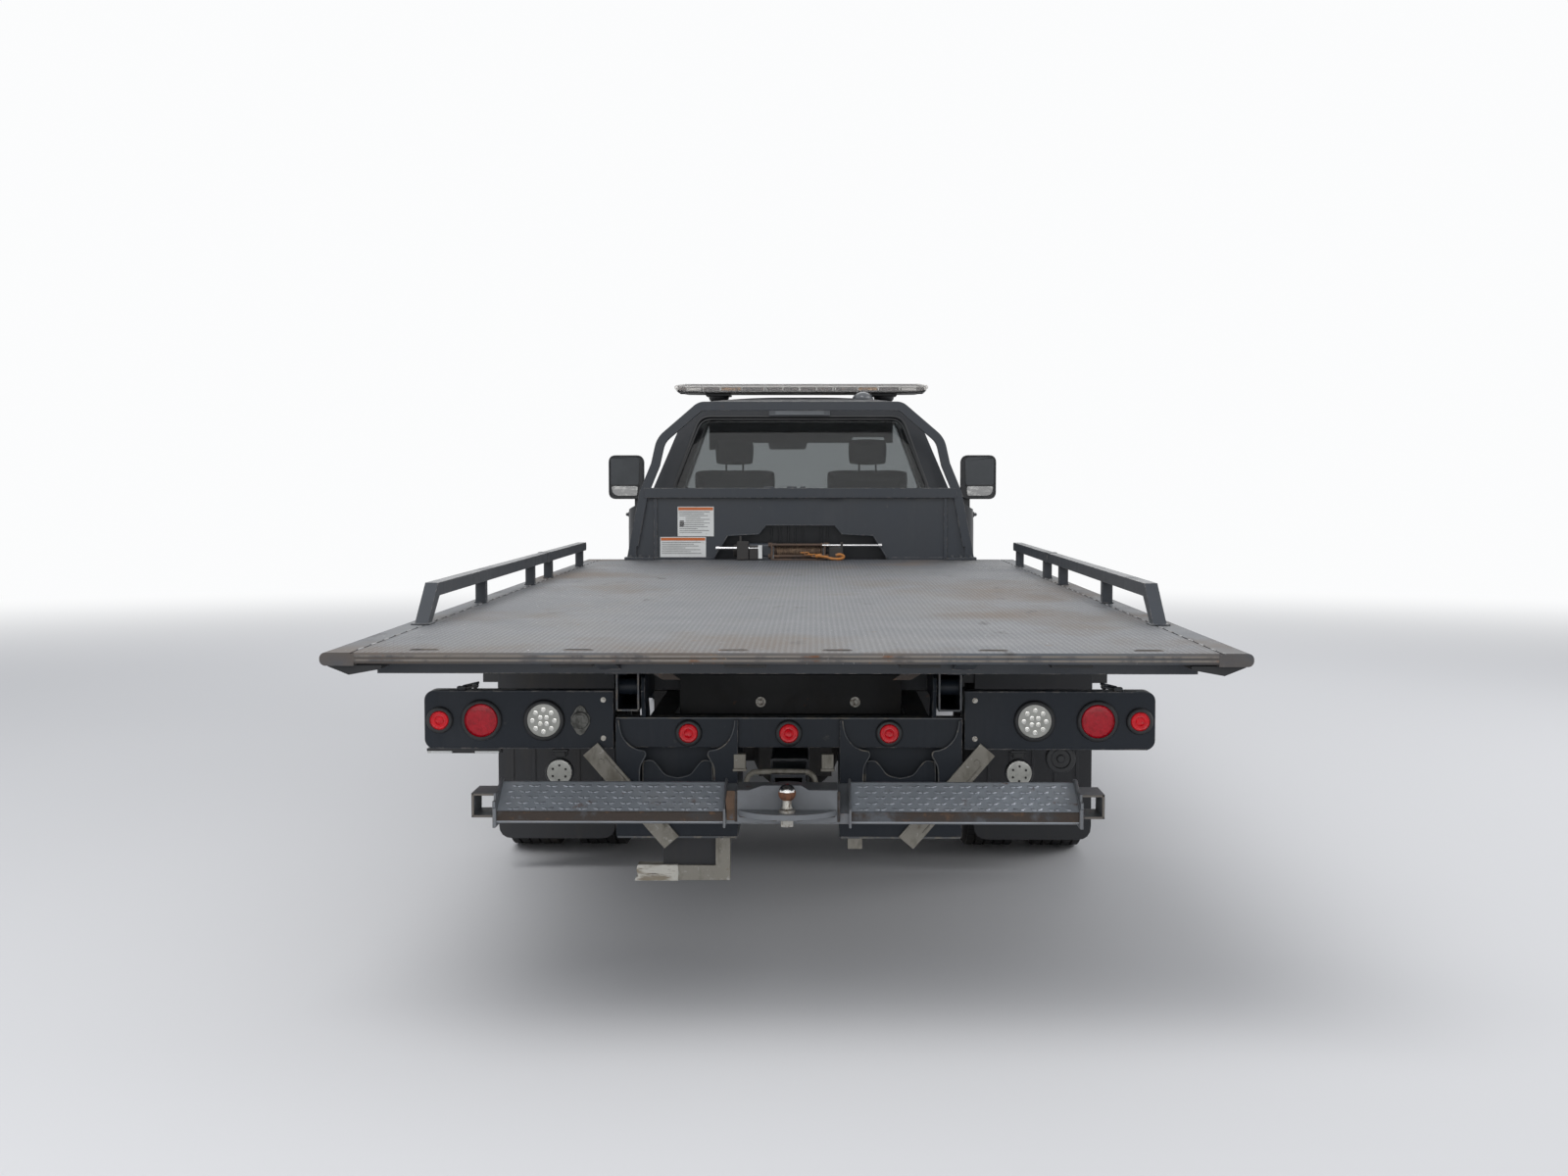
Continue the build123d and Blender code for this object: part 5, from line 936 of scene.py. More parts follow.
# Backup alarm: a round black plastic horn under the right panel
# A steel bracket and one nut hold it
bm = bmesh.new()
lathe(
    bm, (0.827, tail + 0.842, 0.684), (0, -1, 0),
    [
        (0, 0.020), (0.003, 0.044), (0.034, 0.046), (0.038, 0.042), (0.038, 0.030), (0.033, 0.028),
        (0.033, 0.012), (0.040, 0.011), (0.040, 0.001)
    ], 30
)
box(bm, (0.772, 0.872), (tail + 0.806, tail + 0.846), (0.716, 0.724))
box(bm, (0.790, 0.800), (tail + 0.812, tail + 0.838), (0.676, 0.720))
box(bm, (0.854, 0.864), (tail + 0.812, tail + 0.838), (0.676, 0.720))
piece("backup_alarm", bm, "chassis", black_plastic, bevel=0.001, smooth=40)

# Lamp panel fittings: the sprung socket cover, bolts, plate lights, latches
# The panels are folded steel sheet in dark paint, so a rim runs round them
tail_paint = dark_paint.copy()
tail_paint.name = "tail_paint"
dull(tail_paint, 0.22)
paint(tail_paint, "lamp_panels")
bm = bmesh.new()
socket_x, socket_z = -0.632, 0.803
outline = [
    (0.0, 0.046), (0.011, 0.040), (0.029, 0.010), (0.029, -0.010), (0.011, -0.040), (0.0, -0.046),
    (-0.011, -0.040), (-0.029, -0.010), (-0.029, 0.010), (-0.011, 0.040)
]
prism(
    bm, [(socket_x + x, socket_z + z) for x, z in outline], "xz", TAIL_PLANE - 0.006, TAIL_PLANE + 0.002
)
lathe(
    bm, (socket_x, TAIL_PLANE - 0.005, socket_z), (0, -1, 0),
    [(0, 0.0265), (0.006, 0.0265), (0.008, 0.024), (0.0085, 0.002)], 28
)
box(
    bm, (socket_x - 0.013, socket_x + 0.013), (TAIL_PLANE - 0.018, TAIL_PLANE - 0.010),
    (socket_z + 0.010, socket_z + 0.017)
)
box(
    bm, (socket_x - 0.004, socket_x + 0.004), (TAIL_PLANE - 0.0155, TAIL_PLANE - 0.010),
    (socket_z - 0.020, socket_z + 0.012)
)
for z in (-0.036, 0.036):
    rod(
        bm, (socket_x, TAIL_PLANE - 0.0085, socket_z + z), (socket_x, TAIL_PLANE - 0.004, socket_z + z),
        0.0045, 8
    )
socket_metal = finish(
    "socket_metal", (0.13, 0.13, 0.12), 0.5, metal=0.5,
    layers=(((0.06, 0.06, 0.055), 0.7, 60, 0.45, 0.65, EVEN),), bump=((240, 0.0005, EVEN),)
)
piece("panel_socket", bm, "chassis", socket_metal, bevel=0.001)
bright_bolt = finish(
    "bright_bolt", (0.40, 0.39, 0.36), 0.42, metal=0.9,
    layers=(((0.16, 0.12, 0.09), 0.7, 90, 0.5, 0.66, EVEN),), bump=((300, 0.0003, EVEN),)
)
spots = [((side * 0.563, TAIL_PLANE, z), TO_REAR, 0.62) for side in (-1, 1) for z in (0.865, 0.748)]


def bolt_pattern(radius=0.009, height=0.007, washer=0.013):
    """A hexagon head on a washer, facing +Z."""
    bm = bmesh.new()
    rod(bm, (0, 0, -0.001), (0, 0, 0.002), washer, 14)
    rod(bm, (0, 0, 0.002), (0, 0, height), radius, 6)
    rod(bm, (0, 0, height), (0, 0, height + 0.0015), radius * 0.85, 6, radius * 0.7)
    return bm


repeat("panel_bolts", spots, bolt_pattern(), "chassis", bright_bolt)
bm = bmesh.new()
box(bm, (-0.36, 0.36), (tail + 1.200, tail + 1.210), (0.770, 0.900))
piece("tilt_cross_plate", bm, "tilt", black_paint, bevel=0.002)
spots = [((x, tail + 1.199, 0.810), TO_REAR, 1.3) for x in (-0.097, 0.210)]
repeat("cross_plate_bolts", spots, bolt_pattern(), "tilt", bright_bolt)
bm = bmesh.new()
for side in (-1, 1):
    for z in (0.717, 0.891):
        box(
            bm, beside(side, 0.536, 1.085), (TAIL_PLANE - 0.0012, TAIL_PLANE + 0.02),
            (z - 0.002, z + 0.002)
        )
    for y, z in ((0.000, 0.895), (0.012, 0.902)):
        rod(
            bm, (side * 0.995, TAIL_PLANE + 0.020 + y, z),
            (side * 0.945, TAIL_PLANE + 0.020 + y, z + 0.012), 0.004, 8
        )
    box(bm, beside(side, 0.985, 1.010), (TAIL_PLANE + 0.012, TAIL_PLANE + 0.040), (0.893, 0.903))
    lathe(
        bm, (side * 0.955, TAIL_PLANE + 0.026, 0.906), (0, -1, 0),
        [(0, 0.010), (0.006, 0.010), (0.008, 0.006)], 14
    )
piece("panel_latches", bm, "chassis", dark_paint, bevel=0.0008)
bm = bmesh.new()
for x in (-1.098, -0.955):
    box(bm, (x, x + 0.073), (TAIL_PLANE + 0.002, TAIL_PLANE + 0.016), (0.7010, 0.7075))
piece("plate_lights", bm, "chassis", white_label, bevel=0.001)
bm = bmesh.new()
box(bm, (-1.102, -0.876), (TAIL_PLANE + 0.004, TAIL_PLANE + 0.045), (0.7065, 0.7150))
box(bm, (-1.102, -0.876), (TAIL_PLANE + 0.018, TAIL_PLANE + 0.045), (0.6985, 0.7070))
piece("plate_light_holder", bm, "chassis", black_plastic, bevel=0.001)

# Tail frame: welded steel boxes and plates under the deck's rear end
# Worn paint shows as bare rims on the open rails and lips round the boxes
paint(tail_paint, "tail_frame")
bm = bmesh.new()
for side in (-1, 1):
    x0, x1, z0, z1 = side * 0.450, side * 0.520, 0.836, 0.973
    for a, b, c, d in (
        (x0, x1, z0, z0 + 0.005), (x0, x0 + side * 0.005, z0, z1), (x1 - side * 0.005, x1, z0, z1),
        (x0, x1, z1 - 0.005, z1)
    ):
        box(bm, sorted((a, b)), (tail + 0.7385, tail + 0.7405), (c, d))
tail_edge = finish(
    "tail_edge", (0.085, 0.092, 0.100), 0.5, metal=0.3,
    layers=(((0.20, 0.185, 0.16), 0.7, 24, 0.5, 0.62, EVEN), (RUST, 0.85, 9, 0.64, 0.72, EVEN)),
    bump=((150, 0.0004, EVEN),)
)
piece("rail_end_rims", bm, "tilt", tail_edge, bevel=0.0008)
bm = bmesh.new()
bell = [
    (0.176, 0.804), (0.173, 0.780), (0.163, 0.752), (0.143, 0.728), (0.118, 0.715), (0.099, 0.711),
    (0.095, 0.698), (0.105, 0.679), (0.113, 0.656), (0.114, 0.60), (0.114, 0.545)
]
for side in (-1, 1):
    for flip in (-1, 1):
        pipe(
            bm, curve_points([(side * 0.339 + flip * x, tail + 0.7655, z) for x, z in bell], 4), 0.0022,
            6
        )
    box(bm, beside(side, 0.158, 0.520), (tail + 0.763, tail + 0.800), (0.446, 0.452))
    valley = [
        (0.106, 0.56), (0.106, 0.662), (0.096, 0.676), (0.076, 0.676), (0.060, 0.660), (0.038, 0.634),
        (0.0, 0.624)
    ]
    for flip in (-1, 1):
        pipe(
            bm, curve_points([(side * 0.339 + flip * x, tail + 0.7995, z) for x, z in valley], 4),
            0.0020, 6
        )
box(bm, (-0.524, 0.524), (TAIL_PLANE - 0.002, TAIL_PLANE + 0.060), (0.8085, 0.8115))
piece("tail_frame_lips", bm, "chassis", tail_edge)
bm = bmesh.new()
for x in (-0.1486, 0.1177):
    box(bm, (x - 0.018, x + 0.018), (tail + 0.765, tail + 0.80), (0.652, 0.702))
    box(bm, (x - 0.021, x + 0.021), (tail + 0.762, tail + 0.79), (0.650, 0.658))
loop = curve_points(
    [
        (-0.128, tail + 0.74, 0.560), (-0.126, tail + 0.735, 0.625), (-0.112, tail + 0.733, 0.648),
        (-0.085, tail + 0.733, 0.654), (0.04, tail + 0.733, 0.654), (0.066, tail + 0.733, 0.648),
        (0.080, tail + 0.735, 0.625), (0.082, tail + 0.74, 0.560)
    ], 5
)
pipe(bm, loop, 0.0085, 12)
zinc = finish(
    "zinc", (0.27, 0.255, 0.22), 0.6, metal=0.35,
    layers=(
        ((0.17, 0.155, 0.125), 0.8, 22, 0.5, 0.66, (1, 1, 0.4)),
        ((0.42, 0.41, 0.38), 0.5, 60, 0.6, 0.72, EVEN), (RUST, 0.85, 12, 0.66, 0.76, EVEN)
    ), bump=((70, 0.0006, EVEN),), edge=(0.10, 0.08, 0.06), rounding=0.002
)
piece("lift_lock_handle", bm, "chassis", zinc, bevel=0.0015, smooth=50)

# Braces: galvanised steel strips that run down and out from the panels
# One ends in pale peeling paint, beside a hanging dark rubber sheet
paint(zinc, "tail_braces")
bm = bmesh.new()
for side in (-1, 1):
    run = Vector((side * (0.355 - 0.600), 0, 0.434 - 0.718)).normalized()
    across = Vector((-run.z, 0, run.x)) * 0.018
    start = Vector((side * 0.600, tail + 0.7555, 0.718)) + run * 0.05
    end = start + run * 0.27
    pipe(bm, [start + across, end + across], 0.0025, 6)
    rod(bm, start + Vector((0, 0.004, 0)), start + Vector((0, -0.004, 0)), 0.009, 6)
piece("brace_folds", bm, "chassis", zinc)
peeling = finish(
    "peeling", (0.62, 0.60, 0.54), 0.7,
    layers=(
        ((0.30, 0.26, 0.20), 0.85, 20, 0.5, 0.58, (0.35, 1, 2.2)),
        ((0.10, 0.08, 0.07), 0.9, 26, 0.62, 0.70, (0.5, 1, 2))
    ), bump=((60, 0.0012, (0.4, 1, 2)),)
)
bm = bmesh.new()
prism(
    bm,
    [
        (-0.473, 0.3055), (-0.470, 0.314), (-0.461, 0.318), (-0.464, 0.328), (-0.467, 0.340),
        (-0.463, 0.3545), (-0.340, 0.3545), (-0.338, 0.330), (-0.340, 0.3055)
    ], "xz", tail + 0.8065, tail + 0.8580
)
piece("peeling_end", bm, "chassis", peeling, bevel=0.001)
bm = bmesh.new()
box(bm, (-0.385, -0.223), (tail + 0.822, tail + 0.832), (0.352, 0.452))
flap_rubber = finish(
    "flap_rubber", (0.034, 0.035, 0.038), 0.75,
    layers=(((0.07, 0.063, 0.055), 0.95, 4, 0.5, 0.8, FALLING),), bump=((200, 0.0003, EVEN),)
)
piece("hanger_sheet", bm, "chassis", flap_rubber, bevel=0.001)

# Step: two sloping steel treads on the wheel lift's crossbar
# One raised bar is drawn and copied over both slopes, leaning left and right
# in turn, and each front rim is worn to rust
# The treads' grey is real paint, but its tone is raised far above the step's other plates as painted
# light, making up for the shade the deck casts on the treads
step_paint_lit = finish(
    "step_paint_lit", (0.365, 0.395, 0.430), 0.45,
    layers=(((0.43, 0.445, 0.465), 0.6, 6, 0.5, 0.75, EVEN), (RUST, 0.85, 14, 0.62, 0.72, EVEN)),
    bump=((120, 0.0003, EVEN),), edge=(0.22, 0.20, 0.19), rounding=0.003
)
paint(step_paint_lit, "step_treads")
step_dark = finish(
    "step_dark", (0.175, 0.186, 0.200), 0.48,
    layers=(((0.15, 0.155, 0.165), 0.6, 6, 0.5, 0.75, EVEN), (RUST, 0.85, 14, 0.64, 0.74, EVEN)),
    bump=((120, 0.0003, EVEN),), edge=(0.20, 0.18, 0.17), rounding=0.003
)
paint(step_dark, "lift_crossbar")
paint(dark_paint, "lift_boom", "lift_extension")
treads = []
slope_low, slope_high = Vector((0, tail + 0.446, 0.582)), Vector((0, tail + 0.569, 0.648))
lean = math.atan2(slope_high.z - slope_low.z, slope_high.y - slope_low.y)
slope_normal = Vector((0, -math.sin(lean), math.cos(lean)))
for side in (-1, 1):
    for i in range(25):
        for j in range(5):
            x = side * (0.205 + 0.0248 * i)
            spot = slope_low.lerp(
                slope_high, 0.12 + 0.19 * j
            ) + Vector((x, 0, 0)) - slope_normal * 0.0006
            twist = math.radians(46 if (i + j) % 2 else -46)
            treads.append((tuple(spot), (lean, 0, twist), 1.0))
bm = bmesh.new()
lathe(bm, (0, 0, 0), (0, 0, 1), [(-0.001, 0.5), (0.0006, 0.46), (0.0018, 0.30), (0.0024, 0.05)], 10)
for v in bm.verts:
    v.co = Vector((v.co.x * 0.031, v.co.y * 0.0095, v.co.z * 1.25))
# The bars' pale tone is a painted highlight, standing in for the light that catches their raised tops
tread_bar_highlight = finish(
    "tread_bar_highlight", (0.43, 0.46, 0.50), 0.38, metal=0.25,
    layers=(((0.26, 0.28, 0.31), 0.5, 22, 0.5, 0.62, EVEN),), bump=((300, 0.0002, EVEN),)
)
repeat("step_tread_bars", treads, bm, "crossbar", tread_bar_highlight)
rim_rust = finish(
    "rim_rust", (0.060, 0.046, 0.038), 0.85, metal=0.1,
    layers=(
        ((0.045, 0.042, 0.042), 0.7, 16, 0.5, 0.62, (0.6, 1, 1.5)),
        ((0.13, 0.078, 0.048), 0.9, 30, 0.60, 0.72, EVEN),
        ((0.09, 0.098, 0.11), 0.6, 7, 0.56, 0.66, EVEN)
    ), bump=((90, 0.0010, EVEN), (320, 0.0004, EVEN))
)
bm = bmesh.new()
for side in (-1, 1):
    box(bm, beside(side, 0.178, 0.838), (tail + 0.4440, tail + 0.4470), (0.5555, 0.5800))
    pipe(bm, [(side * 0.182, tail + 0.4465, 0.5815), (side * 0.836, tail + 0.4465, 0.5815)], 0.0030, 6)
piece("step_rims", bm, "crossbar", rim_rust, bevel=0.0008)

# Step ends: upright steel plates welded across the ends of the treads
# Outside them are the hollow square sockets for the wheel arms
bm = bmesh.new()
for side in (-1, 1):
    for x, wide in ((side * 0.180, 0.007), (side * 0.838, 0.010)):
        prism(
            bm,
            [
                (tail + 0.434, 0.538), (tail + 0.434, 0.592), (tail + 0.462, 0.612),
                (tail + 0.560, 0.658), (tail + 0.585, 0.658), (tail + 0.585, 0.538)
            ], "yz", x - wide / 2, x + wide / 2
        )
piece("step_end_plates", bm, "crossbar", step_dark, bevel=0.002)
bm = bmesh.new()
for side in (-1, 1):
    x0, x1, z0, z1 = side * 0.842, side * 0.905, 0.5645, 0.6335
    for a, b, c, d in (
        (x0, x1, z0, z0 + 0.0065), (x1 - side * 0.0065, x1, z0, z1), (x0, x1, z1 - 0.0065, z1)
    ):
        box(bm, sorted((a, b)), (tail + 0.4485, tail + 0.4520), (c, d))
piece("socket_rims", bm, "crossbar", bare_edge, bevel=0.0015)

# Middle of the step: a plain steel cover with a raised flat
# It is welded between the treads, with rust on the strip beside it
bm = bmesh.new()
prism(
    bm,
    [
        (-0.145, 0.5520), (-0.145, 0.646), (-0.112, 0.646), (-0.070, 0.660), (0.040, 0.660),
        (0.062, 0.646), (0.145, 0.646), (0.145, 0.5520), (0.05, 0.5520), (-0.05, 0.5520)
    ], "xz", tail + 0.443, tail + 0.452
)
box(bm, (-0.145, 0.145), (tail + 0.445, tail + 0.583), (0.640, 0.6475))
piece("step_middle_cover", bm, "crossbar", step_dark, bevel=0.003)
strip_rust = finish(
    "strip_rust", (0.135, 0.082, 0.052), 0.85,
    layers=(
        ((0.10, 0.066, 0.045), 0.9, 34, 0.45, 0.6, EVEN),
        ((0.08, 0.088, 0.10), 0.6, 15, 0.62, 0.70, EVEN)
    ), bump=((120, 0.0010, EVEN),)
)
bm = bmesh.new()
prism(
    bm,
    [
        (-0.173, 0.560), (-0.176, 0.618), (-0.172, 0.645), (-0.150, 0.645), (-0.147, 0.610),
        (-0.150, 0.560)
    ], "xz", tail + 0.4405, tail + 0.4445
)
piece("step_rust_strip", bm, "crossbar", strip_rust, bevel=0.001)
bm = bmesh.new()
for side in (-1, 1):
    pipe(
        bm,
        [
            (side * 0.147, tail + 0.443, 0.556), (side * 0.1475, tail + 0.4425, 0.600),
            (side * 0.147, tail + 0.443, 0.643)
        ], 0.004, 8
    )
    pipe(
        bm,
        curve_points(
            [
                (side * 0.135, tail + 0.444, 0.5730), (side * 0.070, tail + 0.398, 0.5745),
                (side * 0.03, tail + 0.365, 0.5750)
            ], 5
        ), 0.0045, 8
    )
piece("step_weld_beads", bm, "crossbar", rim_rust, smooth=60)

# Hitch ball: a plated steel ball, 50 mm across, over a rusty waist
# Its shank goes through the crossbar to a washer and nut below
paint(bright_steel, "hitch_ball")
ball_metal = finish(
    "ball_metal", (0.72, 0.72, 0.71), 0.12, metal=1.0,
    layers=(((0.26, 0.13, 0.07), 0.75, 24, 0.60, 0.66, (1, 1, 0.8)),), bump=((220, 0.0002, EVEN),)
)
ball_rust = finish(
    "ball_rust", (0.20, 0.085, 0.045), 0.7, metal=0.4,
    layers=(((0.10, 0.05, 0.035), 0.8, 60, 0.5, 0.7, EVEN),), bump=((260, 0.0005, EVEN),)
)
ball_y, ball_z = tail + 0.398, 0.646
bm = bmesh.new()
top = [(0.025 * math.sin(a), 0.025 * math.cos(a)) for a in [math.radians(d) for d in range(6, 90, 12)]]
lathe(
    bm, (0, ball_y, ball_z), (0, 0, 1), [(0.0005 + s, c) for s, c in top if c > 0.002]
    + [(0.0249, 0.0008)], 36
)
piece("hitch_ball_top", bm, "crossbar", ball_metal, smooth=70)
bm = bmesh.new()
lathe(
    bm, (0, ball_y, ball_z), (0, 0, 1),
    [(-0.0205, 0.0140), (-0.0165, 0.0188), (-0.0110, 0.0225), (-0.004, 0.0248), (0.0042, 0.0250)], 36
)
ball_low = piece("hitch_ball_waist", bm, "crossbar", ball_rust, smooth=70)
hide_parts("hitch_ball")
bm = bmesh.new()
lathe(
    bm, (0, ball_y, 0.590), (0, 0, 1),
    [(0, 0.0235), (0.008, 0.0235), (0.0095, 0.0215), (0.012, 0.0165), (0.020, 0.0138), (0.036, 0.0138)],
    32
)
rod(bm, (0, ball_y, 0.5745), (0, ball_y, 0.571), 0.0215, 28)
rod(bm, (0, ball_y, 0.571), (0, ball_y, 0.551), 0.0200, 6)
rod(bm, (0, ball_y, 0.551), (0, ball_y, 0.5505), 0.0120, 20)
piece("hitch_ball_shank", bm, "crossbar", bright_bolt, bevel=0.0008, smooth=40)

# Under the deck's tail: the tilt frame with its cylinders
# Two rusty slanted straps show under the deck
paint(dark_paint, "tilt_frame")
paint(black_paint, "tilt_barrels", "slide_barrel")
paint(bright_steel, "tilt_rods", "slide_rod")
bm = bmesh.new()
for side in (-1, 1):
    a, b = Vector((side * 0.425, tail + 0.32, 1.046)), Vector((side * 0.320, tail + 0.34, 0.976))
    wide = Vector((0.030, 0, 0.0))
    prism(
        bm, [(a.x - 0.030, a.z), (a.x + 0.030, a.z), (b.x + 0.026, b.z), (b.x - 0.026, b.z)], "xz", tail
        + 0.32, tail + 0.328
    )
piece("tail_straps", bm, "deck", rim_rust, bevel=0.001)

# Wiring and hoses: thin black rubber lines behind the lamp panels
bm = bmesh.new()
for side in (-1, 1):
    pipe(
        bm,
        curve_points(
            [
                (side * 0.743, tail + 0.84, 0.80), (side * 0.70, tail + 0.90, 0.77),
                (side * 0.62, tail + 0.95, 0.755), (side * 0.52, tail + 1.00, 0.760),
                (side * 0.45, tail + 1.05, 0.76)
            ], 5
        ), 0.006, 8
    )
    pipe(
        bm,
        curve_points(
            [
                (side * 1.0, tail + 0.842, 0.82), (side * 0.95, tail + 0.885, 0.79),
                (side * 0.80, tail + 0.90, 0.775), (side * 0.62, tail + 0.955, 0.765)
            ], 5
        ), 0.005, 8
    )
piece("lamp_wiring", bm, "chassis", flap_rubber, smooth=60)

# Light bar: a clear plastic shell over dark, amber and white modules
# It stands across the cab's roof on two black feet
paint(clear_lens, "light_bar")
BAR_Y = tail + 6.56
bm = bmesh.new()
outline = [
    (-0.752, 2.067), (-0.742, 2.061), (-0.690, 2.0525), (-0.552, 2.051), (0.552, 2.051),
    (0.690, 2.0525), (0.742, 2.061), (0.752, 2.067)
]
prism(bm, outline, "xz", BAR_Y - 0.142, BAR_Y + 0.142)
box(bm, (-0.735, 0.735), (BAR_Y - 0.020, BAR_Y + 0.020), (2.052, 2.088))
bar_base = piece("light_bar_base", bm, "chassis", black_plastic, bevel=0.004)
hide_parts("light_bar")
dark_module = finish(
    "dark_module", (0.045, 0.034, 0.034), 0.3, metal=0.3,
    layers=(((0.13, 0.085, 0.07), 0.3, 60, 0.52, 0.62, (1, 1, 0.3)),),
    bump=((500, 0.0006, (1, 1, 0.2)),)
)
amber_module = finish(
    "amber_module", (0.30, 0.16, 0.05), 0.3, metal=0.3,
    layers=(((0.12, 0.06, 0.03), 0.3, 60, 0.5, 0.62, (1, 1, 0.3)),), bump=((500, 0.0006, (1, 1, 0.2)),)
)
bar_lens = clear_finish("bar_lens", (0.80, 0.77, 0.75), 0.02, 0.93)
bar_top = finish("bar_top", (0.30, 0.31, 0.32), 0.35, coat=0.3)
white_module = finish(
    "white_module", (0.62, 0.62, 0.60), 0.35, layers=(((0.45, 0.44, 0.42), 0.4, 60, 0.55, 0.7, EVEN),)
)

# Start and end of each module across the bar, and which finish it has
modules = (
    (-0.735, -0.690, "dark"), (-0.585, -0.492, "dark"), (-0.478, -0.362, "amber"),
    (-0.350, -0.228, "dark"), (-0.205, -0.116, "dark"), (-0.104, -0.018, "dark"),
    (-0.002, 0.086, "dark"), (0.098, 0.186, "dark"), (0.210, 0.332, "dark"), (0.344, 0.456, "amber"),
    (0.470, 0.585, "dark"), (0.690, 0.735, "dark")
)
for tone, material in (("dark", dark_module), ("amber", amber_module)):
    bm = bmesh.new()
    for low, high, kind in modules:
        if kind == tone:
            for face in (-1, 1):
                box(
                    bm, (low, high), sorted((BAR_Y + face * 0.100, BAR_Y + face * 0.122)),
                    (2.062, 2.085)
                )
                for i in range(3):
                    x = low + (high - low) * (0.2 + 0.3 * i)
                    rod(
                        bm, (x, BAR_Y + face * 0.121, 2.0735), (x, BAR_Y + face * 0.1255, 2.0735),
                        0.009, 12, 0.006
                    )
    piece("bar_modules_" + tone, bm, "chassis", material, bevel=0.001)
bm = bmesh.new()
for low, high, kind in modules:
    for x in (low - 0.008, high + 0.002):
        box(bm, (x, x + 0.006), (BAR_Y - 0.124, BAR_Y + 0.124), (2.058, 2.088))
for side in (-1, 1):
    prism(
        bm,
        [(side * 0.680, 2.063), (side * 0.600, 2.063), (side * 0.602, 2.084), (side * 0.680, 2.084)],
        "xz", BAR_Y - 0.122, BAR_Y - 0.100
    )
box(bm, (-0.735, 0.735), (BAR_Y - 0.118, BAR_Y + 0.118), (2.0865, 2.091))
piece("bar_dividers", bm, "chassis", white_module, bevel=0.0008)
bm = bmesh.new()
shell = [
    (-0.7615, 2.084), (-0.750, 2.070), (-0.700, 2.0565), (-0.560, 2.0535), (0.560, 2.0535),
    (0.700, 2.0565), (0.750, 2.070), (0.7615, 2.084), (0.755, 2.098), (0.700, 2.105), (-0.700, 2.105),
    (-0.755, 2.098)
]
prism(bm, shell, "xz", BAR_Y - 0.148, BAR_Y + 0.148)
piece("bar_shell", bm, "chassis", bar_lens, bevel=0.006, segments=3)
bm = bmesh.new()
box(bm, (-0.700, 0.700), (BAR_Y - 0.132, BAR_Y + 0.132), (2.1035, 2.1062))
piece("bar_top", bm, "chassis", bar_top, bevel=0.002)
bm = bmesh.new()
for side in (-1, 1):
    x = side * 0.500
    lathe(
        bm, (x, BAR_Y, 1.973), (0, 0, 1),
        [
            (-0.010, 0.062), (0.006, 0.060), (0.012, 0.040), (0.028, 0.034), (0.036, 0.050),
            (0.044, 0.058), (0.058, 0.062), (0.072, 0.064)
        ], 28
    )
    box(bm, (x - 0.075, x + 0.075), (BAR_Y - 0.08, BAR_Y + 0.08), (2.036, 2.054))
    box(bm, (x - 0.058, x + 0.058), (BAR_Y - 0.05, BAR_Y + 0.05), (1.972, 1.992))
piece("bar_feet", bm, "chassis", black_plastic, bevel=0.003)
bm = bmesh.new()
bmesh.ops.create_uvsphere(bm, u_segments=28, v_segments=14, radius=1)
for v in bm.verts:
    v.co = Vector(
        (
            0.368 + 0.066 * v.co.x, tail + 6.40 + 0.090 * v.co.y - 0.03 * max(0, v.co.z), 2.000
            + 0.058 * max(-0.2, v.co.z)
        )
    )
grey_dome = finish(
    "grey_dome", (0.10, 0.11, 0.12), 0.3, layers=(((0.075, 0.08, 0.09), 0.4, 12, 0.4, 0.7, EVEN),),
    coat=0.4
)
piece("roof_antenna", bm, "chassis", grey_dome, smooth=60)

# Cab shell and its back: painted steel sheet with pressed ribs
# The high lamp sits over the window, which has a black rubber seal
cab_paint = finish(
    "cab_paint", (0.020, 0.022, 0.026), 0.42, metal=0.2,
    layers=(((0.040, 0.040, 0.042), 0.55, 3, 0.6, 0.9, FALLING),), bump=((900, 0.00002, EVEN),),
    rounding=0.004, coat=0.12
)
dull(cab_paint, 0.32)
paint(cab_paint, "cab_shell")
window_glass = clear_finish("window_glass", (0.38, 0.40, 0.405), 0.010, 0.985)
dull(window_glass, 0.14)
paint(window_glass, "cab_glass")
CAB_BACK = tail + 6.035
bm = bmesh.new()
for x in (-0.170, -0.120, -0.070, -0.030, 0.012, 0.120, 0.158):
    box(bm, (x - 0.007, x + 0.007), (CAB_BACK - 0.005, CAB_BACK + 0.004), (1.02, 1.31))
piece("cab_back_ribs", bm, "chassis", cab_paint, bevel=0.003)


def back_y(z):
    """Where the cab's back face lies at a height."""
    return CAB_BACK if z < 1.38 else CAB_BACK + (z - 1.38) / (1.975 - 1.38) * 0.085


grey_lens = finish("grey_lens", (0.13, 0.14, 0.15), 0.25, coat=0.3)
lamp_grey = finish("lamp_grey", (0.075, 0.080, 0.088), 0.45)
bm = bmesh.new()
box(bm, (-0.186, 0.170), (back_y(1.93) - 0.016, back_y(1.93) + 0.03), (1.903, 1.938))
piece("high_lamp_housing", bm, "chassis", lamp_grey, bevel=0.004)
bm = bmesh.new()
box(bm, (-0.150, 0.134), (back_y(1.92) - 0.0175, back_y(1.92) - 0.010), (1.910, 1.931))
piece("high_lamp_lens", bm, "chassis", grey_lens, bevel=0.002)
bm = bmesh.new()
corners = [(-0.755, 1.442), (0.755, 1.442), (0.590, 1.900), (-0.590, 1.900)]


def rounded(outline, radius, steps=5):
    """An outline with its corners rounded off."""
    made = []
    count = len(outline)
    for i in range(count):
        before, at, after = (Vector(outline[(i + k) % count]) for k in (-1, 0, 1))
        a = at + (before - at).normalized() * radius
        b = at + (after - at).normalized() * radius
        for k in range(steps + 1):
            t = k / steps
            made.append(tuple(a.lerp(at, t).lerp(at.lerp(b, t), t)))
    return made


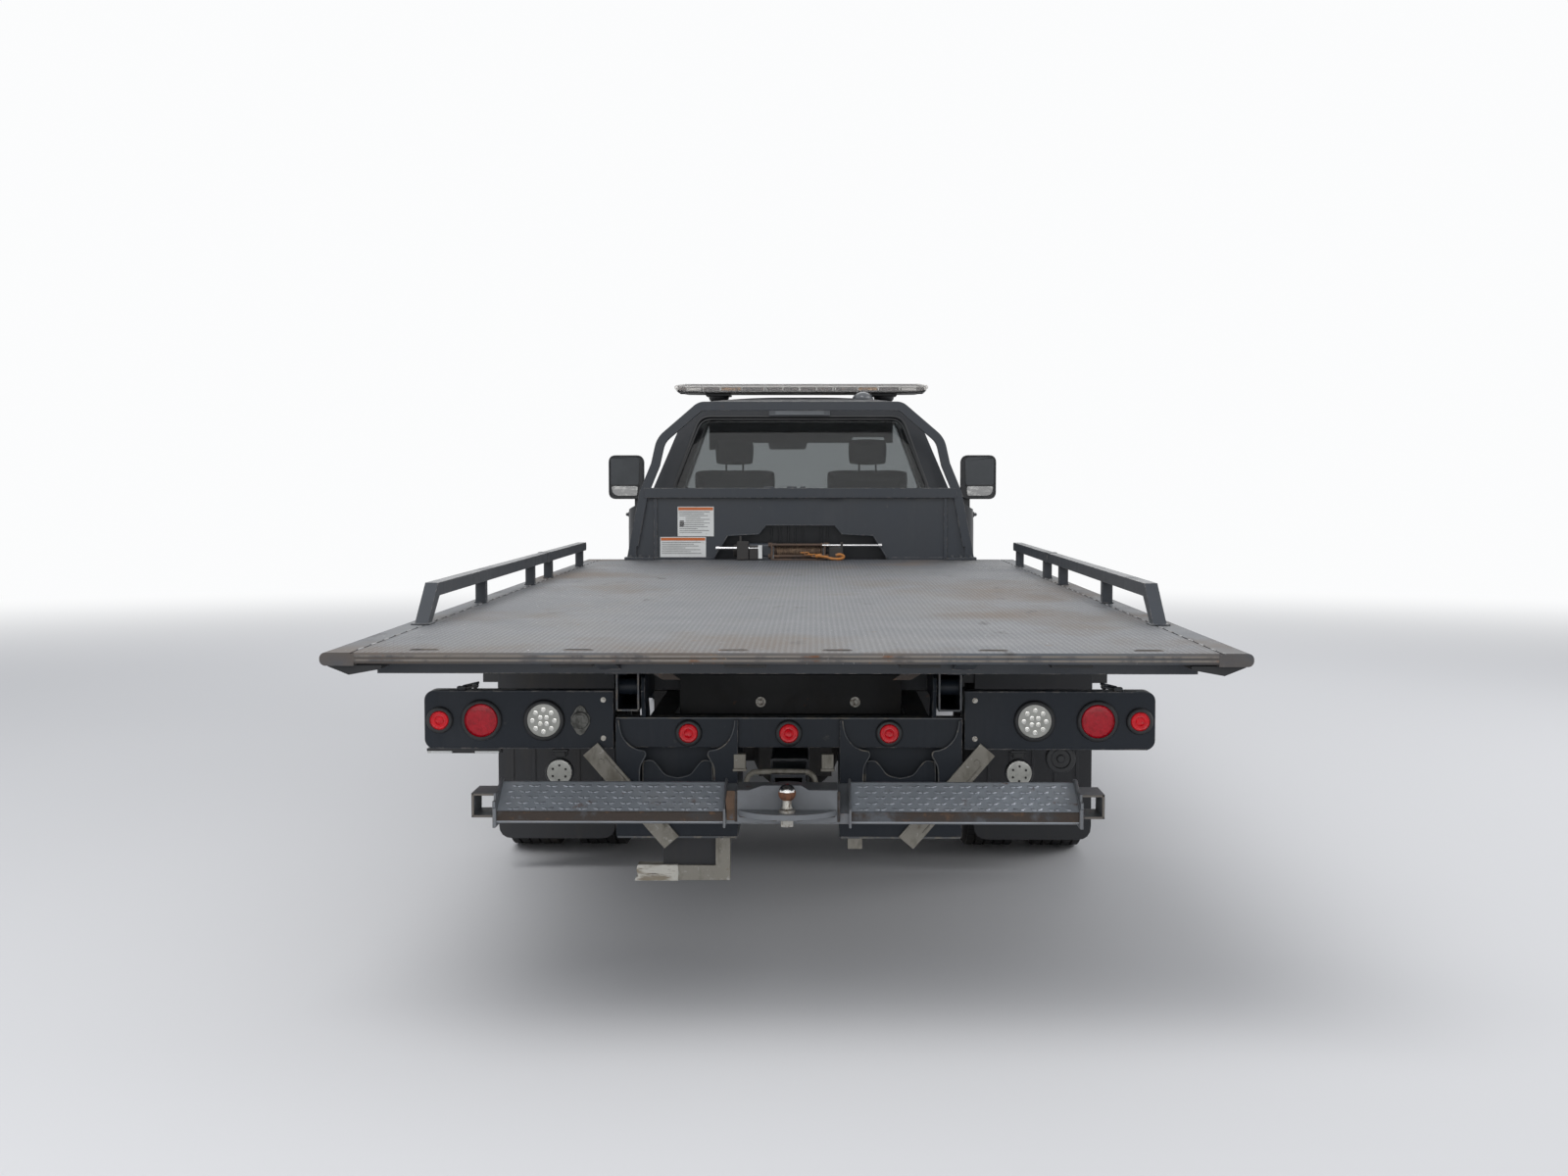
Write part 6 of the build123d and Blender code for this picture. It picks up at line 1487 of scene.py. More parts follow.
for grow, radius in ((0.0, 0.0085), (-0.016, 0.006)):
    path = [(x * (1 + grow), z + grow * (1 if z > 1.6 else -1)) for x, z in rounded(corners, 0.060)]
    pipe(bm, [(x, back_y(z) + 0.004, z) for x, z in path + path[:1]], radius, 8)
piece("rear_window_seal", bm, "chassis", black_plastic, smooth=60)


def screen_y(z):
    """Where the windscreen's face lies at a height."""
    return tail + 7.830 - (z - 1.40) / (1.965 - 1.40) * 0.720


bm = bmesh.new()
corners = [(-0.800, 1.440), (0.800, 1.440), (0.590, 1.915), (-0.590, 1.915)]
path = rounded(corners, 0.060)
pipe(bm, [(x, screen_y(z) - 0.012, z) for x, z in path + path[:1]], 0.009, 8)
piece("windscreen_seal", bm, "chassis", black_plastic, smooth=60)
bm = bmesh.new()
for side in (-1, 1):
    pipe(
        bm,
        curve_points(
            [
                (side * 0.60, screen_y(1.42) + 0.012, 1.418),
                (side * 0.42, screen_y(1.452) + 0.014, 1.452),
                (side * 0.12, screen_y(1.462) + 0.012, 1.462)
            ], 5
        ), 0.006, 8
    )
    pipe(
        bm,
        [(side * 0.64, screen_y(1.455) + 0.006, 1.450), (side * 0.02, screen_y(1.462) + 0.006, 1.460)],
        0.0045, 6
    )
    rod(
        bm, (side * 0.60, screen_y(1.41), 1.404), (side * 0.60, screen_y(1.41) + 0.012, 1.424), 0.014,
        14
    )
piece("wipers", bm, "chassis", black_plastic, smooth=60)
bm = bmesh.new()
prism(
    bm, [(tail + 7.762, 1.402), (tail + 7.802, 1.401), (tail + 7.808, 1.390), (tail + 7.762, 1.388)],
    "yz", -0.80, 0.80
)
for i in range(22):
    x = -0.74 + 0.0705 * i
    box(bm, (x - 0.012, x + 0.012), (tail + 7.772, tail + 7.798), (1.4005, 1.4040))
piece("cowl_grille", bm, "chassis", black_plastic, bevel=0.001)

# Cabin: a dark headliner, sun visors and the band along the windscreen
# The mirror hangs from a short stalk on the windscreen's glass
bm = bmesh.new()
prism(
    bm,
    [
        (tail + 6.17, 1.925), (tail + 6.60, 1.955), (tail + 7.02, 1.915), (tail + 7.02, 1.900),
        (tail + 6.60, 1.938), (tail + 6.17, 1.908)
    ], "yz", -0.52, 0.52
)
for side in (-1, 1):
    prism(
        bm, [(tail + 7.02, 1.905), (tail + 7.17, 1.842), (tail + 7.172, 1.834), (tail + 7.02, 1.890)],
        "yz", side * 0.34 - 0.20, side * 0.34 + 0.20
    )
rod(bm, (-0.09, tail + 7.19, 1.83), (-0.09, tail + 7.12, 1.77), 0.008, 10)
cabin_trim = finish(
    "cabin_trim", (0.030, 0.030, 0.033), 0.7, layers=(((0.05, 0.05, 0.052), 0.8, 12, 0.5, 0.8, EVEN),),
    bump=((600, 0.0002, EVEN),), rounding=0.004
)
piece("headliner", bm, "chassis", cabin_trim, bevel=0.004)
bm = bmesh.new()
for x, low in (
    ((-0.585, -0.43), 1.722), ((-0.43, 0.32), 1.765), ((0.32, 0.52), 1.800), ((0.52, 0.575), 1.765)
):
    box(bm, x, (tail + 7.026, tail + 7.040), (low, 1.925))
prism(
    bm,
    rounded(
        [
            (-0.205, 1.725), (0.025, 1.725), (0.035, 1.770), (0.015, 1.788), (-0.195, 1.788),
            (-0.215, 1.770)
        ], 0.014, 3
    ), "xz", tail + 7.095, tail + 7.120
)
piece("cabin_mirror", bm, "chassis", black_plastic, bevel=0.004)
bm = bmesh.new()
prism(
    bm,
    rounded(
        [
            (-0.198, 1.731), (0.018, 1.731), (0.027, 1.769), (0.010, 1.781), (-0.190, 1.781),
            (-0.207, 1.769)
        ], 0.014, 3
    ), "xz", tail + 7.0935, tail + 7.0955
)
# The convex strip is dark with pale streaks: a painted reflection, standing in for what the curved
# glass mirrors
strip_painted_reflection = finish(
    "strip_painted_reflection", (0.14, 0.14, 0.14), 0.12, metal=0.5,
    layers=(((0.34, 0.34, 0.33), 0.2, 16, 0.5, 0.62, (1, 1, 2)),)
)
mirror_glass = finish(
    "mirror_glass", (0.046, 0.051, 0.056), 0.10,
    layers=(((0.036, 0.040, 0.044), 0.12, 5, 0.5, 0.8, EVEN),)
)
dull(mirror_glass, 0.15)
piece("cabin_mirror_glass", bm, "chassis", mirror_glass)

# Doors and mirrors: painted steel doors with rubber strips and a handle
# Each mirror has flat glass over a convex strip in a black plastic housing,
# and its arm is bolted to the door
paint(cab_paint, "door_left", "door_right")
paint(window_glass, "door_glass_left", "door_glass_right")
paint(black_plastic, "door_mirror_left", "door_mirror_right")
for side, name in ((-1, "left"), (1, "right")):
    body = "door_" + name[0]
    face_y = tail + 7.325
    bm = bmesh.new()
    outline = [
        (side * 1.062, 1.500), (side * 1.242, 1.500), (side * 1.244, 1.670), (side * 1.225, 1.680),
        (side * 1.075, 1.680), (side * 1.056, 1.665)
    ]
    outline = rounded(outline, 0.012, 3)
    prism(bm, outline, "xz", face_y - 0.004, face_y - 0.001)
    piece("mirror_glass_" + name, bm, body, mirror_glass, bevel=0.001)
    bm = bmesh.new()
    low = rounded(
        [
            (side * 1.066, 1.492), (side * 1.240, 1.492), (side * 1.232, 1.445), (side * 1.205, 1.428),
            (side * 1.070, 1.428)
        ], 0.014, 3
    )
    prism(bm, low, "xz", face_y - 0.006, face_y - 0.001)
    piece("mirror_strip_" + name, bm, body, strip_painted_reflection, bevel=0.002)
    bm = bmesh.new()
    rim = rounded(
        [(side * 1.034, 1.414), (side * 1.251, 1.414), (side * 1.251, 1.686), (side * 1.034, 1.686)],
        0.040, 5
    )
    pipe(bm, [(x, face_y + 0.002, z) for x, z in rim + rim[:1]], 0.0065, 8)
    box(bm, beside(side, 1.058, 1.245), (face_y - 0.0045, face_y + 0.004), (1.4925, 1.4995))
    for k in range(5):
        box(
            bm, beside(side, 1.012, 1.046), (tail + 7.350 + 0.014 * k, tail + 7.356 + 0.014 * k),
            (1.338, 1.405)
        )
    piece("mirror_rim_" + name, bm, body, black_plastic, bevel=0.001, smooth=50)

    # Door trim: belt strip, window seal, pull handle, sill step and inner panel
    bm = bmesh.new()
    x = side * 1.0105
    box(bm, sorted((x, x + side * 0.0045)), (tail + 6.300, tail + 7.485), (1.342, 1.356))
    sill = [
        (tail + 6.337, 1.430), (tail + 7.448, 1.430), (tail + 7.448, 1.517), (tail + 7.017, 1.852),
        (tail + 6.377, 1.860)
    ]
    inset = [(y, z) for y, z in rounded(sill, 0.024, 4)]

    def wall_x(z):
        """Half-width of the cab's side at a height."""
        return 0.88 - (z - 1.43) / (1.975 - 1.43) * 0.23

    pipe(bm, [(side * (wall_x(z) - 0.003), y, z) for y, z in inset + inset[:1]], 0.006, 8)
    box(bm, beside(side, 1.014, 1.019), (tail + 6.330, tail + 7.460), (0.905, 0.965))
    box(bm, beside(side, 0.900, 0.935), (tail + 6.45, tail + 7.20), (1.10, 1.16))
    piece("door_trim_" + name, bm, body, black_plastic, bevel=0.0015, smooth=50)
    bm = bmesh.new()
    handle = curve_points(
        [
            (side * 1.018, tail + 6.352, 1.325), (side * 1.040, tail + 6.375, 1.325),
            (side * 1.046, tail + 6.44, 1.325), (side * 1.040, tail + 6.505, 1.325),
            (side * 1.018, tail + 6.528, 1.325)
        ], 5
    )
    pipe(bm, handle, 0.0105, 12)
    piece("door_handle_" + name, bm, body, cab_paint, smooth=60)

# Front: steel fenders, hood and panel round a black plastic grille
# The headlamps have bright reflectors, and the bumper has hooks below it
paint(cab_paint, "front_fenders", "hood", "front_panel")
paint(black_plastic, "grille", "front_bumper")
paint(clear_lens, "headlamps")
bm = bmesh.new()
amber_bm, bowl_bm = bmesh.new(), bmesh.new()
for side in (-1, 1):
    box(bm, beside(side, 0.620, 0.915), (tail + 9.048, tail + 9.056), (0.975, 1.175))
    for x, z in ((0.690, 1.115), (0.690, 1.030), (0.800, 1.115), (0.800, 1.030)):
        lathe(
            bowl_bm, (side * x, tail + 9.055, z), (0, 1, 0),
            [
                (0, 0.020), (0.004, 0.034), (0.018, 0.040), (0.020, 0.036), (0.008, 0.026),
                (0.014, 0.016), (0.016, 0.002)
            ], 24
        )
    box(amber_bm, beside(side, 0.858, 0.905), (tail + 9.055, tail + 9.070), (0.985, 1.165))
piece("headlamp_backs", bm, "chassis", black_plastic, bevel=0.002)
piece("headlamp_bowls", bowl_bm, "chassis", bright_cup, smooth=50)
amber_lens = clear_finish("amber_lens", (0.75, 0.25, 0.02), 0.08, 0.4, 0.5)
piece("headlamp_markers", amber_bm, "chassis", amber_lens, bevel=0.003)
bm = bmesh.new()
rod(bm, (0, 0, 0), (0, 0, 0.004), 0.0125, 6, caps=True)
cells = []
for i in range(38):
    for j in range(15):
        x = -0.518 + 0.028 * i + (0.014 if j % 2 else 0)
        z = 0.795 + 0.0272 * j
        if abs(x) < 0.53:
            cells.append(((x, tail + 9.018, z), (math.pi / 2, math.pi / 6, 0), 0.62))
repeat("grille_studs", cells, bm, "chassis", black_plastic)
bm = bmesh.new()
box(bm, (-0.545, 0.545), (tail + 9.013, tail + 9.019), (0.775, 1.195))
for j in range(5):
    z = 0.985 + (j - 2) * 0.075
    pipe(bm, [(-0.50, tail + 9.061, z), (0.50, tail + 9.061, z)], 0.006, 8)
piece("grille_backing", bm, "chassis", black_plastic)
bm = bmesh.new()
box(bm, (-0.62, 0.62), (tail + 9.120, tail + 9.158), (0.470, 0.545))
for side in (-1, 1):
    hook = curve_points(
        [
            (side * 0.40, tail + 9.10, 0.455), (side * 0.40, tail + 9.155, 0.450),
            (side * 0.40, tail + 9.163, 0.475), (side * 0.40, tail + 9.150, 0.492)
        ], 5
    )
    pipe(bm, hook, 0.012, 10)
    lathe(
        bm, (side * 0.80, tail + 9.075, 0.600), (side * 0.35, 1, 0),
        [(0, 0.052), (0.018, 0.052), (0.022, 0.044), (0.020, 0.002)], 28
    )
piece("bumper_lower", bm, "chassis", black_paint, bevel=0.003)
bm = bmesh.new()
for x in (-0.25, -0.125, 0.0, 0.125, 0.25):
    lathe(
        bm, (x * 1.25, tail + 6.98, 1.984), (0, -0.25, 1),
        [(0, 0.036), (0.010, 0.034), (0.018, 0.024), (0.021, 0.002)], 20
    )
piece("roof_marker_lamps", bm, "chassis", amber_lens, smooth=50)

# Tyres and wheels: black rubber with a raised band and blocks on five ribs
# Each dressed tyre takes the place of its plain solid, and the steel wheels
# get nuts, hub caps and valve stems
tyre_rubber = finish(
    "tyre_rubber", (0.019, 0.019, 0.020), 0.82,
    layers=(((0.065, 0.058, 0.05), 0.95, 5, 0.5, 0.78, EVEN),), bump=((240, 0.0003, EVEN),)
)
paint(tyre_rubber, "front_tyre_left", "front_tyre_right", "rear_tyres_left", "rear_tyres_right")
wheel_metal = finish(
    "wheel_metal", (0.50, 0.51, 0.52), 0.3, metal=1.0,
    layers=(((0.14, 0.12, 0.10), 0.8, 9, 0.55, 0.8, EVEN),), bump=((260, 0.0001, EVEN),), rounding=0.003
)
paint(wheel_metal, "front_wheel_left", "front_wheel_right", "rear_wheels_left", "rear_wheels_right")
REAR_AXLE_Y, FRONT_AXLE_Y, AXLE_Z = tail + 3.0, tail + 8.2, 0.4065
half_wall = [
    (0.0700, 0.2518), (0.0765, 0.2518), (0.0890, 0.2640), (0.1010, 0.2760), (0.1085, 0.2910),
    (0.1115, 0.3060), (0.1128, 0.3140), (0.1128, 0.3190), (0.1112, 0.3230), (0.1118, 0.3330),
    (0.1132, 0.3370), (0.1132, 0.3420), (0.1108, 0.3460), (0.1092, 0.3620), (0.1085, 0.3780),
    (0.1060, 0.3880), (0.0985, 0.3950), (0.0960, 0.3975)
]
tyre_outline = half_wall + [(-a, r) for a, r in reversed(half_wall)] + [
    (-0.085, 0.290), (-0.095, 0.340), (-0.085, 0.384), (0.085, 0.384), (0.095, 0.340), (0.085, 0.290)
]


def tyre(bm, x, y):
    """A hollow ring from the closed outline, with its axis across the vehicle."""
    steps = 72
    rings = []
    for k in range(steps):
        a = 2 * math.pi * k / steps
        rings.append(
            [
                bm.verts.new((x + along, y + r * math.sin(a), AXLE_Z + r * math.cos(a))) for along,
                r in tyre_outline
            ]
        )
    for k in range(steps):
        one, two = rings[k], rings[(k + 1) % steps]
        for i in range(len(one)):
            j = (i + 1) % len(one)
            bm.faces.new((one[i], one[j], two[j], two[i]))


wheel_sets = (
    ("front_left", "front_wheel_l", "front_tyre_left", (-0.950,), FRONT_AXLE_Y),
    ("front_right", "front_wheel_r", "front_tyre_right", (0.950,), FRONT_AXLE_Y),
    ("rear_left", "rear_wheels_l", "rear_tyres_left", (-0.800, -1.080), REAR_AXLE_Y),
    ("rear_right", "rear_wheels_r", "rear_tyres_right", (0.800, 1.080), REAR_AXLE_Y)
)
TO_LEFT = (0, -math.pi / 2, 0)
TO_RIGHT = (0, math.pi / 2, 0)
for name, body, node, places, y in wheel_sets:
    bm = bmesh.new()
    for x in places:
        tyre(bm, x, y)
    walls = piece("tyre_walls_" + name, bm, body, tyre_rubber, smooth=40)
    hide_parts(node)
    blocks = []
    for x in places:
        for column, across in enumerate((-0.0790, -0.0400, 0.0, 0.0400, 0.0790)):
            for k in range(64):
                a = 2 * math.pi * (k + 0.5 * (column % 2)) / 64
                wide = 0.90 if column in (0, 4) else 1.0
                blocks.append(
                    (
                        (x + across, y - 0.4015 * math.sin(a), AXLE_Z + 0.4015 * math.cos(a)),
                        (a, 0, 0), (wide, 1.0, 1.0)
                    )
                )
    bm = bmesh.new()
    bmesh.ops.create_cube(bm, size=1)
    for v in bm.verts:
        top = v.co.z > 0
        v.co = Vector(
            (v.co.x * (0.031 if top else 0.034), v.co.y * (0.032 if top else 0.035), v.co.z * 0.0095)
        )
        v.co.y += v.co.x * 0.16
    repeat("tread_blocks_" + name, blocks, bm, body, tyre_rubber)

    # Wheel trim: nuts round the disc, hub cap with its studs, valve stems
    side = -1 if "left" in name else 1
    face = side * (1.063 if "front" in name else 0.941)
    cap = side * (1.078 if "front" in name else 1.050)
    turn = TO_RIGHT if side > 0 else TO_LEFT
    bm = bmesh.new()
    rod(bm, (0, 0, 0), (0, 0, 0.004), 0.019, 16)
    rod(bm, (0, 0, 0.004), (0, 0, 0.022), 0.0165, 6)
    rod(bm, (0, 0, 0.022), (0, 0, 0.034), 0.0095, 12)
    nuts = []
    for k in range(8):
        a = 2 * math.pi * (k + 0.5) / 8
        nuts.append(((face, y + 0.110 * math.cos(a), AXLE_Z + 0.110 * math.sin(a)), turn, 1.0))
    repeat("wheel_nuts_" + name, nuts, bm, body, bright_steel)
    bm = bmesh.new()
    lathe(
        bm, (cap - side * 0.010, y, AXLE_Z), (side, 0, 0),
        [(0, 0.066), (0.010, 0.066), (0.014, 0.058), (0.015, 0.030), (0.018, 0.022), (0.019, 0.002)], 32
    )
    for k in range(8 if "rear" in name else 5):
        a = 2 * math.pi * k / (8 if "rear" in name else 5)
        spot = (cap, y + 0.048 * math.cos(a), AXLE_Z + 0.048 * math.sin(a))
        rod(bm, spot, (spot[0] + side * 0.010, spot[1], spot[2]), 0.0075, 6)
    piece(
        "hub_cap_" + name, bm, body, casting if "rear" in name else wheel_metal,
        bevel=0.001
    )
    bm = bmesh.new()
    rod(
        bm, (face, y + 0.190, AXLE_Z + 0.02), (face + side * 0.030, y + 0.196, AXLE_Z + 0.02), 0.0045, 8
    )
    piece("valve_stem_" + name, bm, body, black_plastic)

# Mud flaps: moulded rubber sheets with rounded lower corners and ribs
# A row of bolts along the top holds each of them
paint(flap_rubber, "mud_flaps")
bm = bmesh.new()
for side in (-1, 1):
    outline = rounded(
        [(side * 0.703, 0.124), (side * 1.161, 0.124), (side * 1.161, 0.818), (side * 0.703, 0.818)],
        0.055, 4
    )
    prism(bm, outline, "xz", tail + 2.4205, tail + 2.4295)
    for x in (0.76, 0.845, 0.932, 1.019, 1.104):
        box(
            bm, sorted((side * (x - 0.006), side * (x + 0.006))), (tail + 2.4175, tail + 2.4215),
            (0.19, 0.70)
        )
flaps = piece("flap_sheets", bm, "chassis", flap_rubber, bevel=0.002)
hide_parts("mud_flaps")
spots = [
    ((side * x, tail + 2.4205, 0.700), TO_REAR, 0.9) for side in (-1, 1)
    for x in (0.74, 0.86, 1.00, 1.12)
]
repeat("flap_bolts", spots, bolt_pattern(), "chassis", zinc)

# Rear fenders: black plastic covers over the twin tyres
# They have rolled edges and are bolted to a rail on the frame
paint(black_plastic, "rear_fenders")
bm = bmesh.new()
for side in (-1, 1):
    for x in (0.664, 1.216):
        pipe(bm, [(side * x, tail + 2.62, 0.949), (side * x, tail + 3.38, 0.949)], 0.006, 8)
piece("fender_edges", bm, "chassis", black_paint)

# Fuel and hydraulic tanks: bare metal drums beside the frame
# Straps hold them, under a step and a filler cap
paint(wheel_metal, "side_tanks")
bm = bmesh.new()
for side in (-1, 1):
    for y in (5.26, 5.80):
        ring = rounded(
            [
                (side * 0.560, 0.4785), (side * 0.9615, 0.4785), (side * 0.9615, 0.8015),
                (side * 0.560, 0.8015)
            ], 0.070, 6
        )
        for k, (low, high) in enumerate(zip(ring, ring[1:])):
            pipe(bm, [(low[0], tail + y, low[1]), (high[0], tail + y, high[1])], 0.0025, 4)
            pipe(
                bm, [(low[0], tail + y + 0.04, low[1]), (high[0], tail + y + 0.04, high[1])], 0.0025, 4
            )
    for z in (0.525, 0.765):
        box(bm, beside(side, 0.955, 0.966), (tail + 5.18, tail + 5.88), (z - 0.012, z + 0.012))
piece("tank_straps", bm, "chassis", zinc)
bm = bmesh.new()
lathe(
    bm, (-0.845, tail + 5.50, 0.790), (0, 0, 1),
    [(0, 0.046), (0.018, 0.046), (0.022, 0.060), (0.046, 0.058), (0.050, 0.030), (0.050, 0.002)], 28
)
lathe(
    bm, (0.845, tail + 5.50, 0.790), (0, 0, 1),
    [(0, 0.036), (0.018, 0.036), (0.022, 0.045), (0.040, 0.043), (0.044, 0.002)], 28
)
piece("filler_caps", bm, "chassis", black_plastic, bevel=0.001, smooth=50)

# Toolboxes: folded steel boxes in dark paint, under the deck's sides
# Each lid hangs on a hinge rod and has a latch handle in a round dish
paint(dark_paint, "toolboxes", "toolbox_lid_left", "toolbox_lid_right")
bm = bmesh.new()
for side, body in ((-1, "lid_l"), (1, "lid_r")):
    bm = bmesh.new()
    lid_x = side * 1.1485
    for a, b, c, d in (
        (3.965, 5.035, 0.512, 0.518), (3.965, 5.035, 0.932, 0.938), (3.965, 3.971, 0.512, 0.938),
        (5.029, 5.035, 0.512, 0.938)
    ):
        box(bm, sorted((lid_x, lid_x + side * 0.003)), (tail + a, tail + b), (c, d))
    piece(
        "lid_folds_" + ("left" if side < 0 else "right"), bm, body, black_paint,
        bevel=0.0008
    )
    bm = bmesh.new()
    box(bm, beside(side, 1.138, 1.144), (tail + 4.425, tail + 4.575), (0.684, 0.766))
    pipe(
        bm,
        [
            (side * 1.146, tail + 4.46, 0.725), (side * 1.1495, tail + 4.475, 0.725),
            (side * 1.1495, tail + 4.525, 0.725), (side * 1.146, tail + 4.54, 0.725)
        ], 0.006, 8
    )
    rod(bm, (side * 1.142, tail + 4.50, 0.705), (side * 1.147, tail + 4.50, 0.705), 0.011, 14)
    piece(
        "lid_latch_" + ("left" if side < 0 else "right"), bm, body, bright_steel,
        bevel=0.001
    )

# Chassis: two steel rails with axles, springs, engine block and shaft
# Rivets and rubber air lines dress the solids
paint(black_paint, "chassis_frame", "leaf_springs")
paint(
    casting, "engine_block", "drive_shaft", "rear_axle", "front_axle", "knuckle_left", "knuckle_right"
)
bm = bmesh.new()
rod(bm, (0, 0, 0), (0, 0, 0.006), 0.011, 10, 0.007)
spots = []
for side in (-1, 1):
    for i in range(26):
        y = tail + 1.40 + 0.17 * i
        for z in (0.665, 0.745):
            if not 2.3 < y - tail < 3.75:
                spots.append(((side * 0.4295, y, z), TO_RIGHT if side > 0 else TO_LEFT, 0.8))
repeat("rail_rivets", spots, bm, "chassis", black_paint)
bm = bmesh.new()
for side in (-1, 1):
    line = [
        (side * 0.335, tail + 1.05, 0.70), (side * 0.330, tail + 1.6, 0.71),
        (side * 0.325, tail + 2.7, 0.79), (side * 0.325, tail + 3.3, 0.79),
        (side * 0.330, tail + 4.6, 0.73), (side * 0.330, tail + 5.9, 0.72)
    ]
    pipe(bm, curve_points(line, 5), 0.009, 8)
piece("frame_hoses", bm, "chassis", flap_rubber, smooth=60)

paint(cabin_trim, "seats")
seat_fabric = finish(
    "seat_fabric", (0.028, 0.029, 0.032), 0.85,
    layers=(
        ((0.050, 0.050, 0.052), 0.9, 30, 0.45, 0.7, EVEN),
        ((0.016, 0.016, 0.018), 0.9, 240, 0.5, 0.6, (1, 0.3, 1))
    ), bump=((900, 0.0003, EVEN), (420, 0.0003, (1, 0.2, 1)))
)


def pad(name, outline, x_low, x_high, cap):
    """A seat pad from its side outline, swollen by cloth with capped movement."""
    bm = bmesh.new()
    prism(bm, outline, "yz", x_low, x_high)
    bmesh.ops.recalc_face_normals(bm, faces=bm.faces[:])
    mesh = bpy.data.meshes.new(name)
    bm.to_mesh(mesh)
    bm.free()
    made = bpy.data.objects.new(name, mesh)
    bpy.context.scene.collection.objects.link(made)
    grid = made.modifiers.new("grid", "REMESH")
    grid.mode = "VOXEL"
    grid.voxel_size = 0.010
    depsgraph = bpy.context.evaluated_depsgraph_get()
    start = bpy.data.meshes.new_from_object(made.evaluated_get(depsgraph))
    made.modifiers.clear()
    made.data = start
    rest = [v.co.copy() for v in start.vertices]
    cloth = made.modifiers.new("cloth", "CLOTH")
    cloth.settings.use_pressure = True
    cloth.settings.uniform_pressure_force = 4
    cloth.settings.effector_weights.gravity = 0
    cloth.settings.quality = 4
    for number in range(1, 13):
        bpy.context.scene.frame_set(number)
    depsgraph = bpy.context.evaluated_depsgraph_get()
    blown = bpy.data.meshes.new_from_object(made.evaluated_get(depsgraph))
    made.modifiers.clear()
    bpy.context.scene.frame_set(1)
    for v, home in zip(blown.vertices, rest):
        step = v.co - home
        if step.length > cap:
            v.co = home + step.normalized() * cap
    made.data = blown
    made.data.materials.clear()
    made.data.materials.append(seat_fabric)
    made.data.shade_smooth()
    smoother = made.modifiers.new("smoother", "SUBSURF")
    smoother.levels = smoother.render_levels = 1
    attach(made, "chassis")
    return made


seat_y = tail + 6.33
for side in (-1, 1):
    low, high = beside(side, 0.150, 0.640)
    word = "left" if side < 0 else "right"
    pad(
            "seat_cushion_" + word,
            [
                (seat_y + 0.06, 0.955), (seat_y + 0.60, 0.965), (seat_y + 0.610, 1.040),
                (seat_y + 0.54, 1.068), (seat_y + 0.20, 1.050), (seat_y + 0.06, 1.040)
            ], low, high, 0.022
        )
    pad(
            "seat_back_" + word,
            [
                (seat_y + 0.060, 1.085), (seat_y + 0.160, 1.085), (seat_y + 0.130, 1.20),
                (seat_y + 0.065, 1.585), (seat_y - 0.050, 1.585), (seat_y + 0.010, 1.30)
            ], low + 0.01, high - 0.01, 0.022
        )
    middle = (low + high) / 2
    pad(
            "headrest_" + word,
            [
                (seat_y - 0.055, 1.630), (seat_y + 0.025, 1.630), (seat_y + 0.022, 1.765),
                (seat_y - 0.050, 1.770)
            ], middle - 0.108, middle + 0.108, 0.014
        )
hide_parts("seats")
bm = bmesh.new()
for side in (-1, 1):
    low, high = beside(side, 0.150, 0.640)
    middle = (low + high) / 2
    box(bm, (low + 0.05, high - 0.05), (seat_y + 0.10, seat_y + 0.56), (0.800, 0.945))
    box(bm, (low + 0.01, high - 0.01), (seat_y + 0.02, seat_y + 0.10), (0.94, 1.12))
    for x in (middle - 0.05, middle + 0.05):
        rod(bm, (x, seat_y - 0.005, 1.56), (x, seat_y - 0.012, 1.66), 0.006, 10)
    box(
        bm, (middle + side * 0.262 - 0.006, middle + side * 0.262 + 0.006),
        (seat_y + 0.30, seat_y + 0.34), (0.95, 1.10)
    )
piece("seat_frames", bm, "chassis", cabin_trim, bevel=0.004)

# Dashboard: dark moulded plastic across the cab, with the steering wheel
# Gauges in a hood, vents, radio, glove box lines, pedals and gear lever
paint(cabin_trim, "dashboard")
bm = bmesh.new()
dash_face = tail + 7.268
for x in (-0.72, -0.08, 0.10, 0.72):
    box(bm, (x - 0.060, x + 0.060), (dash_face - 0.004, dash_face + 0.004), (1.235, 1.290))
    for i in range(4):
        box(
            bm, (x - 0.055, x + 0.055), (dash_face - 0.007, dash_face - 0.003),
            (1.243 + 0.013 * i, 1.246 + 0.013 * i)
        )
box(bm, (-0.085, 0.105), (dash_face - 0.005, dash_face + 0.004), (1.085, 1.205))
box(bm, (0.30, 0.66), (dash_face - 0.003, dash_face + 0.004), (1.060, 1.200))
for x, r in ((-0.50, 0.052), (-0.39, 0.058), (-0.28, 0.052)):
    lathe(
        bm, (x, dash_face + 0.002, 1.262), (0, -1, 0),
        [(0, r), (0.012, r), (0.014, r - 0.006), (0.004, r - 0.008)], 28
    )
for x in (-0.47, -0.33):
    box(bm, (x - 0.035, x + 0.035), (tail + 7.40, tail + 7.43), (0.80, 0.90))
box(bm, (-0.235, -0.200), (tail + 7.40, tail + 7.43), (0.79, 0.93))
rod(bm, (0.0, tail + 6.93, 0.77), (0.0, tail + 6.90, 1.02), 0.009, 10)
bmesh.ops.create_uvsphere(
    bm, u_segments=16, v_segments=10, radius=0.024, matrix=Matrix.Translation((0, tail + 6.90, 1.03))
)
piece("dash_trim", bm, "chassis", black_plastic, bevel=0.001)

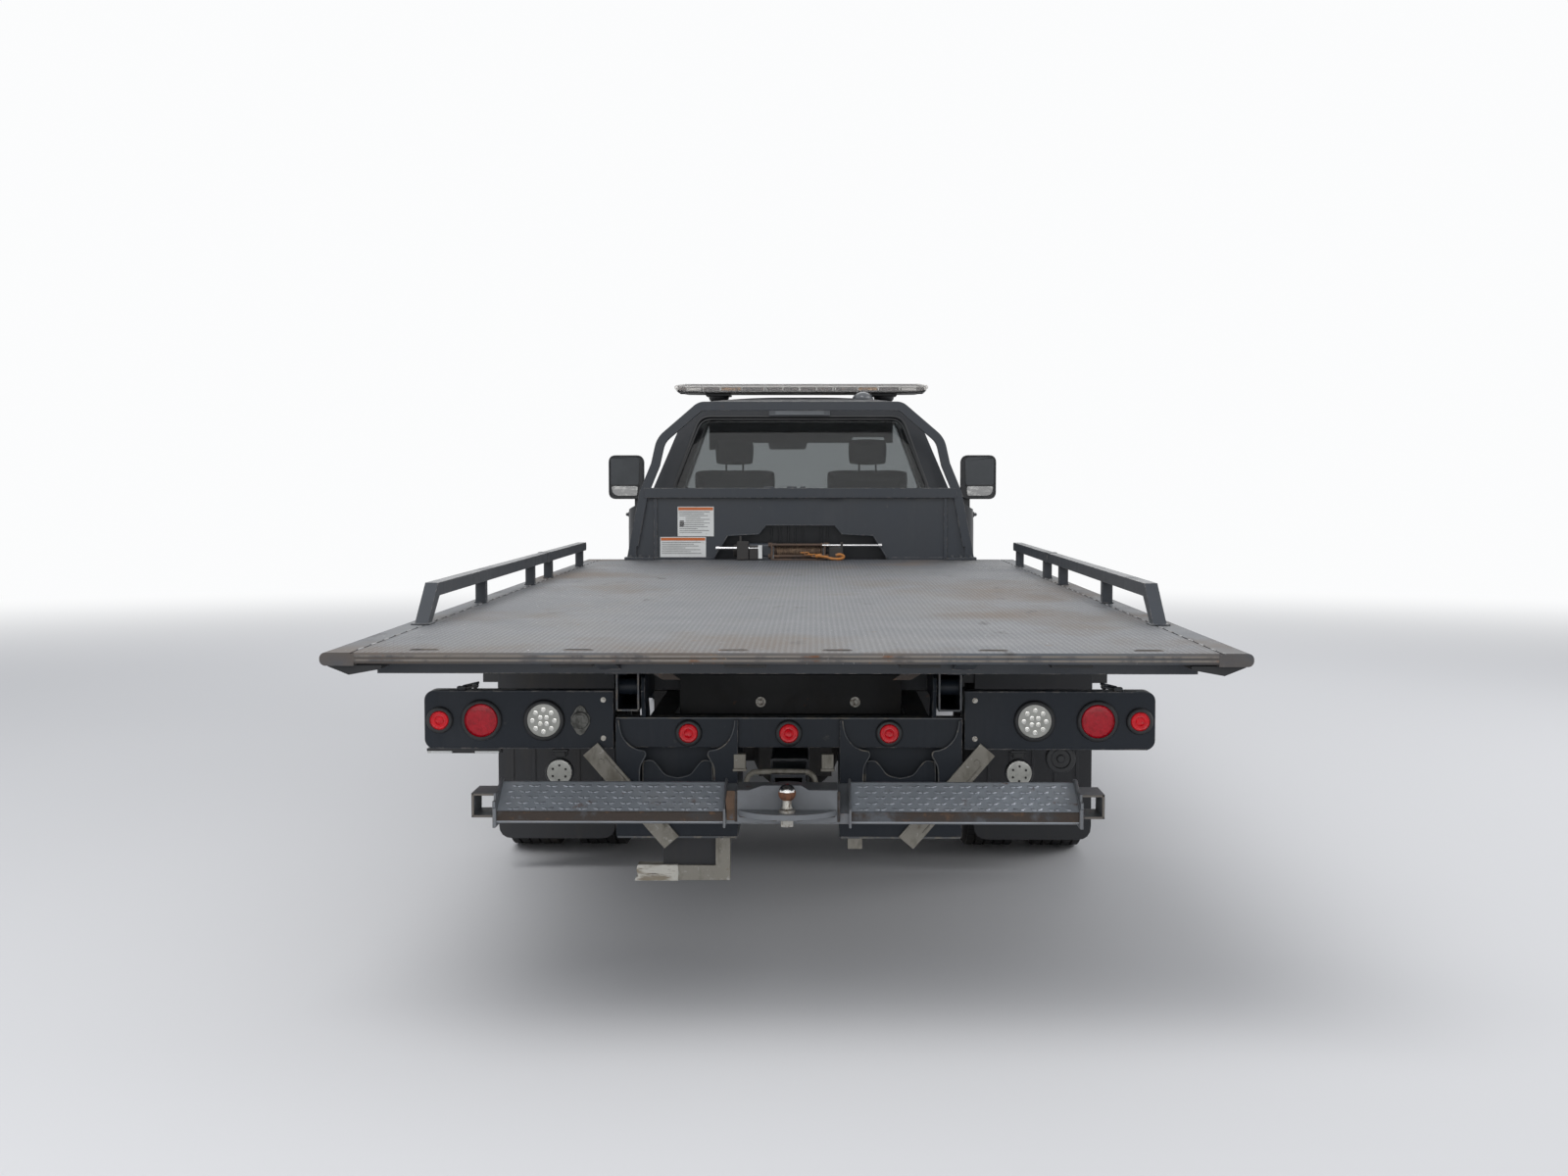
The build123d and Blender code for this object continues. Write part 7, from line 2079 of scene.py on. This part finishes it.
# Camera, floor and light: the lens and the place follow the deck's edges
# in the photograph, and the floor fades into a white backdrop
lens_px = 1914
camera_data = bpy.data.cameras.new("camera")
camera_data.sensor_width = 36
camera_data.lens = 36 * lens_px / 1600
camera_data.clip_end = 200
camera = bpy.data.objects.new("camera", camera_data)
bpy.context.scene.collection.objects.link(camera)
camera.location = (0.074, tail - 4.87, 1.53)
pitch = math.atan((600 - 490) / lens_px)
yaw = math.atan((830 - 800) / lens_px)
camera.rotation_euler = (math.pi / 2 - pitch, 0, yaw)
bpy.context.scene.camera = camera


def seen_rays(tree):
    """Gives 1 for what the camera sees, straight, through glass or in a mirror, and 0 for light."""
    ray = tree.nodes.new("ShaderNodeLightPath")
    seen = ray.outputs["Is Camera Ray"]
    for kind in ("Is Transmission Ray", "Is Glossy Ray"):
        either = tree.nodes.new("ShaderNodeMath")
        either.operation = "ADD"
        either.use_clamp = True
        tree.links.new(seen, either.inputs[0])
        tree.links.new(ray.outputs[kind], either.inputs[1])
        seen = either.outputs[0]
    return seen


world = bpy.data.worlds.new("studio")
bpy.context.scene.world = world
world.use_nodes = True
sky = world.node_tree
sky.nodes["Background"].inputs["Color"].default_value = (0.80, 0.83, 0.88, 1)
sky.nodes["Background"].inputs["Strength"].default_value = 0.62
white_sky = sky.nodes.new("ShaderNodeBackground")
white_sky.inputs["Color"].default_value = (0.97, 0.975, 0.98, 1)
seen_sky = sky.nodes.new("ShaderNodeMixShader")
sky.links.new(seen_rays(sky), seen_sky.inputs[0])
sky.links.new(sky.nodes["Background"].outputs[0], seen_sky.inputs[1])
sky.links.new(white_sky.outputs[0], seen_sky.inputs[2])
sky.links.new(seen_sky.outputs[0], sky.nodes["World Output"].inputs["Surface"])
floor_mesh = bpy.data.meshes.new("floor")
floor_bm = bmesh.new()
bmesh.ops.create_grid(floor_bm, x_segments=1, y_segments=1, size=60)
floor_bm.to_mesh(floor_mesh)
floor_bm.free()
floor = bpy.data.objects.new("floor", floor_mesh)
bpy.context.scene.collection.objects.link(floor)
floor_paint = bpy.data.materials.new("floor")
floor_paint.use_nodes = True
floor_tree = floor_paint.node_tree
floor_tree.nodes["Principled BSDF"].inputs["Base Color"].default_value = (0.60, 0.60, 0.61, 1)
floor_tree.nodes["Principled BSDF"].inputs["Roughness"].default_value = 0.85
backdrop, faded = floor_tree.nodes.new("ShaderNodeEmission"), floor_tree.nodes.new(
    "ShaderNodeMixShader"
)
backdrop.inputs["Color"].default_value = (0.97, 0.975, 0.98, 1)
spot, reach = floor_tree.nodes.new("ShaderNodeTexCoord"), floor_tree.nodes.new("ShaderNodeVectorMath")
reach.operation = "LENGTH"
fade = floor_tree.nodes.new("ShaderNodeMapRange")
fade.interpolation_type = "SMOOTHSTEP"
fade.inputs["From Min"].default_value = 7.0
fade.inputs["From Max"].default_value = 18.0
floor_tree.links.new(spot.outputs["Object"], reach.inputs[0])
floor_tree.links.new(reach.outputs["Value"], fade.inputs["Value"])
far_and_seen = floor_tree.nodes.new("ShaderNodeMath")
far_and_seen.operation = "MULTIPLY"
floor_tree.links.new(fade.outputs["Result"], far_and_seen.inputs[0])
floor_tree.links.new(seen_rays(floor_tree), far_and_seen.inputs[1])
floor_tree.links.new(far_and_seen.outputs[0], faded.inputs[0])
floor_tree.links.new(floor_tree.nodes["Principled BSDF"].outputs[0], faded.inputs[1])
floor_tree.links.new(backdrop.outputs[0], faded.inputs[2])
floor_tree.links.new(faded.outputs[0], floor_tree.nodes["Material Output"].inputs["Surface"])
floor_mesh.materials.append(floor_paint)


def lamp(name, place, aim, size, power):
    data = bpy.data.lights.new(name, "AREA")
    data.shape = "RECTANGLE"
    data.size, data.size_y = size
    data.energy = power
    made = bpy.data.objects.new(name, data)
    bpy.context.scene.collection.objects.link(made)
    made.location = place
    made.rotation_euler = (Vector(aim) - Vector(place)).to_track_quat("-Z", "Y").to_euler()


lamp("key_light", (-3, -7, 8.5), (0, -3, 0.8), (7, 5), 560)
lamp("side_light", (8, -1, 4.5), (0, 0, 0.9), (8, 3), 230)
lamp("far_light", (0, 9, 7), (0, 1, 1), (11, 5), 340)
lamp("rear_fill", (0, -11, 2.2), (0, -4, 0.6), (7, 2.5), 95)
bpy.context.scene.view_settings.view_transform = "Standard"
